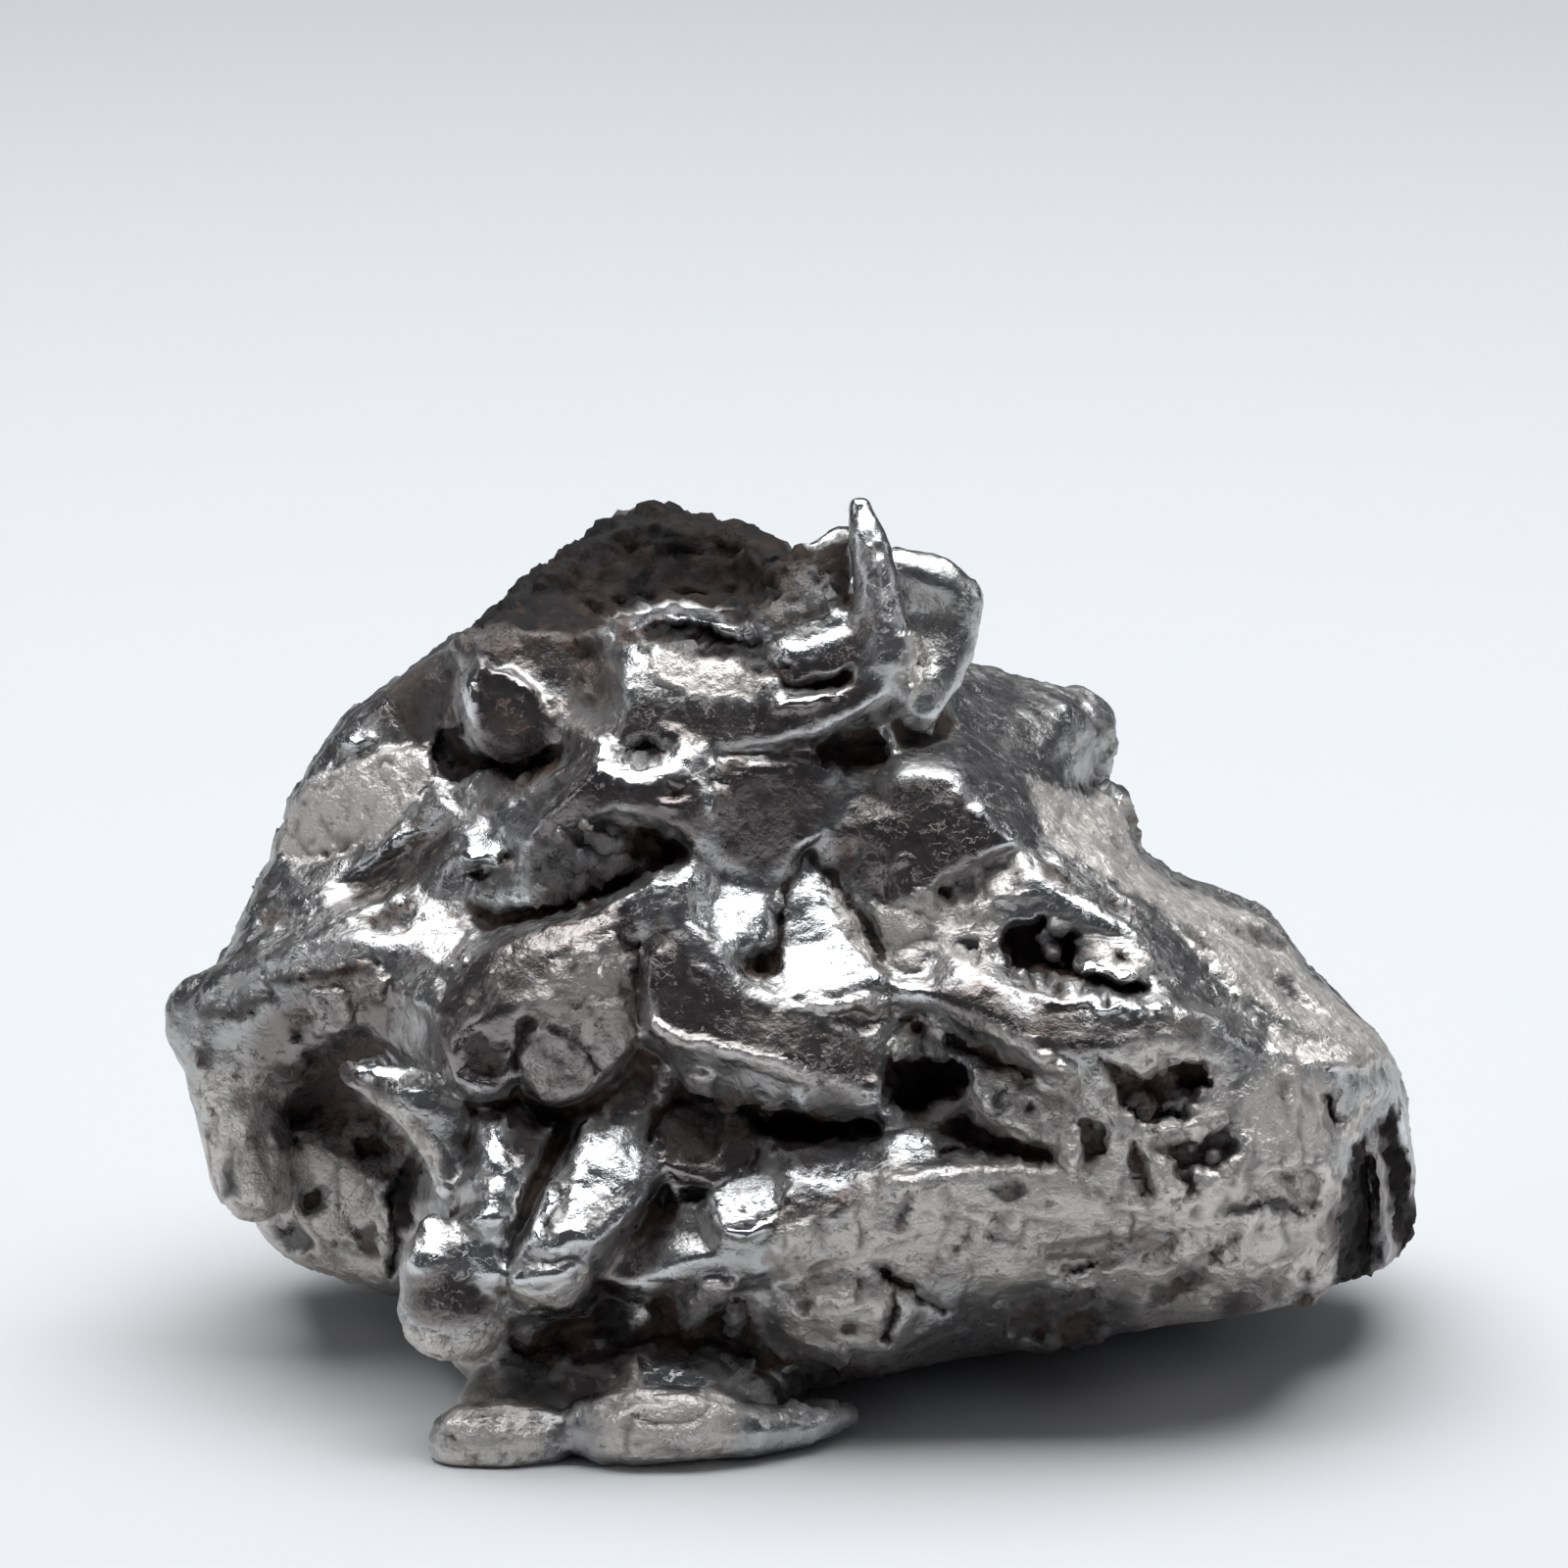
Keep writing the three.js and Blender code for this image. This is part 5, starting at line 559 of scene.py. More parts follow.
    "chipPit": (-0.5, 0, "crustAndShade", [[7.6, -3.4], [8.1, -3.65], [8.15, -4.4], [7.7, -4.8], [7.55, -4.3]]),
    "hatchOne": (-0.6, 0, "crustAndShade", [
        [8, -1.85], [8.6, -2.2], [9.2, -2.6], [9.8, -2], [10.77, -2.07], [10.85, -2.67], [10.4, -3],
        [10.17, -3.5], [9.05, -3.72], [8.45, -2.75],
    ]),
    "hatchTwo": (-0.3, 0, "darkCrustAndShadow", [[9.75, -2.1], [10.7, -2.15], [10.75, -2.6], [10.35, -2.9], [9.9, -2.6]]),
    "hatchCrumbs": (0.45, 0.4, "matte", [
        [9.75, -2.85], [10, -2.8], [10.3, -3], [10.15, -3.3], [9.8, -3.25],
    ]),
    "hatchBar": (0.12, 0.5, "matte", [
        [9.1, -3.75], [10.2, -3.55], [11.15, -3.2], [11.3, -3.5], [10.4, -3.85], [9.3, -4],
    ]),
    "hatchWedge": (0.15, 0.2, "matte", [[9.3, -4.4], [9.75, -4.6], [10.2, -5.4], [9.75, -5.5]]),
    "hatchThree": (-0.5, 0, "crustAndShade", [
        [9.65, -4.15], [10.85, -4], [11.3, -3.65], [11.7, -4.4], [11.15, -4.8], [10.1, -4.8],
    ]),
    "hatchThreeCrumb": (0.4, 0.4, "matte", [[10.2, -4.2], [10.45, -4.1], [10.55, -4.35], [10.3, -4.5]]),
    "hatchThreeCrumbRight": (0.4, 0.4, "matte", [
        [10.7, -4.4], [10.95, -4.3], [11.1, -4.55], [10.8, -4.65],
    ]),
    "hatchFour": (-0.45, 0, "crustAndShade", [[8.85, -4], [9.25, -4.6], [9.55, -5.55], [9.1, -5.6], [8.8, -4.9]]),
    "wallTopLine": (-0.32, 0, "crustAndShade", [
        [4, -4.25], [5.5, -4.3], [6.9, -4.55], [7.2, -4.8], [5.4, -4.65], [4, -4.5],
    ]),
    "wallStar": (-0.3, 0, "crustAndShade", [[2.7, -5.8], [3, -5.6], [3.2, -5.8], [3.1, -6.2], [2.9, -6]]),
    "wallRing": (-0.18, 0, "crustAndShade", [[5.2, -5.3], [5.7, -5.15], [6.2, -5.3], [6.1, -5.6], [5.5, -5.65]]),
    "wallRingIsland": (0.18, 0, "matte", [[5.5, -5.3], [5.95, -5.3], [5.9, -5.5], [5.55, -5.5]]),
    "wallDent": (-0.15, 0, "", [[4.2, -6.1], [4.7, -5.95], [5, -6.3], [4.6, -6.6], [4.3, -6.5]]),
    "wallCrack": (-0.2, 0, "crustAndShade", [[5.15, -6.3], [5.3, -6.3], [5.75, -6.7], [5.65, -6.75], [5.2, -6.5]]),
    "wallCrackRight": (-0.2, 0, "crustAndShade", [[8.75, -5.9], [8.9, -5.9], [9, -6.5], [8.85, -6.6]]),
    "wallPit": (-0.25, 0, "crustAndShade", [[4.3, -6.7], [4.55, -6.7], [4.5, -6.95], [4.3, -6.9]]),
    "wallSlot": (-0.32, 0, "crustAndShade", [[7.2, -7.4], [8, -7.1], [8.1, -7.25], [7.4, -7.6]]),
    "wallBar": (0.15, 0.4, "matte", [[8, -7.3], [9.6, -6.6], [9.8, -6.9], [8.2, -7.65]]),
    "wallFold": (-0.25, -0.3, "", [
        [6.4, -6.9], [7.6, -6.75], [8.8, -6.5], [8.8, -6.8], [7.8, -7], [6.5, -7.15],
    ]),
    "wallHollowLeft": (-0.5, 0, "crustAndShade", [[5.6, -8.5], [6.6, -8.3], [7, -8.6], [6.6, -9.2], [5.8, -9.3]]),
    "wallHollowRight": (-0.5, 0, "crustAndShade", [[7.1, -8.5], [8, -8.4], [8.3, -8.8], [7.8, -9.3], [7, -9.3]]),
    "wallFoldFoot": (-0.3, 0, "crustAndShade", [[9.4, -7.9], [10.4, -7.5], [10.9, -7.7], [9.9, -8.2], [9.3, -8.4]]),
    "wallFoldMiddle": (-0.3, 0, "", [[10.6, -6.4], [11.6, -6.2], [11.8, -6.6], [10.9, -6.9]]),
    "terrace": (0.1, 0.3, "matte", [
        [12.5, -1.2], [13.6, -1.4], [15.2, -2.2], [14.6, -2.4], [13.2, -2.2], [12.4, -1.9],
    ]),
    "terraceGleam": (0.1, 0.8, "", [[12.45, -1.65], [13, -1.7], [13.1, -2], [12.6, -2.05]]),
    "edgeSlit": (-0.45, 0, "darkCrustAndShadow", [[13.75, -2.9], [14, -2.9], [14.15, -3.8], [13.95, -3.9]]),
    "edgeBar": (0.15, 0.5, "matte", [[14.2, -3.9], [15, -2.9], [15.2, -3.1], [14.4, -4.2]]),
    "endSlotInner": (-0.6, 0, "darkCrustAndShadow", [
        [13.95, -8], [14.2, -5.6], [14.45, -4.2], [14.85, -4], [15, -6], [15.05, -7.9],
    ]),
    "endSlotOuter": (-0.6, 0, "darkCrustAndShadow", [
        [15.1, -3.7], [15.5, -3.3], [15.95, -5], [16.15, -7.2], [15.6, -7.4], [15.3, -5.2],
    ]),
    "wallScoop": (-0.5, 0.3, "", [
        [12, -5.3], [12.6, -4.8], [13.2, -4.7], [13.7, -5], [13.5, -5.8], [12.4, -5.7],
    ]),
    "wallScoopLine": (-0.3, 0, "crustAndShade", [
        [11.2, -5.85], [12.3, -5.6], [13, -5.75], [13.4, -6.1], [12.9, -6.05], [12.2, -5.8], [11.3, -6.05],
    ]),
    "crumbPit": (-0.35, 0, "crustAndShade", [[13, -8], [13.4, -7.9], [13.6, -8.4], [13.2, -8.6]]),
    "crumbPitUpper": (-0.35, 0, "crustAndShade", [[13.1, -7.4], [13.4, -7.4], [13.5, -7.75], [13.2, -7.8]]),
    "eyeLumpPit": (-0.4, 0, "darkCrustAndShadow", [[8.4, 0.6], [8.7, 0.55], [8.95, 0.4], [8.7, 0.3], [8.45, 0.4]]),
    "eyeCrumbs": (0.15, 0.5, "", [
        [5.9, 0.2], [6.6, 0], [7.3, -0.1], [8.2, -0.5], [9.2, -0.55], [9.2, -0.8], [8, -0.8], [6.8, -0.55],
        [6, -0.2],
    ]),
    "eyeBlob": (0.1, 0.8, "", [[9.35, -0.2], [9.9, -0.2], [10, -0.6], [9.6, -0.8], [9.3, -0.6]]),
    "eyeDimple": (-0.3, 0, "crustAndShade", [[4.5, 1], [4.8, 1.05], [5, 0.8], [4.8, 0.6], [4.6, 0.7]]),
    "eyeDimpleTwo": (-0.25, 0, "crustAndShade", [[4.75, 0.6], [5.1, 0.65], [5.1, 0.4], [4.8, 0.35]]),
    "browPits": (-0.2, 0, "crustAndShade", [[6.4, 2.9], [7, 2.8], [7.5, 2.3], [7.2, 2.2], [6.6, 2.5]]),
    "browRough": (-0.32, 0, "crustAndShade", [[8.1, 2.2], [8.6, 2], [9.1, 1.6], [8.8, 1.5], [8.2, 1.8]]),
    "browGleam": (0.1, 0.7, "", [[5.2, 2], [6, 2.4], [6.5, 2.4], [6.4, 2.1], [5.6, 1.9]]),
    "bandGleam": (0.1, 0.6, "", [[10.4, -0.5], [11, -0.8], [11.3, -1.1], [10.8, -1.1], [10.4, -0.8]]),
    "slopeHole": (-0.6, 0, "crustAndShade", [[11.8, 1.3], [12.4, 1.2], [12.9, 0.8], [12.5, 0.6], [11.9, 0.9]]),
    "slopeHoleLow": (-0.55, 0, "crustAndShade", [[12.5, 0.1], [13, 0], [13.1, -0.5], [12.7, -0.5]]),
    "slopeHoleLeft": (-0.4, 0, "crustAndShade", [[10, 1.4], [10.6, 1.2], [10.9, 0.8], [10.3, 1]]),
    "slopePale": (0, 0.15, "matte", [
        [6, 5.2], [7.6, 4.6], [8.6, 4.4], [9.2, 3.4], [10.6, 2.3], [12.4, 1.6], [13.4, 0.6], [15.2, -1],
        [15.8, -2.2], [14.6, -2.2], [12.9, -1.2], [11.6, -0.4], [10.6, 0.6], [9.4, 1.9], [7.9, 2.8],
        [6.8, 3.4],
    ]),
    "slopeSpurs": (0.3, 0.5, "matte", [[8.2, 4.2], [8.8, 4], [8.7, 3.4], [8.2, 3.5]]),
    "slopeFacet": (0.3, 0.7, "", [[10.9, 1.6], [11.6, 1.5], [11.5, 1.1], [11, 1.2]]),
    # Painted shadow in the cavern, over its dark crust
    "cavernCrustAndShadow": (-0.2, 0, "darkCrustAndShadow", [
        [-9.1, 8.75], [-8, 9.8], [-7, 10.4], [-6, 11.05], [-5, 11.5], [-4.4, 11.7], [-3.5, 11.95],
        [-2.7, 12.4], [-1, 12], [0.4, 11.3], [0.8, 10.9], [-0.2, 10.2], [-0.2, 9.6], [-1, 9], [-2, 9.3],
        [-3, 9.4], [-4, 9.2], [-4.6, 8.9], [-5.2, 8.6], [-6.5, 8.8], [-8, 8.8],
    ]),
    # Painted shadow in the groove under the near rim and in the crack below it, over dark crust
    "rimCrustAndShadow": (-0.4, 0, "darkCrustAndShadow", [
        [-3.7, 8.9], [-3, 9.1], [-2.2, 9.1], [-1.4, 8.8], [-0.8, 8.5], [-0.5, 8.8], [-0.7, 8.3],
        [-1.6, 8.4], [-2.4, 8.6], [-3.4, 8.5],
    ]),
    "rimCrackShadow": (-0.32, 0, "darkCrustAndShadow", [
        [-2.3, 8.35], [-1.6, 8.45], [-0.9, 8.3], [-0.5, 8.1], [-1.2, 8.15], [-2, 8.2],
    ]),
    "rimGlint": (0.2, 0.8, "", [[-3.6, 9.35], [-3, 9.5], [-2.4, 9.45], [-2.5, 9.25], [-3.3, 9.2]]),
    "rimGlintRight": (0.2, 0.8, "", [[-1.7, 9], [-1.1, 9.05], [-0.9, 8.85], [-1.5, 8.85]]),
    "slot": (-0.7, 0, "darkCrustAndShadow", [
        [-0.2, 7.75], [0.5, 7.55], [1, 7.65], [1.4, 7.75], [1.6, 8], [1.9, 7.95], [1.7, 7.65], [1.1, 7.35],
        [0.5, 7.25], [-0.1, 7.35],
    ]),
    "slotLip": (0.1, 0.9, "", [
        [-0.3, 7.15], [0.5, 7.25], [1.1, 7.4], [1.7, 7.65], [1.9, 7.6], [1.3, 7.15], [0.5, 6.95],
        [-0.2, 6.9],
    ]),
    "bandGranular": (0, 0.1, "matte", [
        [-3.5, 8.3], [-2.4, 8.3], [-0.9, 8.1], [-0.4, 7.6], [-0.8, 7.1], [-2.2, 7.2], [-3.3, 7.6],
    ]),
    "foldHollow": (-0.5, 0, "crustAndShade", [
        [0.9, 6.2], [1.6, 6.5], [2.2, 6.4], [2.7, 5.9], [2.3, 5.4], [1.4, 5.2], [0.9, 5.5],
    ]),
    "lobeRough": (0.2, 0.3, "matte", [
        [3, 8.8], [3.4, 8.9], [3.7, 8.2], [3.6, 7.4], [3.3, 7.2], [3.1, 7.8],
    ]),
    "lobeGleam": (0, 0.8, "", [[3.8, 9.8], [4.3, 9.85], [4.7, 9.6], [4.6, 9.35], [4, 9.5]]),
    "blockFace": (0.25, -0.35, "filmAndShade", [
        [-8, 7.7], [-7.8, 7.95], [-6.9, 7.8], [-6.3, 7.2], [-5.7, 6.2], [-6.7, 5.7], [-7.6, 5.85],
        [-8, 6.7],
    ]),
    "blockBlack": (-0.45, 0, "darkCrustAndShadow", [
        [-8.9, 6.2], [-8.2, 6.6], [-8.1, 6], [-7.6, 5.7], [-6.6, 5.5], [-6, 5.9], [-5.8, 5.6], [-6.8, 5.1],
        [-7.8, 5.3], [-8.3, 4.8], [-8.9, 5.2],
    ]),
    "flankGleam": (0.2, 1, "", [[-11.6, 6], [-11.3, 6.4], [-10.8, 6.3], [-10.5, 5.95], [-11, 5.8]]),
    "valleyDark": (-0.2, 0, "filmAndShade", [
        [-11.2, 2.5], [-10.4, 2.9], [-9.4, 3.5], [-8.5, 3.95], [-8.5, 3.4], [-9.3, 2.6], [-10.2, 2],
        [-11, 1.9],
    ]),
    "crestGleam": (0.1, 0.9, "", [
        [-9.9, 3.7], [-9.5, 4.1], [-9.1, 4.05], [-9.3, 3.7], [-10.3, 3.2], [-10.4, 3.35],
    ]),
    "streakUpper": (0.1, 0.9, "", [
        [-12.35, 1.95], [-11.8, 2.2], [-11.2, 2.45], [-11.2, 2.2], [-11.9, 1.9], [-12.3, 1.8],
    ]),
    "streakLower": (0.1, 0.9, "", [[-11.7, 1.5], [-11.3, 1.9], [-10.9, 1.6], [-11, 1.35]]),
    "streakSpecks": (0.1, 0.9, "", [[-13.9, 0.8], [-13.6, 1.1], [-13.2, 0.9], [-13.5, 0.7]]),
    "streakHollow": (-0.35, 0, "crustAndShade", [
        [-13.4, 1.7], [-12.6, 1.7], [-12.1, 1.4], [-12.6, 1.2], [-13.3, 1.2],
    ]),
    "streakHollowTwo": (-0.35, 0, "crustAndShade", [
        [-10.8, 1.4], [-10, 1.9], [-9.3, 1.9], [-9.6, 1.3], [-10.4, 1.1],
    ]),
    "lumpGleam": (0.1, 0.9, "", [[-15, -0.05], [-14.7, 0.1], [-14.4, -0.1], [-14.5, -0.5], [-14.9, -0.5]]),
    "lumpBandDark": (-0.25, 0, "crustAndShade", [
        [-15, -0.8], [-14, -0.7], [-13, -0.3], [-12.9, -0.6], [-13.8, -1.1], [-14.8, -1.2],
    ]),
    "underCrestDark": (-0.32, 0, "crustAndShade", [
        [-13.4, 0], [-12.2, 0.2], [-10.4, 0.4], [-10.4, 0.15], [-11.4, 0], [-12, -0.2], [-13.2, -0.3],
    ]),
    "creamLump": (0.3, 0.2, "matte", [[-11, 0.2], [-10.4, 0.3], [-10.1, 0], [-10.3, -0.5], [-10.9, -0.3]]),
    "brownBlock": (0.2, 0, "matte", [
        [-12.1, -0.4], [-11.1, -0.3], [-11, -1.2], [-11.6, -1.6], [-12.2, -1.3],
    ]),
    "brownPit": (-0.4, 0, "crustAndShade", [[-12.6, -1.2], [-12.2, -1.2], [-12.2, -1.7], [-12.6, -1.6]]),
    "dentLeft": (-0.15, 0, "crustAndShade", [[-15.1, -1.8], [-14.7, -1.75], [-14.5, -2.3], [-14.9, -2.3]]),
    "bellyShade": (-0.55, 0, "crustAndShade", [
        [-10.5, -1.3], [-10.1, -1.9], [-10.9, -2.4], [-11.5, -3], [-12.2, -3.9], [-13.2, -4.1],
        [-13.1, -3.5], [-12.3, -2.7], [-12.4, -1.9], [-11.6, -1.6],
    ]),
    "rearPit": (-0.4, 0, "crustAndShade", [[-13.1, -4.1], [-12.6, -3.9], [-12.3, -4.3], [-12.8, -4.5]]),
    "rearPitLeft": (-0.45, 0, "crustAndShade", [[-14.4, -4.9], [-14, -4.9], [-13.9, -5.6], [-14.3, -5.7]]),
    "rearPitRight": (-0.45, 0, "crustAndShade", [[-11.1, -4.1], [-10.2, -4], [-10, -4.6], [-10.8, -4.7]]),
    "rearPitMiddle": (-0.35, 0, "crustAndShade", [[-12.4, -5.6], [-11.8, -5.4], [-11.6, -5.9], [-12.2, -6.1]]),
    "rearPitLow": (-0.35, 0, "crustAndShade", [[-13, -6.5], [-12.3, -6.3], [-12, -6.9], [-12.7, -7.1]]),
    "rearPitFoot": (-0.35, 0, "crustAndShade", [[-11, -6.4], [-10.3, -6.3], [-10.4, -7.2], [-10.9, -7]]),
    "loopBlack": (-0.55, 0, "darkCrustAndShadow", [
        [-9.8, -4.9], [-9.4, -4.4], [-9.1, -4.9], [-9.4, -6], [-9.9, -7.4], [-10.1, -7.8], [-10, -6.4],
        [-10.2, -5.6],
    ]),
    "hornCup": (-0.35, 0.2, "crustAndShade", [
        [-9.7, -2.4], [-9.3, -2.3], [-9.1, -2.6], [-9.4, -2.85], [-9.7, -2.75],
    ]),
    "footDark": (-0.2, 0, "filmAndShade", [
        [-5.9, -10.4], [-5.4, -9.7], [-4.9, -9.3], [-4.2, -9.4], [-4, -10], [-4.2, -10.7], [-5.4, -10.9],
    ]),
    "footPit": (-0.3, 0, "crustAndShade", [[-6.9, -9.5], [-6.2, -9.3], [-5.7, -9.6], [-6, -10.4], [-6.6, -10.6]]),
    "footBehind": (-0.3, 0, "crustAndShade", [
        [0, -10], [1, -10], [2.3, -10.3], [2.3, -10.8], [1.2, -11], [0.1, -10.9],
    ]),
    "footSpecks": (0.15, 0.8, "", [[-0.1, -11.1], [0.5, -11.1], [0.9, -11.3], [0.2, -11.4]]),
    # A polished facet whose bright colour also paints its highlight
    "lensFacet": (0.1, 0.6, "polishAndHighlight", [
        [-8.3, 3.6], [-7.6, 4.2], [-6.6, 4.6], [-6.4, 4.2], [-6.8, 3.3], [-7.6, 2.95], [-8.15, 2.9],
    ]),
    "lensShade": (-0.4, 0, "crustAndShade", [[-8.1, 2.7], [-7.4, 2.7], [-6.9, 2.9], [-6.8, 2.4], [-7.6, 2.2]]),
    "browBandFilm": (0, 0, "filmAndShade", [
        [-8.9, 8.7], [-6.6, 8.6], [-5, 8.5], [-4.6, 7.9], [-5.2, 7.3], [-6.2, 7.6], [-7.2, 8.1],
        [-8.4, 8.2],
    ]),
    "flankPale": (0, -0.3, "matte", [
        [-13, 3.2], [-12.6, 4.3], [-11.9, 5.1], [-10.2, 5.7], [-9, 5.8], [-8.9, 5.1], [-9.6, 4.3],
        [-10.3, 3.5], [-11.4, 3], [-12.4, 2.8],
    ]),
    # Polished patches whose brighter colour also paints the highlights on them
    "scoopPolishAndHighlight": (0, 0, "polishAndHighlight", [
        [-2.6, 2.6], [-2.1, 2.85], [-1.6, 2.3], [-1.2, 1.4], [-1, 0.8], [-1.5, 0.75], [-2.1, 1.4],
    ]),
    "fangPolishAndHighlight": (0, 0, "polishAndHighlight", [
        [0.6, 3.1], [1, 2.2], [1.6, 1], [2.5, 0.1], [1.5, -0.2], [0.1, -0.4], [0.05, 1.2], [0.25, 2.4],
    ]),
    "legRightPolishAndHighlight": (0.05, 0, "polishAndHighlight", [
        [-5.35, -3.6], [-4.9, -3.6], [-4.85, -4.5], [-5, -5.4], [-5.1, -6.4], [-5.6, -7], [-5.9, -6.9],
        [-5.6, -6], [-5.4, -5],
    ]),
    "legLeftPolishAndHighlight": (0.05, 0, "polishAndHighlight", [
        [-7.85, -3.3], [-7.3, -3.2], [-7.15, -4], [-7.2, -4.9], [-7.6, -4.9], [-7.75, -4.2],
    ]),
    "cupOnePolishAndHighlight": (0, 0, "polishAndHighlight", [
        [-1.6, -5.2], [-0.8, -4.95], [-0.1, -5.2], [0, -5.7], [-0.5, -6.2], [-1.1, -6.4], [-1.6, -5.9],
    ]),
    "cupTwoPolishAndHighlight": (0, 0, "polishAndHighlight", [
        [-0.4, -4.15], [0.2, -4.4], [0.8, -4.3], [1.6, -4.5], [2, -4.9], [1.4, -5.3], [0.5, -5.2],
        [0, -4.8],
    ]),
    "cupThreePolishAndHighlight": (0, 0, "polishAndHighlight", [[2.7, -4], [3.3, -3.9], [3.7, -4.1], [3.6, -4.6], [3, -4.7]]),
    "notchPolishAndHighlight": (0, 0, "polishAndHighlight", [
        [-4.85, 5.9], [-4.6, 5.9], [-4.35, 5.55], [-3.8, 5.4], [-3.2, 5.45], [-2.6, 5.8], [-2.35, 5.75],
        [-2.7, 5.35], [-3.3, 5.1], [-3.9, 5.05], [-4.5, 5.2],
    ]),
    "footPolishAndHighlight": (0, 0.3, "polishAndHighlight", [
        [-3.7, -9.6], [-3.2, -9.8], [-2.4, -10], [-1.8, -10.2], [-2.2, -10.6], [-3, -10.5], [-3.6, -10.2],
    ]),
    "scoopCream": (0, 0, "polishAndHighlight", [
        [-1.5, 2.5], [-0.9, 2.3], [-0.3, 1.9], [-0.35, 1.2], [-0.55, 0.85], [-1, 0.9], [-1.3, 1.6],
    ]),
    "notchDark": (-0.35, 0, "crustAndShade", [
        [-4.4, 5.75], [-3.9, 6], [-3.2, 6], [-2.7, 5.8], [-3.2, 5.5], [-3.9, 5.45],
    ]),
    # A dark film that also paints shade on the arm
    "armFilmAndShade": (0, 0, "filmAndShade", [
        [-6.9, 2.6], [-6.2, 4], [-5.2, 5], [-4.9, 5.7], [-4.5, 5.1], [-3.6, 4.95], [-2.6, 5.2], [-2.2, 5],
        [-1.9, 3.9], [-2.3, 3.3], [-2.8, 3.9], [-4.2, 4.45], [-5.4, 4.1], [-6.3, 3.1],
    ]),
    "blockEdge": (0.25, 0, "polishAndHighlight", [[-8.2, 7.7], [-7.95, 7.8], [-7.85, 6.6], [-8, 6.3], [-8.15, 6.6]]),
    # A dark film that also paints shade on the band
    "bandFilmAndShade": (0, 0, "filmAndShade", [
        [-4, 7], [-2.5, 7], [-0.8, 7], [0.6, 7.1], [1.8, 7.6], [2.5, 7.6], [1.8, 7], [0.8, 6.4],
        [-0.4, 6.2], [-2.3, 6.1], [-3.4, 6], [-4.3, 6.2],
    ]),
    "rimCrust": (-0.2, 0, "crustAndShade", [
        [-4.4, 8.9], [-3.7, 9.4], [-2.7, 9.5], [-1.6, 9.3], [-0.9, 9.1], [-0.5, 8.7], [0.3, 8.1],
        [0.2, 7.8], [-0.6, 7.7], [-0.95, 7.8], [-1.3, 8.1], [-1.9, 8.35], [-2.6, 8.05], [-3, 8.3],
        [-3.6, 8.5], [-4.2, 8.4],
    ]),
    "bladeRough": (0, 0.2, "crustAndShade", [
        [-0.4, 10.3], [0.2, 10.7], [0.95, 11], [1.5, 11.4], [1.7, 9.7], [1.2, 9.4], [0.4, 9.1], [-0.5, 8.7],
        [-0.8, 9.1],
    ]),
    "bladeGlint": (0.05, 0.3, "", [[0.5, 10.3], [1.2, 10.7], [1.5, 10.2], [1.3, 9.6], [0.8, 9.7]]),
    "ledgeBright": (0, 0.5, "polishAndHighlight", [
        [-0.4, 8.3], [0.3, 8.55], [1, 8.9], [1.6, 9.3], [1.8, 9], [1.2, 8.5], [0.5, 8.2], [-0.2, 8],
    ]),
    "ledgeGrey": (0, 0, "filmAndShade", [
        [-0.4, 7.95], [0.5, 8.15], [1.2, 8.4], [1.9, 8.9], [2, 8], [1.4, 7.9], [0.4, 7.5],
    ]),
    "spikeDark": (-0.15, 0, "crustAndShade", [[2.15, 11], [2.3, 11], [2.5, 9.4], [2.4, 8.9], [2.25, 9.6]]),
    "legRightFace": (0.05, 0, "polishAndHighlight", [
        [-4.9, -3.9], [-4.1, -3.8], [-3.4, -4.1], [-3.2, -4.8], [-3.9, -5.3], [-4.8, -5.5],
    ]),
    "legRightRim": (0.1, -0.2, "matte", [
        [-7, -7.75], [-6.4, -7.95], [-5.8, -7.8], [-5.3, -7.6], [-4.95, -7.1], [-4.95, -7.8], [-5.5, -8.35],
        [-6.2, -8.4], [-6.8, -8.15],
    ]),
    "legRightDark": (0, 0, "filmAndShade", [
        [-3.1, -5.3], [-3.4, -6.2], [-4.2, -7], [-4.85, -7.6], [-5, -8.3], [-4.2, -8], [-3.3, -7.3],
        [-2.95, -6.4],
    ]),
    "strandEdge": (0.15, 0, "polishAndHighlight", [
        [-6, -5.1], [-5.8, -5.3], [-6, -6], [-6.2, -6.6], [-6.4, -6.5], [-6.25, -5.8],
    ]),
    "strandLine": (-0.2, 0, "crustAndShade", [
        [-5.75, -5.2], [-5.65, -5.3], [-5.85, -6.2], [-6, -6.7], [-6.15, -6.6], [-5.95, -6],
    ]),
    "legLeftToe": (0.05, 0.1, "polishAndHighlight", [
        [-7.4, -4.85], [-6.8, -4.85], [-6.6, -5.2], [-6.9, -5.8], [-7.4, -5.5],
    ]),
    "legLeftDark": (0.1, 0, "filmAndShade", [
        [-7, -3.4], [-6.5, -3.2], [-6.15, -3.8], [-6.3, -4.5], [-6.7, -4.7], [-7, -4.2],
    ]),
    "domeOne": (0.25, -0.1, "filmAndShade", [
        [-4.75, -3], [-4.2, -2.35], [-3.6, -2.05], [-2.95, -2.3], [-2.7, -2.8], [-3, -3.2], [-3.7, -3.35],
        [-4.4, -3.6],
    ]),
    "domeTwo": (0.35, 0, "filmAndShade", [
        [-3.3, -4], [-3, -3.4], [-2.3, -3.1], [-1.4, -3.2], [-0.7, -3.7], [-0.6, -4.3], [-1.1, -4.9],
        [-1.8, -5.2], [-2.5, -5.1], [-3.1, -4.7],
    ]),
    "knobFilm": (0, 0, "filmAndShade", [
        [-9.7, -7.6], [-8.9, -7.4], [-7.9, -7.8], [-7.3, -8.3], [-7.5, -8.7], [-8.4, -8.9], [-9.3, -8.8],
        [-9.7, -8.3],
    ]),
    "knobRim": (0, 0, "matte", [
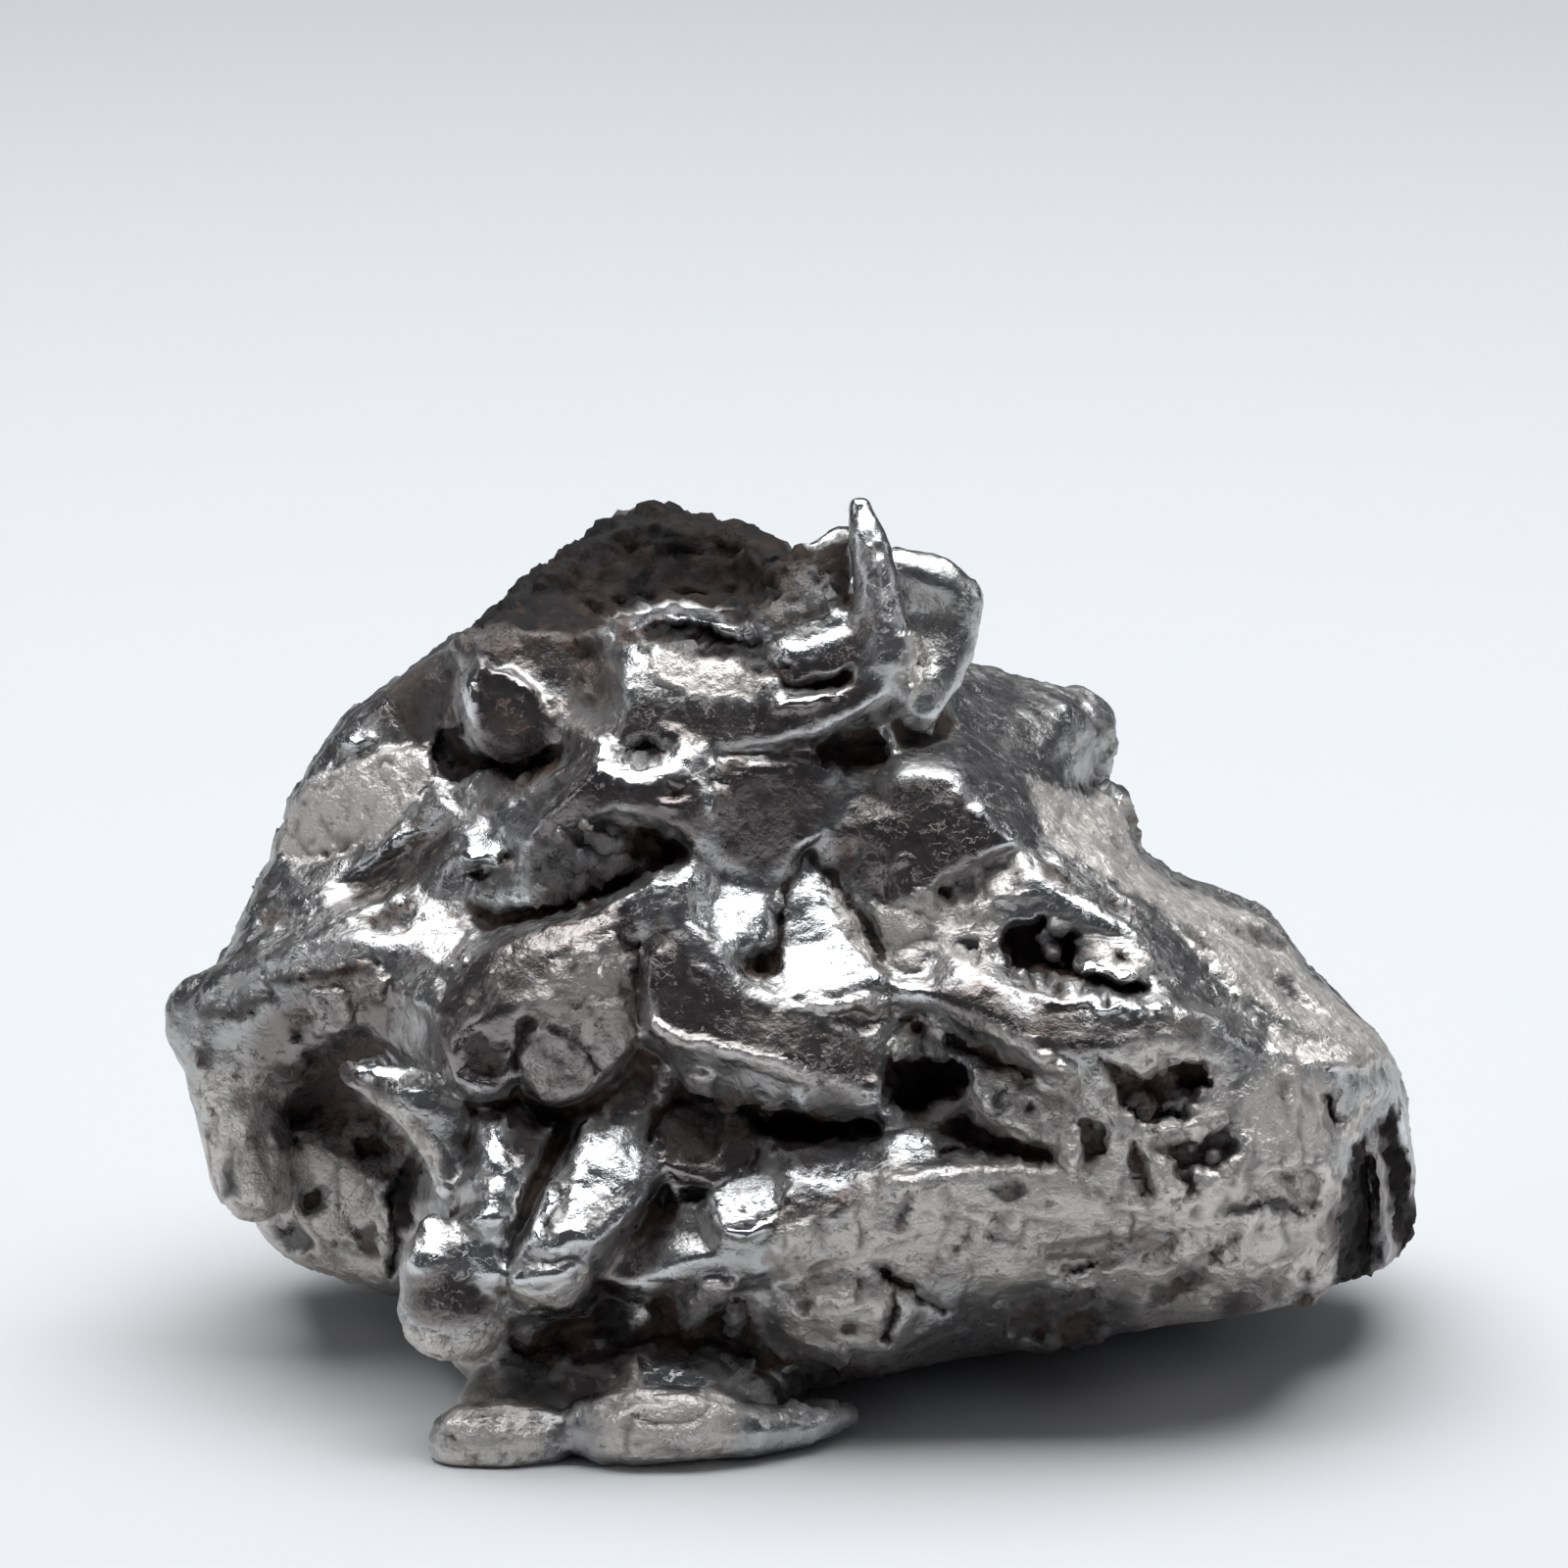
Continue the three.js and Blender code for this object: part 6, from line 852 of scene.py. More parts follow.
        [-9.8, -8.6], [-9.3, -9], [-8.4, -9.15], [-7.6, -8.9], [-7.1, -8.6], [-7, -9.6], [-8, -10],
        [-9, -9.9], [-9.8, -9.3],
    ]),
    # Polished tops whose brighter colour also paints their highlights
    "knobTopPolishAndHighlight": (0, 0, "polishAndHighlight", [[-9.4, -6], [-8.8, -6.1], [-8.7, -7.1], [-9.4, -7.2]]),
    "knobTopRightPolishAndHighlight": (0, 0, "polishAndHighlight", [
        [-8.3, -6.7], [-7.4, -6.6], [-7, -7.3], [-7.7, -7.7], [-8.3, -7.4],
    ]),
    "hornUnder": (0, 0, "matte", [
        [-11.3, -2.35], [-11.15, -3.15], [-10.4, -3.65], [-9.55, -4.15], [-9, -4.7], [-8.8, -5.3],
        [-8.6, -5.2], [-8.75, -4.3], [-9.4, -3.4], [-10.3, -3], [-11, -2.6],
    ]),
    "hornPolishAndHighlight": (0, 0, "polishAndHighlight", [[-10.9, -2.1], [-10, -1.95], [-9.6, -2.3], [-10, -2.6], [-10.7, -2.6]]),
    "crustPlateFilm": (0, 0, "filmAndShade", [
        [-8.8, -0.5], [-8.3, 0.3], [-7, 1.1], [-5.5, 1.6], [-4, 2], [-3.7, 1], [-3.6, -1], [-3.9, -1.9],
        [-4.4, -2.4], [-5.6, -3.2], [-6.2, -3.1], [-6.8, -2.3], [-7.3, -2.8], [-8.2, -2.8], [-8.7, -2],
    ]),
    "bandDark": (0, 0, "filmAndShade", [
        [3.6, -0.2], [4.6, -0.1], [5.4, -0.4], [6.2, -0.9], [7.2, -1.1], [8.6, -1], [10, -0.9], [10.8, -1],
        [10.6, -1.5], [9, -1.6], [7.6, -1.9], [6.4, -1.7], [5.2, -1.2], [4, -0.8],
    ]),
    "endRib": (0.4, 0, "filmAndShade", [[14.95, -3.9], [15.15, -3.7], [15.55, -7.4], [15.3, -7.6]]),
    "hornShade": (-0.1, 0, "crustAndShade", [
        [-12.3, -1.9], [-11.4, -2.2], [-10.9, -3], [-10.3, -3.6], [-9.6, -4.2], [-9.4, -5], [-10.4, -5.3],
        [-11.8, -4.4], [-12.4, -3],
    ]),
    "endFoot": (0.1, -0.2, "filmAndShade", [
        [14.9, -7.4], [15.6, -7.2], [16.3, -6.6], [16.3, -7.2], [15.6, -7.8], [14.9, -8.1],
    ]),
    "hatchFacet": (0.35, 0.4, "filmAndShade", [
        [8.35, -2.25], [9.1, -2.7], [9.45, -3.2], [9.2, -3.55], [8.7, -2.95],
    ]),
    "hatchFive": (-0.4, 0, "crustAndShade", [[9.95, -4.7], [10.3, -4.9], [10.7, -5.5], [10.2, -5.5]]),
    "foldUpper": (-0.35, 0.3, "filmAndShade", [
        [6.5, -6.85], [8.4, -6.4], [10.1, -6.5], [9.8, -7.3], [8.3, -7.35], [7, -7.55],
    ]),
    "foldLower": (-0.35, 0.2, "crustAndShade", [[5.5, -8.2], [7, -7.8], [8.2, -7.9], [8.3, -8.8], [6.6, -9.3]]),
    "foldRight": (-0.3, 0.3, "filmAndShade", [[10.9, -8.2], [12, -7.6], [12.9, -7.3], [12.6, -8.2], [11.2, -8.7]]),
    "foldMiddle": (-0.3, 0.3, "filmAndShade", [[9.6, -7.9], [10.6, -6.9], [11.3, -6.7], [10.7, -7.6]]),
    "clinkerRim": (0.25, 0.5, "polishAndHighlight", [
        [-3.94, 9.06], [-3.48, 9.43], [-2.79, 9.52], [-2.1, 9.36], [-1.41, 9.08], [-0.72, 8.8],
        [-0.95, 8.6], [-1.64, 8.83], [-2.22, 9.11], [-2.9, 9.26], [-3.48, 9.11], [-3.83, 8.83],
    ]),
    "clinkerHoleOne": (-0.3, 0, "crustAndShade", [[-3.37, 9.1], [-2.56, 9.12], [-2.45, 8.83], [-3.25, 8.72]]),
    "clinkerHoleTwo": (-0.3, 0, "crustAndShade", [[-2.2, 9.02], [-1.5, 8.8], [-1.64, 8.55], [-2.3, 8.7]]),
    "clinkerCrumbOne": (0.25, 0.3, "matte", [[-2.5, 8.95], [-2.3, 9], [-2.2, 8.7], [-2.45, 8.65]]),
    "clinkerCrumbTwo": (0.2, 0.3, "matte", [[-3.6, 8.65], [-3.2, 8.7], [-3.3, 8.45], [-3.6, 8.4]]),
    "slopeBladeTip": (0.3, 0.2, "", [[-0.35, 10.35], [0.1, 10.15], [0.3, 9.95], [-0.1, 9.9]]),
    "slopeCrumbOne": (0.3, 0.5, "", [[0.2, 10.1], [0.5, 10.2], [0.55, 9.95], [0.3, 9.85]]),
    "slopeCrumbTwo": (0.3, 0.5, "", [[0.7, 9.8], [1, 9.85], [1, 9.55], [0.75, 9.5]]),
    "slopeCrumbThree": (0.25, 0.5, "", [[0.1, 9.5], [0.4, 9.55], [0.45, 9.3], [0.15, 9.25]]),
    "slopeCrumbFour": (0.25, 0.5, "", [[1.2, 10.3], [1.45, 10.35], [1.45, 10.1], [1.2, 10.05]]),
    "slopePinhole": (-0.3, 0, "crustAndShade", [[0.55, 10.5], [0.85, 10.55], [0.8, 10.2], [0.6, 10.15]]),
    "recessStreakOne": (0.3, -0.3, "matte", [[-5.25, 4], [-5, 4.1], [-4.25, 3.35], [-4.45, 3.2]]),
    "recessStreakTwo": (0.3, -0.3, "matte", [[-4.7, 3.95], [-4.45, 4], [-3.8, 3.35], [-4, 3.2]]),
    "recessStreakThree": (0.3, -0.3, "matte", [[-5.4, 3.2], [-5.15, 3.3], [-4.4, 2.75], [-4.55, 2.6]]),
    "eyeHole": (-1, 0, "darkCrustAndShadow", [
        [5.65, 1.3], [6.05, 1.42], [6.5, 1.38], [6.62, 1.6], [6.72, 1.33], [6.5, 1.12], [6.42, 0.95],
        [6.65, 0.8], [6.58, 0.62], [6.75, 0.45], [7.05, 0.3], [7.1, 0.12], [6.8, 0.15], [6.5, 0.28],
        [6.15, 0.35], [5.95, 0.2], [5.75, 0.5], [5.62, 0.9],
    ]),
    "eyeHoleRight": (-1, 0, "darkCrustAndShadow", [
        [6.75, 1.28], [7.05, 1.13], [7.38, 1.15], [7.45, 0.7], [7.4, 0.35], [7.6, 0.12], [7.45, 0],
        [7.15, 0.12], [7.1, 0.35], [7, 0.75], [6.95, 1.05],
    ]),
    "eyeCrack": (-0.8, 0, "darkCrustAndShadow", [
        [7.45, 0.15], [8.1, 0.05], [8.7, -0.12], [9.3, -0.1], [9.2, -0.4], [8.6, -0.42], [8.1, -0.25],
        [7.6, 0],
    ]),
    "eyeShard": (-0.2, 0.5, "", [
        [6.5, 1.12], [6.95, 1.05], [7, 0.75], [7.1, 0.35], [6.75, 0.45], [6.58, 0.62], [6.65, 0.8],
        [6.42, 0.95],
    ]),
    "eyeLump": (0.25, 0.3, "matte", [
        [7.45, 0.83], [7.8, 0.97], [8.29, 1.04], [8.92, 0.9], [9.27, 0.69], [9.41, 0.34], [9.2, -0.01],
        [8.71, -0.08], [8.15, 0.1], [7.66, 0.2], [7.45, 0.41],
    ]),
    "eyeLumpGleam": (0.1, 0.5, "polishAndHighlight", [
        [7.5, 0.45], [8, 0.4], [8.4, 0.3], [8.9, 0.3], [9.1, 0.1], [8.7, -0.02], [8.15, 0.13], [7.7, 0.23],
    ]),
    "eyeLumpTopGleam": (0.1, 0.5, "polishAndHighlight", [[8.2, 0.98], [8.8, 0.9], [9.1, 0.7], [8.9, 0.66], [8.5, 0.8]]),
    "eyeCrumbGap": (-0.35, 0, "darkCrustAndShadow", [[6.2, 0.2], [6.32, 0.2], [6.4, -0.25], [6.25, -0.25]]),
    "eyeCrumbGapTwo": (-0.35, 0, "darkCrustAndShadow", [[6.62, 0.12], [6.76, 0.1], [6.72, -0.3], [6.58, -0.25]]),
    "eyeCrumbGapThree": (-0.35, 0, "darkCrustAndShadow", [[6.95, 0], [7.08, -0.05], [7.12, -0.45], [6.98, -0.42]]),
    "eyeCrumbGapFour": (-0.35, 0, "darkCrustAndShadow", [[7.45, -0.1], [7.6, -0.12], [7.72, -0.5], [7.55, -0.5]]),
    "eyeCrumbGapFive": (-0.35, 0, "darkCrustAndShadow", [[8.12, -0.35], [8.28, -0.45], [8.32, -0.72], [8.15, -0.66]]),
    "eyeCrumbGapSix": (-0.35, 0, "darkCrustAndShadow", [[8.78, -0.48], [8.92, -0.48], [9, -0.72], [8.84, -0.7]]),
    "eyeCrumb": (0.15, 0.6, "", [[6.4, 0.1], [6.58, 0.1], [6.55, -0.2], [6.42, -0.2]]),
    "eyeCrumbTwo": (0.15, 0.6, "", [[6.78, 0.12], [6.95, 0.05], [6.93, -0.2], [6.76, -0.2]]),
    "eyeCrumbThree": (0.15, 0.6, "", [[7.15, 0], [7.4, -0.05], [7.45, -0.35], [7.18, -0.3]]),
    "eyeCrumbFour": (0.15, 0.6, "", [[7.7, -0.15], [8, -0.25], [8.05, -0.5], [7.78, -0.45]]),
    "eyeCrumbFive": (0.15, 0.6, "", [[8.38, -0.5], [8.7, -0.5], [8.7, -0.72], [8.42, -0.72]]),
    "blockShade": (-0.2, 0, "crustAndShade", [
        [-9.7, 8.1], [-8.9, 8.55], [-8.3, 8.1], [-8.35, 7.2], [-8.8, 6.3], [-9.3, 5.8], [-9.9, 6.4],
        [-10.1, 7.3],
    ]),
    "blockShadeDull": (0, 0, "filmAndShade", [
        [-10.7, 7.1], [-10, 8], [-9.4, 8.6], [-8.4, 8.7], [-8.3, 6.4], [-9.3, 5.6], [-10.2, 6.2],
    ]),
}

# Lines on the back relief
backCreases = {
    "spine": [
        [-9, 3, -18.5], [-5, 4.2, -20.5], [-1, 2.6, -21.8], [3, 1.4, -21.2], [7.5, -0.6, -20.4],
        [12, -3.2, -18],
    ],
    "crown": [[-8, 7.2, -15.6], [-5.4, 8.6, -16.8], [-2, 8.4, -17.6], [1.4, 7.6, -17.6], [4.6, 5, -18]],
    "saddle": [[-6.6, 6.2, -17.6], [-2.4, 5.6, -18.8], [1.6, 4.6, -18.9], [5.6, 2.8, -18.6]],
    "waist": [
        [-11.6, -0.8, -16.6], [-7.4, -1.6, -19], [-2.8, -2, -20.2], [2, -2.8, -20], [6.8, -4.4, -18.6],
        [12.2, -5.6, -15.6],
    ],
    "hip": [
        [-11.6, -4, -16.4], [-8, -4.8, -18.2], [-3.6, -5, -19.4], [1.2, -5.6, -19], [5.6, -6.4, -18.2],
        [10, -6.6, -16.2],
    ],
    "heel": [
        [-11.4, -6.6, -14.6], [-6.4, -7.3, -15.4], [-1, -7.5, -14.4], [3.2, -7.5, -14.6],
        [7.4, -7.4, -15.2], [11.2, -6.8, -14],
    ],
    "sole": [
        [-10.4, -7.9, -12.6], [-6, -8.8, -9.6], [-1, -9.7, -6.8], [3.6, -9.9, -6.9], [7, -9.2, -8.8],
        [11, -8.4, -11.4],
    ],
}

# Balls along a line that are joined to the stone: blend, then across, up, toward, radius
raised = {
    "spike": (0.3, [
        [1.95, 12, -2.4, 0.3], [2.15, 11.2, -2.1, 0.5], [2.35, 10.2, -1.9, 0.6], [2.5, 9.2, -1.6, 0.65],
        [2.7, 8.2, -1.4, 0.7],
    ]),
    "blade": (0.5, [[1.5, 11.2, -3, 0.35], [1.2, 10.4, -3, 0.6], [0.6, 9.8, -3, 0.6]]),
    "bladeEdge": (0.3, [[-0.2, 10.3, -2.8, 0.22], [0.5, 10.5, -2.9, 0.4], [1.2, 11, -2.9, 0.35]]),
    "lobe": (0.5, [
        [2.9, 10.3, -3.9, 0.7], [3.8, 10, -4.1, 0.8], [4.4, 9.6, -4.2, 0.7], [4.3, 8.7, -4.2, 0.65],
        [4, 7.8, -3.9, 0.6], [3.4, 6.9, -3.3, 0.6],
    ]),
    "lobeCore": (0.5, [[3.2, 9.4, -5, 1.2], [3.3, 8, -4.6, 1.1]]),
    "rearKnob": (0.3, [[6.6, 6.3, -12.6, 1.15], [7.4, 6.2, -12.6, 1.05]]),
    "rearKnobNeck": (0.6, [[5.4, 6.2, -12, 1.2], [6.6, 4.6, -12.6, 1.4]]),
    "leftLedge": (0.5, [
        [-14.7, -1, -7.9, 1.1], [-13.6, -0.6, -6.6, 1], [-12, 0, -5.4, 0.8], [-10.6, 0.2, -4.5, 0.75],
    ]),
    "knob": (0.35, [[-8.5, -7.4, -0.7, 1.3], [-8.4, -8.3, -0.7, 1.45]]),
    "toeLeft": (0.4, [[-8.15, -11.8, -0.5, 0.93], [-7.2, -11.75, -0.4, 0.98], [-6.2, -11.65, -0.5, 0.85]]),
    "toeLeftNeck": (0.4, [[-7.6, -11, -1.8, 0.8], [-6.8, -10.2, -2.6, 1]]),
    "toeRight": (0.35, [
        [-4.9, -11.4, -0.3, 0.8], [-3.8, -11.4, 0, 1], [-2.4, -11.3, 0, 0.95], [-0.9, -11.5, -0.3, 0.7],
        [0.5, -11.4, -1, 0.5], [1.5, -11.1, -2, 0.4],
    ]),
    "padLeft": (0.9, [[-6.8, -7.3, -15.2, 1.9]]),
    "padRight": (0.9, [[7.2, -7.3, -15.2, 1.9]]),
    "footRoot": (0.8, [[-6.8, -9.2, -4, 1.7], [-4, -9.5, -3.8, 1.8], [-1, -9.9, -3.6, 1.4]]),
    "footCore": (0.5, [[-6.6, -10.6, -2.4, 1], [-3.6, -10.6, -2, 1.1], [-1, -10.9, -2, 0.9]]),
    "toePad": (0.3, [[-4.6, -12, 0, 0.4]]),
    "knobShoulderLeft": (0.2, [[-8.95, -6.4, -0.3, 0.4], [-9.05, -7.2, 0.15, 0.6]]),
    "knobShoulderRight": (0.2, [[-7.9, -6.9, 0.1, 0.5], [-7.5, -7.5, 0.2, 0.45]]),
    "hornCone": (0.25, [
        [-11.25, -2.3, -2.2, 0.14], [-10.8, -2.5, -1.9, 0.34], [-10.2, -2.7, -1.6, 0.5],
        [-9.4, -3, -1.4, 0.75], [-8.8, -3.6, -1.6, 0.85], [-8.6, -4.4, -1.5, 0.6], [-8.5, -5.3, -1.1, 0.4],
    ]),
    "leftCheek": (0.7, [[-14.2, -1.7, -7.6, 1.3], [-13.9, -3.4, -7.6, 1.15], [-13.5, -5.2, -7.9, 1.1]]),
}

# Balls along a line that are taken from the stone
sunk = {
    "cavern": (0.6, [[-3.8, 10.2, -7.4, 1.5], [-2.4, 10.4, -8, 1.6], [-1.2, 10.3, -7.2, 1.3]]),
    "rimGroove": (0.2, [[-3.6, 8.72, -2.7, 0.22], [-2.5, 8.75, -2.5, 0.25], [-1.3, 8.75, -2.2, 0.25]]),
    "lobeCup": (0.3, [[3.7, 9.2, -3, 0.65], [3.6, 8.3, -2.9, 0.45]]),
    "slopePits": (0.3, [[11.6, 1.2, -6.6, 0.5], [12.6, 1.1, -8.4, 0.6]]),
    "slopeCup": (0.3, [[12.7, -0.1, -5.2, 0.6], [13.4, -0.6, -5.4, 0.5]]),
    "leftNiche": (0.3, [[-12.4, -1.4, -4.6, 0.5], [-12.2, -1.6, -4.6, 0.4]]),
    "thumbprintBack": (1, [[-4, 0.8, -23.4, 3.4], [-2.4, 0, -23.6, 3]]),
    "thumbprintSide": (1, [[3.6, -2.2, -23.3, 2.9]]),
    "thumbprintShoulder": (1, [[6.2, 3.2, -21.2, 2.7], [7.2, 2.4, -21.2, 2.4]]),
    "thumbprintLeft": (1, [[-8, -1.6, -21.8, 2.8]]),
    "thumbprintCrown": (0.8, [[-1, 7.4, -20.8, 2.6], [1, 7.2, -20.6, 2.2]]),
    "thumbprintHip": (1, [[9.8, -4.4, -20, 2.5]]),
    "thumbprintEdge": (0.8, [[-11, 2.8, -18.6, 2.4]]),
    "thumbprintHeel": (0.8, [[0.2, -6, -21.2, 2.5]]),
    "backGroove": (0.5, [[-9, 5.4, -18.6, 0.8], [-6.4, 4, -21, 0.8], [-4.8, 3.6, -21.6, 0.6]]),
    "backCleft": (0.5, [[1.4, 1, -22.2, 0.7], [3.2, 3, -21.4, 0.8], [3.6, 5, -19.8, 0.8]]),
    "knobCrease": (0.2, [[-8.4, -6, 0.7, 0.35], [-8.3, -6.8, 0.85, 0.3], [-8, -7.4, 1, 0.2]]),
    "knobFlat": (0.3, [[-8.5, -8, 2.35, 1.3]]),
    "hornDimple": (0.15, [[-9.5, -2.45, -0.7, 0.3]]),
    "crestSaddle": (0.8, [[2.7, 11, -7.2, 1.2], [2.9, 10.9, -9.5, 1.7], [3.2, 10.6, -12.5, 2.2]]),
}

# Kinds of surface, as discs in the picture: across, up, radius
# The crust and dull discs darken their places, crust and film together with painted shade.
discs = {
    "crustAndShade": [
        (-2.6, 10.7, 1.7), (-4.6, 10.6, 1.3), (-6.2, 9.6, 1.3), (-0.4, 10.4, 0.9), (-7.6, 8.8, 0.9),
        (-5.4, 8.9, 1.1), (-2.6, 8.75, 0.4), (-1.2, 8.9, 0.5), (-4.6, 3.2, 1.1), (-5.6, 2.7, 0.9),
        (-3.4, 3.4, 0.7), (3.6, -2.7, 1.1), (1.8, 5.7, 0.7), (-1, -3.4, 0.8), (1.2, -3.7, 0.9),
        (-7.2, -3.4, 0.7), (7, 0.7, 0.9), (-6.4, -9.8, 0.9), (-2.6, -9.3, 0.9), (1.8, -10.3, 0.9),
        (-4.7, 7.4, 0.7), (-6.9, 5.5, 0.9), (14.5, -6.4, 0.7), (7.2, -9.2, 1),
    ],
    "matte": [
        (3, -6.3, 1.5), (5.4, -6.2, 1.8), (8, -6.2, 2), (10.5, -6.2, 2), (12.6, -5.8, 1.8),
        (12.8, -3.6, 1.4), (12.8, -7.6, 1.3), (10, -8, 1.3), (0.6, -6.8, 0.9), (-5.4, -1.2, 1.5),
        (1.6, -8.4, 1.6), (-12, -6, 2.6), (-14, -3, 1), (-3, -11.3, 1.8), (-7.5, -11.8, 1.4), (4.6, 1.4, 1),
        (5.6, 2.6, 0.6), (9.6, -3.2, 1.9), (7.6, -3.6, 1.2), (-13, -4.8, 2),
    ],
    "filmAndShade": [
        (-11.8, -2.2, 1.9), (-11, -0.8, 1.2), (7, -1, 0.7), (5, -0.6, 0.7),
    ],
}
surfaceKinds = ("crustAndShade", "matte", "filmAndShade", "darkCrustAndShadow", "polishAndHighlight")

# The sheets cover the picture, and the lattice fills the space around the stone
sheetStep = 0.07
sheetLow = np.array([-19.0, -15.0])
sheetCount = (543, 429)
latticeStep = 0.13
latticeLow = np.array([-17.2, -4.6, -0.6])
latticeHigh = np.array([17.6, 23.0, 24.4])
latticeCount = np.ceil((latticeHigh - latticeLow) / latticeStep).astype(int)
axes = [latticeLow[n] + np.arange(latticeCount[n]) * latticeStep for n in range(3)]
cubeCorners = [(c & 1, c >> 1 & 1, c >> 2) for c in range(8)]
tiny = 1e-9
veryFar = 1e9

relief = {
    "creaseSpacing": 0.45,
    "leastGap": 0.1,
    "frontBlur": 0.09,
    "backBlur": 0.3,
    "slopeBlur": 0.12,
    "leastSlope": 0.16,
    "edgeBlend": 1.4,
    "wobble": 0.22,  # how far the edges of the steps stray
    "wobbleSize": 0.42,
    "stepMargin": 0.3,
    "stepEdge": 0.06,
}


def worldPoint(place):
    across, up, toward = place[:3]
    spread = 1 - toward / eyeDistance
    rise = up * spread
    depth = rise * sinTilt - toward * cosTilt
    height = rise * cosTilt + toward * sinTilt + floorDrop
    return np.array([across * spread, depth, height])


def picturePlace(x, y, z):
    height = z - floorDrop
    toward = height * sinTilt - y * cosTilt
    spread = 1 - toward / eyeDistance
    return x / spread, (y * sinTilt + height * cosTilt) / spread, toward


def softMin(a, b, blend):
    overlap = np.maximum(blend - np.abs(a - b), 0) / blend
    return np.minimum(a, b) - overlap * overlap * blend / 4


def softMax(a, b, blend):
    return -softMin(-a, -b, blend)


def smooth(low, high, value):
    t = np.clip((value - low) / (high - low), 0, 1)
    return t * t * (3 - 2 * t)


def sheetPlaces():
    return np.meshgrid(*(sheetLow[n] + np.arange(sheetCount[n]) * sheetStep for n in (0, 1)), indexing="ij")


# The part of a grid that lies within reach of some places
def windowAround(places, reach, low, step):
    first = np.floor((places.min(0) - reach - low) / step).astype(int)
    last = np.ceil((places.max(0) + reach - low) / step).astype(int)
    return tuple(slice(max(a, 0), max(b, 0)) for a, b in zip(first, last))


def alongCrease(crease):
    crease = np.array(crease, float)
    places = []
    for start, end in zip(crease[:-1], crease[1:]):
        parts = max(1, math.ceil(np.hypot(*(end - start)[:2]) / relief["creaseSpacing"]))
        places += [start + (end - start) * n / parts for n in range(parts)]
    return places + [crease[-1]]


def blurred(sheet, radius):
    reach = max(1, math.ceil(2.5 * radius / sheetStep))
    weights = np.exp(-0.5 * (np.arange(-reach, reach + 1) * sheetStep / radius) ** 2)
    weights /= weights.sum()
    for axis in (0, 1):
        padded = np.pad(sheet, [(reach, reach) if n == axis else (0, 0) for n in (0, 1)], mode="edge")
        span = sheet.shape[axis]
        sheet = sum(w * np.take(padded, range(n, n + span), axis=axis) for n, w in enumerate(weights))
    return sheet


# A sheet of heights over the picture, flat between the creases
def reliefSheet(creases, unset):
    kept = []
    for place in (p for crease in creases for p in alongCrease(crease)):
        if not kept or np.min(np.hypot(*(np.array(kept)[:, :2] - place[:2]).T)) > relief["leastGap"]:
            kept.append(place)
    kept = np.array(kept)
    joined = geometry.delaunay_2d_cdt([Vector(p[:2]) for p in kept], [], [], 0, 1e-5)
    triangles, origins = joined[2], joined[3]
    places = np.array([kept[origin[0]] for origin in origins])
    sheet = np.full(sheetCount, unset)
    for triangle in triangles:
        a, b, c = places[list(triangle)]
        area = (b[0] - a[0]) * (c[1] - a[1]) - (b[1] - a[1]) * (c[0] - a[0])
        if abs(area) < tiny:
            continue
        first = np.ceil((np.minimum(np.minimum(a, b), c)[:2] - sheetLow) / sheetStep).astype(int)
        last = np.floor((np.maximum(np.maximum(a, b), c)[:2] - sheetLow) / sheetStep).astype(int) + 1
        i, j = np.mgrid[first[0]:last[0], first[1]:last[1]]
        if not i.size:
            continue
        x, y = sheetLow[0] + i * sheetStep - a[0], sheetLow[1] + j * sheetStep - a[1]
        towardB = (x * (c[1] - a[1]) - y * (c[0] - a[0])) / area
        towardC = ((b[0] - a[0]) * y - (b[1] - a[1]) * x) / area
        held = (towardB >= -tiny) & (towardC >= -tiny) & (towardB + towardC <= 1 + tiny)
        sheet[i[held], j[held]] = (a[2] + (b[2] - a[2]) * towardB + (c[2] - a[2]) * towardC)[held]
    return sheet


def slopeSheet(sheet):
    rises = np.gradient(blurred(sheet, relief["slopeBlur"]), sheetStep)
    return np.maximum(relief["leastSlope"], 1 / np.sqrt(1 + rises[0] ** 2 + rises[1] ** 2))


# Distance to a closed line in the picture, less than nothing inside it
def ringDistance(ring, x, y):
    nearest = np.full(x.shape, veryFar)
    inside = np.zeros(x.shape, bool)
    for start, end in zip(ring, ring[1:] + ring[:1]):
        ax, ay, bx, by = start[0], start[1], end[0], end[1]
        along = ((x - ax) * (bx - ax) + (y - ay) * (by - ay)) / ((bx - ax) ** 2 + (by - ay) ** 2)
        along = np.clip(along, 0, 1)
        nearest = np.minimum(nearest, np.hypot(x - ax - along * (bx - ax), y - ay - along * (by - ay)))
        if ay != by:
            inside ^= ((ay > y) != (by > y)) & (x < (bx - ax) * (y - ay) / (by - ay) + ax)
    return np.where(inside, -nearest, nearest)


random = np.random.default_rng(7)
shuffle = random.permutation(256)
gradients = random.normal(size=(256, 3))
gradients /= np.linalg.norm(gradients, axis=1)[:, None]
jitters = random.random((256, 3))


def cellNumber(cell):
    return shuffle[(shuffle[(shuffle[cell[:, 0] & 255] + cell[:, 1]) & 255] + cell[:, 2]) & 255]


# Smooth noise
def grain(points):
    cell = np.floor(points).astype(int)
    frac = points - cell
    fade = frac ** 3 * (frac * (frac * 6 - 15) + 10)
    total = 0
    for c in cubeCorners:
        weight = np.prod(np.where(c, fade, 1 - fade), axis=1)
        total = total + weight * np.sum(gradients[cellNumber(cell + c)] * (frac - c), axis=1)
    return total


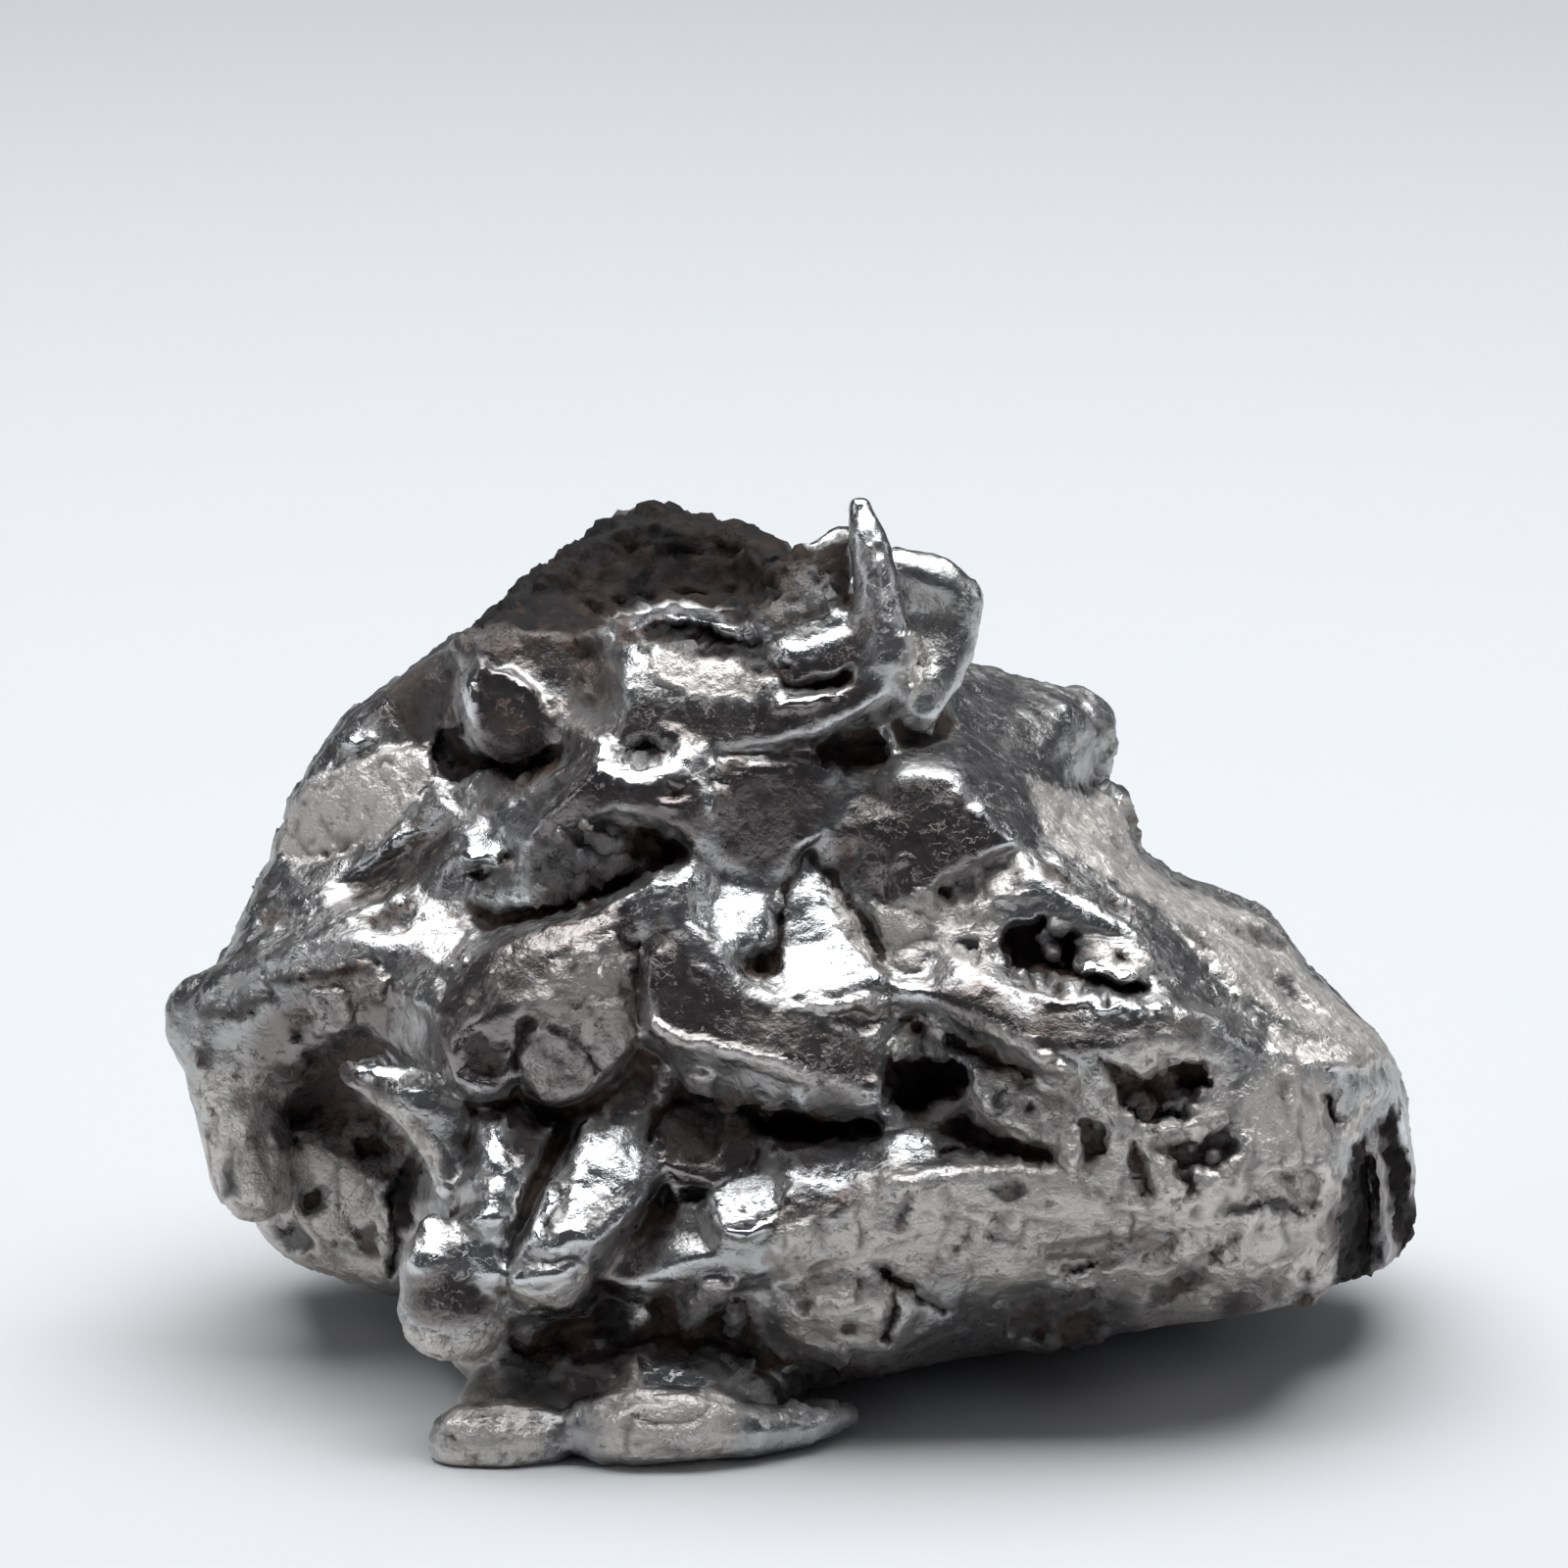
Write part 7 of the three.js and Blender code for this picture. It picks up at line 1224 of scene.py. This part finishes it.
# Flat chips at random tilts, one to each cell of a loose packing
def chips(points):
    cell = np.floor(points).astype(int)
    nearest = np.full(len(points), 9.0)
    height = np.zeros(len(points))
    for c in range(27):
        off = np.array([c % 3 - 1, c // 3 % 3 - 1, c // 9 - 1])
        number = cellNumber(cell + off)
        away = points - (cell + off + jitters[number])
        distance = np.sum(away * away, axis=1)
        closer = distance < nearest
        nearest[closer] = distance[closer]
        tilt = np.sum(away[closer] * gradients[number[closer]], axis=1)
        height[closer] = tilt + 0.3 * jitters[number[closer], 0]
    return height


# The front relief with its steps, and a sheet for each kind of surface
def addSteps(sheet):
    x, y = sheetPlaces()
    places = np.stack([x, y, 0 * x], axis=-1).reshape(-1, 3) / relief["wobbleSize"]
    shiftX, shiftY = (relief["wobble"] * grain(places + apart).reshape(sheetCount) for apart in (0, 40))
    kinds = {kind: np.zeros(sheetCount) for kind in surfaceKinds}
    for rise, lean, kind, ring in steps.values():
        corners = np.array(ring)
        part = windowAround(corners, relief["stepMargin"], sheetLow, sheetStep)
        signed = ringDistance(ring, x[part] + shiftX[part], y[part] + shiftY[part])
        held = smooth(relief["stepEdge"], -relief["stepEdge"], signed)
        middle = (corners[:, 1].min() + corners[:, 1].max()) / 2
        sheet[part] += held * (rise + lean * (middle - y[part]))
        if kind:
            kinds[kind][part] = np.maximum(kinds[kind][part], held)
    return sheet, kinds


def readSheets(sheets, across, up):
    u = np.clip((across - sheetLow[0]) / sheetStep, 0, sheetCount[0] - 1.001)
    v = np.clip((up - sheetLow[1]) / sheetStep, 0, sheetCount[1] - 1.001)
    i, j = u.astype(np.int32), v.astype(np.int32)
    u, v = (u - i)[..., None].astype(np.float32), (v - j)[..., None].astype(np.float32)
    low = sheets[i, j] * (1 - u) + sheets[i + 1, j] * u
    high = sheets[i, j + 1] * (1 - u) + sheets[i + 1, j + 1] * u
    return low * (1 - v) + high * v


def stampReliefs():
    rims = [[[p[0], p[1], p[side]] for p in outline + outline[:1]] for side in (2, 3)]
    front = blurred(reliefSheet([rims[0], *frontCreases.values()], -farAway), relief["frontBlur"])
    front, kinds = addSteps(front)
    back = blurred(reliefSheet([rims[1], *backCreases.values()], farAway), relief["backBlur"])
    edge = ringDistance(outline, *sheetPlaces())
    sheets = np.stack([front, slopeSheet(front), back, slopeSheet(back), edge], axis=-1).astype(np.float32)
    values = np.empty(latticeCount, np.float32)
    x, y = np.meshgrid(axes[0], axes[1], indexing="ij")
    for k, z in enumerate(axes[2]):
        across, up, toward = picturePlace(x, y, z)
        read = readSheets(sheets, across, up)
        before = (toward - read[..., 0]) * read[..., 1]
        behind = (read[..., 2] - toward) * read[..., 3]
        thickness = softMax(before, behind, relief["edgeBlend"])
        values[:, :, k] = softMax(thickness, read[..., 4], relief["edgeBlend"])
    return values, front, kinds


# Balls that run along a line, joined to the stone or taken from it
def stampSweeps(values, sweeps, combine):
    for blend, line in sweeps.values():
        centres = np.array([worldPoint(place) for place in line])
        radii = np.array([place[3] for place in line])
        part = windowAround(centres, radii.max() + blend + 3 * latticeStep, latticeLow, latticeStep)
        grid = np.meshgrid(*(axis[s] for axis, s in zip(axes, part)), indexing="ij")
        nearest = np.full(grid[0].shape, veryFar)
        pairs = list(zip(range(len(line) - 1), range(1, len(line)))) or [(0, 0)]
        for start, end in pairs:
            edge = centres[end] - centres[start]
            away = [axis - centre for axis, centre in zip(grid, centres[start])]
            along = np.clip(sum(a * e for a, e in zip(away, edge)) / max(edge @ edge, tiny), 0, 1)
            distance = np.sqrt(sum((a - along * e) ** 2 for a, e in zip(away, edge)))
            nearest = np.minimum(nearest, distance - radii[start] - along * (radii[end] - radii[start]))
        values[part] = combine(values[part], nearest.astype(np.float32), blend)


# One vertex in each lattice cube that the skin crosses, one square over each lattice edge that it crosses
def skin(values):
    inside = values < 0
    counts = [n - 1 for n in inside.shape]

    def atCorner(grid, c):
        return grid[tuple(slice(o, o + n) for o, n in zip(c, counts))]

    held = sum(atCorner(inside, c).astype(np.uint8) for c in cubeCorners)
    crossed = (held > 0) & (held < 8)
    cells = np.argwhere(crossed)
    number = np.full(crossed.shape, -1, np.int32)
    number[crossed] = np.arange(len(cells))
    at = [values[tuple((cells + c).T)] for c in cubeCorners]
    total, hits = np.zeros((len(cells), 3)), np.zeros(len(cells))
    for n, c in enumerate(cubeCorners):
        for axis in range(3):
            if c[axis]:
                continue
            a, b = at[n], at[n | 1 << axis]
            cross = (a < 0) != (b < 0)
            place = np.tile(np.array(c, float), (cross.sum(), 1))
            place[:, axis] += a[cross] / (a[cross] - b[cross])
            total[cross] += place
            hits += cross
    vertices = latticeLow + (cells + total / hits[:, None]) * latticeStep
    squares = []
    for axis in range(3):
        step, u, v = [np.eye(3, dtype=int)[(axis + n) % 3] for n in range(3)]
        edges = np.argwhere(atCorner(inside, (0, 0, 0)) != atCorner(inside, tuple(step)))
        edges = edges[(edges[:, (axis + 1) % 3] > 0) & (edges[:, (axis + 2) % 3] > 0)]
        ring = np.stack([number[tuple((edges - off).T)] for off in (0 * u, u, u + v, v)], axis=1)
        outward = inside[tuple(edges.T)]
        squares.append(np.where(outward[:, None], ring, ring[:, ::-1]))
    return vertices, np.concatenate(squares)


# The stone without loose crumbs beside it
def keepLargest(vertices, squares):
    labels = np.arange(len(vertices))
    pairs = np.concatenate([squares[:, [0, 1]], squares[:, [1, 2]], squares[:, [2, 3]]])
    while True:
        before = labels.copy()
        least = np.minimum(labels[pairs[:, 0]], labels[pairs[:, 1]])
        np.minimum.at(labels, labels[pairs[:, 0]], least)
        np.minimum.at(labels, labels[pairs[:, 1]], least)
        labels = labels[labels]
        if np.array_equal(before, labels):
            break
    kept = labels == np.bincount(labels).argmax()
    renumber = np.cumsum(kept) - 1
    return vertices[kept], renumber[squares[kept[squares[:, 0]]]]


def meshOf(name, vertices, polygons):
    made = bpy.data.meshes.new(name)
    made.vertices.add(len(vertices))
    made.vertices.foreach_set("co", vertices.astype(np.float32).ravel())
    made.loops.add(polygons.size)
    made.loops.foreach_set("vertex_index", polygons.astype(np.int32).ravel())
    made.polygons.add(len(polygons))
    starts = np.arange(0, polygons.size, polygons.shape[1], dtype=np.int32)
    made.polygons.foreach_set("loop_start", starts)
    made.update(calc_edges=True)
    return made


def vectorsOf(items, attribute):
    flat = np.empty(len(items) * 3, np.float32)
    items.foreach_get(attribute, flat)
    return flat.reshape(-1, 3).astype(float)


values, front, kinds = stampReliefs()
print("reliefs done", values.shape)
stampSweeps(values, raised, softMin)
stampSweeps(values, sunk, lambda value, ball, blend: softMax(value, -ball, blend))
values = np.maximum(values, -axes[2][None, None, :].astype(np.float32))
print("sweeps done")
vertices, squares = keepLargest(*skin(values))
print("skin done", len(vertices), len(squares))

rough = bpy.data.objects.new("roughStone", meshOf("roughStone", vertices, squares))
bpy.context.scene.collection.objects.link(rough)
thinner = rough.modifiers.new("thinner", "DECIMATE")
thinner.ratio = min(1.0, triangleGoal / (2 * len(squares)))
evaluated = rough.evaluated_get(bpy.context.evaluated_depsgraph_get())
stoneMesh = bpy.data.meshes.new_from_object(evaluated)
bpy.data.objects.remove(rough)
print("thinned to", len(stoneMesh.polygons))


# How full of metal the space around each place is, from 0 in the open to 1 in the heart
def fullness(reach):
    filled = (values < 0).astype(np.float32)
    half = max(1, round(reach / latticeStep))
    for axis in range(3):
        padded = np.pad(filled, [(half + 1, half) if n == axis else (0, 0) for n in range(3)], mode="edge")
        sums = np.cumsum(padded, axis=axis, dtype=np.float64)
        span = filled.shape[axis]
        upper = np.take(sums, range(2 * half + 1, 2 * half + 1 + span), axis=axis)
        lower = np.take(sums, range(0, span), axis=axis)
        filled = ((upper - lower) / (2 * half + 1)).astype(np.float32)
    return filled


def readLattice(field, points):
    u = np.clip((points - latticeLow) / latticeStep, 0, np.array(field.shape) - 1.001)
    base = u.astype(int)
    frac = u - base
    total = 0
    for c in cubeCorners:
        weight = np.prod(np.where(c, frac, 1 - frac), axis=1)
        total = total + weight * field[tuple((base + c).T)]
    return total


# Where each look begins and where it is full
masks = {
    "ridge": (0.47, 0.30), "nearHollow": (0.54, 0.74), "wideHollow": (0.52, 0.74),  # fullness
    "nearFront": (-3.0, -1.5), "behind": (-9, -13),  # toward the eye
    "crumbs": (-9, -6), "inFocus": (-7, -4.5),
    "pits": (0.16, 0.42), "cracks": (0.06, 0.015),  # noise
    "aboveFloor": (0.0, 0.5),
}
nearReach, wideReach = 0.42, 1.5


def mask(name, value):
    return smooth(*masks[name], value)


points = vectorsOf(stoneMesh.vertices, "co")
across, up, toward = picturePlace(points[:, 0], points[:, 1], points[:, 2])
# Films, crusts, painted shade and painted highlights of the front end a little behind the front relief
nearFront = mask("nearFront", toward - readSheets(front[..., None], across, up)[:, 0])


def patch(kind, softness=0.35):
    best = np.zeros(len(points))
    for x, y, radius in discs[kind]:
        best = np.maximum(best, smooth(softness, -softness, np.hypot(across - x, up - y) - radius))
    return best * nearFront


near, wide = [readLattice(fullness(reach), points) for reach in (nearReach, wideReach)]
print("fullness", np.percentile(near, [5, 50, 95]).round(2), np.percentile(wide, [5, 50, 95]).round(2))
ridge = mask("ridge", near)
# How deep each place sits in hollows; the metal darkens there, patina and painted shade together
hollow = np.clip(mask("nearHollow", near) * 0.5 + mask("wideHollow", wide) * 0.8, 0, 1)
behind = mask("behind", toward)
kindSheets = np.stack([kinds[kind] for kind in surfaceKinds], axis=-1)
crustAndShade, matte, filmAndShade, darkCrustAndShadow, polishAndHighlight = (readSheets(kindSheets, across, up) * nearFront[:, None]).T
crustAndShade = np.maximum(patch("crustAndShade"), crustAndShade) * (1 - darkCrustAndShadow)
matte = np.maximum(patch("matte"), matte) * (1 - 0.7 * crustAndShade) * (1 - darkCrustAndShadow) * (1 - polishAndHighlight)
filmAndShade = np.maximum(patch("filmAndShade"), filmAndShade) * (1 - darkCrustAndShadow) * (1 - polishAndHighlight)
crustAndShade *= 1 - polishAndHighlight

# Forms that are finer than the lattice: height and size
texture = {
    "swells": (0.05, 1.3), "ripples": (0.06, 0.6), "facets": (0.04, 0.45), "polishFacets": (0.05, 0.8),
    "bites": (0.07, 0.8), "clinker": (0.22, 0.75), "fineClinker": (0.14, 0.36),
    "flakes": (0.10, 1.1), "fineFlakes": (0.05, 0.5), "pits": (0.14, 0.42), "cracks": (0.06, 1.15),
    "backSwells": (0.35, 3.2), "backFacets": (0.22, 1.9), "backChips": (0.10, 0.8),
}


def bumps(noise, name, apart=0):
    height, size = texture[name]
    return height * noise(points / size + apart)


(pitDepth, pitSize), (crackDepth, crackSize) = texture["pits"], texture["cracks"]
pits = matte * mask("pits", grain(points / pitSize + 9))
cracks = np.clip(matte + 0.5 * behind, 0, 1) * mask("cracks", np.abs(grain(points / crackSize + 17)))
bite = np.clip(1 - ridge, 0, 1)
rugged = np.maximum(crustAndShade * mask("crumbs", toward), darkCrustAndShadow)
inFocus = 0.3 + 0.7 * mask("inFocus", toward)
lift = bumps(grain, "swells") + bumps(grain, "ripples") * (0.4 + 0.6 * bite)
lift += bumps(chips, "facets", 21) + bumps(chips, "polishFacets", 31) * polishAndHighlight
lift += bumps(chips, "bites") * bite * (0.3 + 0.7 * hollow)
lift += rugged * (bumps(chips, "clinker") + bumps(chips, "fineClinker", 5))
lift += matte * inFocus * (bumps(chips, "flakes", 3) + bumps(chips, "fineFlakes", 3))
lift -= pitDepth * pits + crackDepth * cracks
lift += behind * (bumps(grain, "backSwells") + bumps(chips, "backFacets") * bite + bumps(chips, "backChips"))
lift *= mask("aboveFloor", points[:, 2])
points += vectorsOf(stoneMesh.vertex_normals, "vector") * lift[:, None]
# Into the box of the solid, with the lowest point on the floor
shift = (np.array(cadBox[0]) + np.array(cadBox[1])) * 500 - (points.min(0) + points.max(0)) / 2
shift[2] = -points[:, 2].min()
stoneMesh.vertices.foreach_set("co", ((points + shift) / 1000).astype(np.float32).ravel())
amounts = {
    "ridge": ridge, "hollow": hollow, "crustAndShade": crustAndShade, "matte": matte, "filmAndShade": filmAndShade,
    "behind": behind, "darkCrustAndShadow": darkCrustAndShadow, "polishAndHighlight": polishAndHighlight, "pits": np.maximum(pits, cracks),
}
for name, amount in amounts.items():
    made = stoneMesh.attributes.new(name, "FLOAT", "POINT")
    made.data.foreach_set("value", amount.astype(np.float32))
stoneMesh.polygons.foreach_set("use_smooth", np.ones(len(stoneMesh.polygons), bool))
stoneMesh.update()
stone = bpy.data.objects.new("stone", stoneMesh)
bpy.context.scene.collection.objects.link(stone)
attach(stone, "root")
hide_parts("meteorite")
print("stone done")


class Wire:
    def __init__(self, tree, socket=None):
        self.tree = tree
        self.socket = socket

    def plug(self, target, value):
        if isinstance(value, Wire):
            self.tree.links.new(value.socket, target)
        else:
            target.default_value = value

    def node(self, kind, settings=None, inputs=None, output=0):
        made = self.tree.nodes.new(kind)
        for name, value in (settings or {}).items():
            setattr(made, name, value)
        for name, value in (inputs or {}).items():
            self.plug(made.inputs[name], value)
        return Wire(self.tree, made.outputs[output])

    def math(self, operation, first, second=0.0):
        return self.node("ShaderNodeMath", {"operation": operation}, {0: first, 1: second})

    def absolute(self):
        return self.math("ABSOLUTE", self)

    def __add__(self, other):
        return self.math("ADD", self, other)

    __radd__ = __add__

    def __sub__(self, other):
        return self.math("SUBTRACT", self, other)

    def __rsub__(self, other):
        return self.math("SUBTRACT", other, self)

    def __mul__(self, other):
        return self.math("MULTIPLY", self, other)

    __rmul__ = __mul__

    def between(self, low, high):
        return self.node("ShaderNodeMapRange", {"interpolation_type": "SMOOTHSTEP"},
                         {"Value": self, "From Min": low, "From Max": high})

    def clipped(self):
        return self.node("ShaderNodeClamp", None, {"Value": self})

    def blend(self, first, second):
        return self.node("ShaderNodeMix", {"data_type": "RGBA"}, {0: self, 6: first, 7: second}, 2)


def newMaterial(name):
    made = bpy.data.materials.new(name)
    made.use_nodes = True
    return made, made.node_tree.nodes["Principled BSDF"], Wire(made.node_tree)


metal = {
    # Bright metal for worn ridges and polished patches, also as painted highlights
    "bright": (0.69, 0.69, 0.695, 1),
    "steel": (0.44, 0.43, 0.42, 1),
    "matte": (0.725, 0.69, 0.655, 1),
    # A dark film colour, also used as painted shade
    "filmAndShadeColour": (0.205, 0.178, 0.17, 1),
    "brown": (0.085, 0.055, 0.042, 1),
    # Black for grime and for painted shadow in holes
    "black": (0.010, 0.008, 0.008, 1),
    "rust": (0.12, 0.06, 0.035, 1),
    "specular": 0.3,
    "bumpStrength": 0.9,
    "bumpDepth": 0.00012,
}
# Noise in waves to the metre, the roughness of the metal and what each kind of surface adds to it
waves = {
    "speck": 3200, "cloud": 700, "wideCloud": 220, "flaw": 1700, "scratch": 1100, "scratchPatch": 420,
    "rust": 1300, "fineGrain": 4200, "coarseGrain": 1500,
}
gloss = {
    "metal": 0.31, "ridge": -0.09, "polishAndHighlight": -0.07, "matte": 0.2, "dirtAndShade": 0.25, "speck": 0.3, "cloud": 0.2,
    "behind": 0.06, "darkCrustAndShadow": 0.2,
}
# How much dirt and painted shade each thing holds or sheds, and how much each kind of surface has of the
# fine grain
dirtAndShadeWeights = {
    "hollow": 1.5, "matte": 0.7, "crustAndShade": 0.6, "filmAndShade": 0.7, "speck": 0.9, "cloud": 0.7, "ridge": 0.5,
    "begins": 0.35, "full": 0.95, "polishAndHighlight": 0.9, "pits": 0.45, "flaw": 0.45, "hairline": 0.8,
    "crustAndShadeWeight": 0.72,
}
roughGrain = {
    "fine": 0.7, "flaw": 0.3, "hairline": 0.4,
    "metal": 0.42, "ridge": 0.27, "polishAndHighlight": 0.05, "matte": 0.75, "crustAndShade": 0.8,
}
nickelIron, shader, wire = newMaterial("nickelIron")
place = wire.node("ShaderNodeTexCoord", output="Object")


def noiseAt(name, detail=3.0, rough=0.55):
    return wire.node("ShaderNodeTexNoise", None,
                     {"Vector": place, "Scale": waves[name], "Detail": detail, "Roughness": rough})


def field(name):
    return wire.node("ShaderNodeAttribute", {"attribute_name": name}, output="Fac")


ridgeField, hollowField, crustAndShadeField = field("ridge"), field("hollow"), field("crustAndShade")
matteField, filmAndShadeField, behindField, darkCrustAndShadowField = field("matte"), field("filmAndShade"), field("behind"), field("darkCrustAndShadow")
polishAndHighlightField = field("polishAndHighlight")
speck, cloud, wideCloud = noiseAt("speck", 4.0), noiseAt("cloud"), noiseAt("wideCloud")
flaw = noiseAt("flaw", 7.0, 0.75).between(0.585, 0.66)
scratch = wire.node("ShaderNodeTexNoise", None,
                    {"Vector": place, "Scale": waves["scratch"], "Detail": 4.0, "Distortion": 2.5})
hairline = (0.5 - (scratch - 0.5).absolute() * 40.0).clipped() * noiseAt("scratchPatch").between(0.48, 0.6)
# Painted shade and patina darken the hollows, less on matte, crust and film; dirt comes in specks and clouds
hollowShade = dirtAndShadeWeights["hollow"] - matteField * dirtAndShadeWeights["matte"] - crustAndShadeField * dirtAndShadeWeights["crustAndShade"] - filmAndShadeField * dirtAndShadeWeights["filmAndShade"]
dirtAndShade = hollowField * hollowShade + (speck - 0.5) * dirtAndShadeWeights["speck"] + (cloud - 0.5) * dirtAndShadeWeights["cloud"]
dirtAndShade = (dirtAndShade - ridgeField * dirtAndShadeWeights["ridge"]).between(dirtAndShadeWeights["begins"], dirtAndShadeWeights["full"])
dirtAndShade = dirtAndShade * (1.0 - polishAndHighlightField * dirtAndShadeWeights["polishAndHighlight"]) + field("pits") * (dirtAndShadeWeights["pits"] + (speck - 0.5) * 0.8)
marks = flaw * dirtAndShadeWeights["flaw"] + hairline * dirtAndShadeWeights["hairline"]
dirtAndShade = dirtAndShade + marks * (0.3 + matteField * 0.55 - polishAndHighlightField * 0.1).clipped()
# Crusts add their own dark colour and painted shade in pits, grooves and hollows
dirtAndShade = (dirtAndShade + crustAndShadeField * (dirtAndShadeWeights["crustAndShadeWeight"] + (cloud - 0.5) * 0.8) + darkCrustAndShadowField).clipped()
# Brighter metal on worn ridges, and on the polished patches as painted highlights
tint = (ridgeField + polishAndHighlightField).clipped().blend(metal["steel"], metal["bright"])
tint = (matteField * (0.55 + cloud * 0.9)).clipped().blend(tint, metal["matte"])
# A dark film that also paints shade on faces turned to the eye
tint = (filmAndShadeField * (1.0 - matteField * 0.45) * (0.65 + cloud * 0.4)).blend(tint, metal["filmAndShadeColour"])
# The colour of the darkening, dirt and painted shade alike
grimeAndShade = (cloud * 1.2 + speck * 0.5).between(0.7, 1.05).blend(metal["black"], metal["brown"])
# Black in holes, gaps and the cavern, as painted shadow over dark crust
grimeAndShade = (darkCrustAndShadowField * (1.3 - cloud)).clipped().blend(grimeAndShade, metal["black"])
tint = dirtAndShade.blend(tint, grimeAndShade)
rustMask = (noiseAt("rust", 2.0) + wideCloud * 0.5 - ridgeField * 0.3).between(0.86, 0.98)
rustMask = rustMask * (0.4 - darkCrustAndShadowField * 0.2)
tint = rustMask.blend(tint, metal["rust"])
roughness = gloss["metal"] + ridgeField * gloss["ridge"] + polishAndHighlightField * gloss["polishAndHighlight"]
roughness = roughness + matteField * gloss["matte"] + dirtAndShade * gloss["dirtAndShade"]
roughness = roughness + behindField * gloss["behind"] + darkCrustAndShadowField * gloss["darkCrustAndShadow"]
roughness = roughness + (speck - 0.5) * gloss["speck"] + (cloud - 0.5) * gloss["cloud"]
wire.plug(shader.inputs["Base Color"], tint)
wire.plug(shader.inputs["Roughness"], roughness.clipped())
wire.plug(shader.inputs["Metallic"], 1.0 - dirtAndShade * 0.8 - rustMask * 0.5)
shader.inputs["Specular IOR Level"].default_value = metal["specular"]
metalGrain = noiseAt("fineGrain", 4.0, 0.65) * roughGrain["fine"] + noiseAt("coarseGrain")
metalGrain = metalGrain - flaw * roughGrain["flaw"] - hairline * roughGrain["hairline"]
coarseness = roughGrain["metal"] - ridgeField * roughGrain["ridge"] - polishAndHighlightField * roughGrain["polishAndHighlight"]
coarseness = coarseness + matteField * roughGrain["matte"] + crustAndShadeField * roughGrain["crustAndShade"]
bump = wire.node("ShaderNodeBump", None, {
    "Strength": metal["bumpStrength"], "Distance": metal["bumpDepth"], "Height": metalGrain * coarseness,
})
wire.plug(shader.inputs["Normal"], bump)
stoneMesh.materials.clear()
stoneMesh.materials.append(nickelIron)
print("metal done")

paleFloor = {"size": 1.5, "colour": (0.72, 0.73, 0.74, 1), "roughness": 0.6}
floorMaterial, floorShader = newMaterial("paleFloor")[:2]
floorShader.inputs["Base Color"].default_value = paleFloor["colour"]
floorShader.inputs["Roughness"].default_value = paleFloor["roughness"]
floorMesh = bpy.data.meshes.new("floor")
half = paleFloor["size"]
floorCorners = [(-half, -half, 0), (half, -half, 0), (half, half, 0), (-half, half, 0)]
floorMesh.from_pydata(floorCorners, [], [(0, 1, 2, 3)])
floorMesh.materials.append(floorMaterial)
floor = bpy.data.objects.new("floor", floorMesh)
bpy.context.scene.collection.objects.link(floor)

lamps = {
    "overhead": {"place": (0.0, 0.055, 0.26), "look": (0, 0, 0.01), "size": (0.34, 0.24), "watts": 1.2},
    "left": {"place": (-0.30, -0.02, 0.12), "look": (0, 0, 0.012), "size": (0.12, 0.16), "watts": 0.06},
    "right": {"place": (0.30, 0.02, 0.14), "look": (0, 0, 0.012), "size": (0.10, 0.14), "watts": 0.05},
}
lampColour = (0.955, 0.98, 1.0)
for name, lamp in lamps.items():
    light = bpy.data.lights.new(name, "AREA")
    light.shape = "RECTANGLE"
    light.size, light.size_y = lamp["size"]
    light.energy = lamp["watts"]
    light.color = lampColour
    made = bpy.data.objects.new(name, light)
    made.location = lamp["place"]
    made.rotation_euler = (Vector(lamp["look"]) - Vector(lamp["place"])).to_track_quat("-Z", "Y").to_euler()
    bpy.context.scene.collection.objects.link(made)

room = {"colour": (0.86, 0.90, 1.0, 1), "strength": 0.07}
world = bpy.data.worlds.new("room")
world.use_nodes = True
world.node_tree.nodes["Background"].inputs["Color"].default_value = room["colour"]
world.node_tree.nodes["Background"].inputs["Strength"].default_value = room["strength"]
bpy.context.scene.world = world

sensorWidth, frameWidth = 36, 40
aim = Vector((shift[0], aimUp * sinTilt + shift[1], aimUp * cosTilt + floorDrop + shift[2])) / 1000
away = Vector((0, -cosTilt, sinTilt))
camera = bpy.data.objects.new("camera", bpy.data.cameras.new("camera"))
camera.location = aim + away * eyeDistance / 1000
camera.rotation_euler = (-away).to_track_quat("-Z", "Y").to_euler()
camera.data.lens = sensorWidth * eyeDistance / frameWidth
camera.data.clip_start = 0.01
bpy.context.scene.collection.objects.link(camera)
bpy.context.scene.camera = camera
bpy.context.scene.view_settings.view_transform = "Standard"
print("stage done")
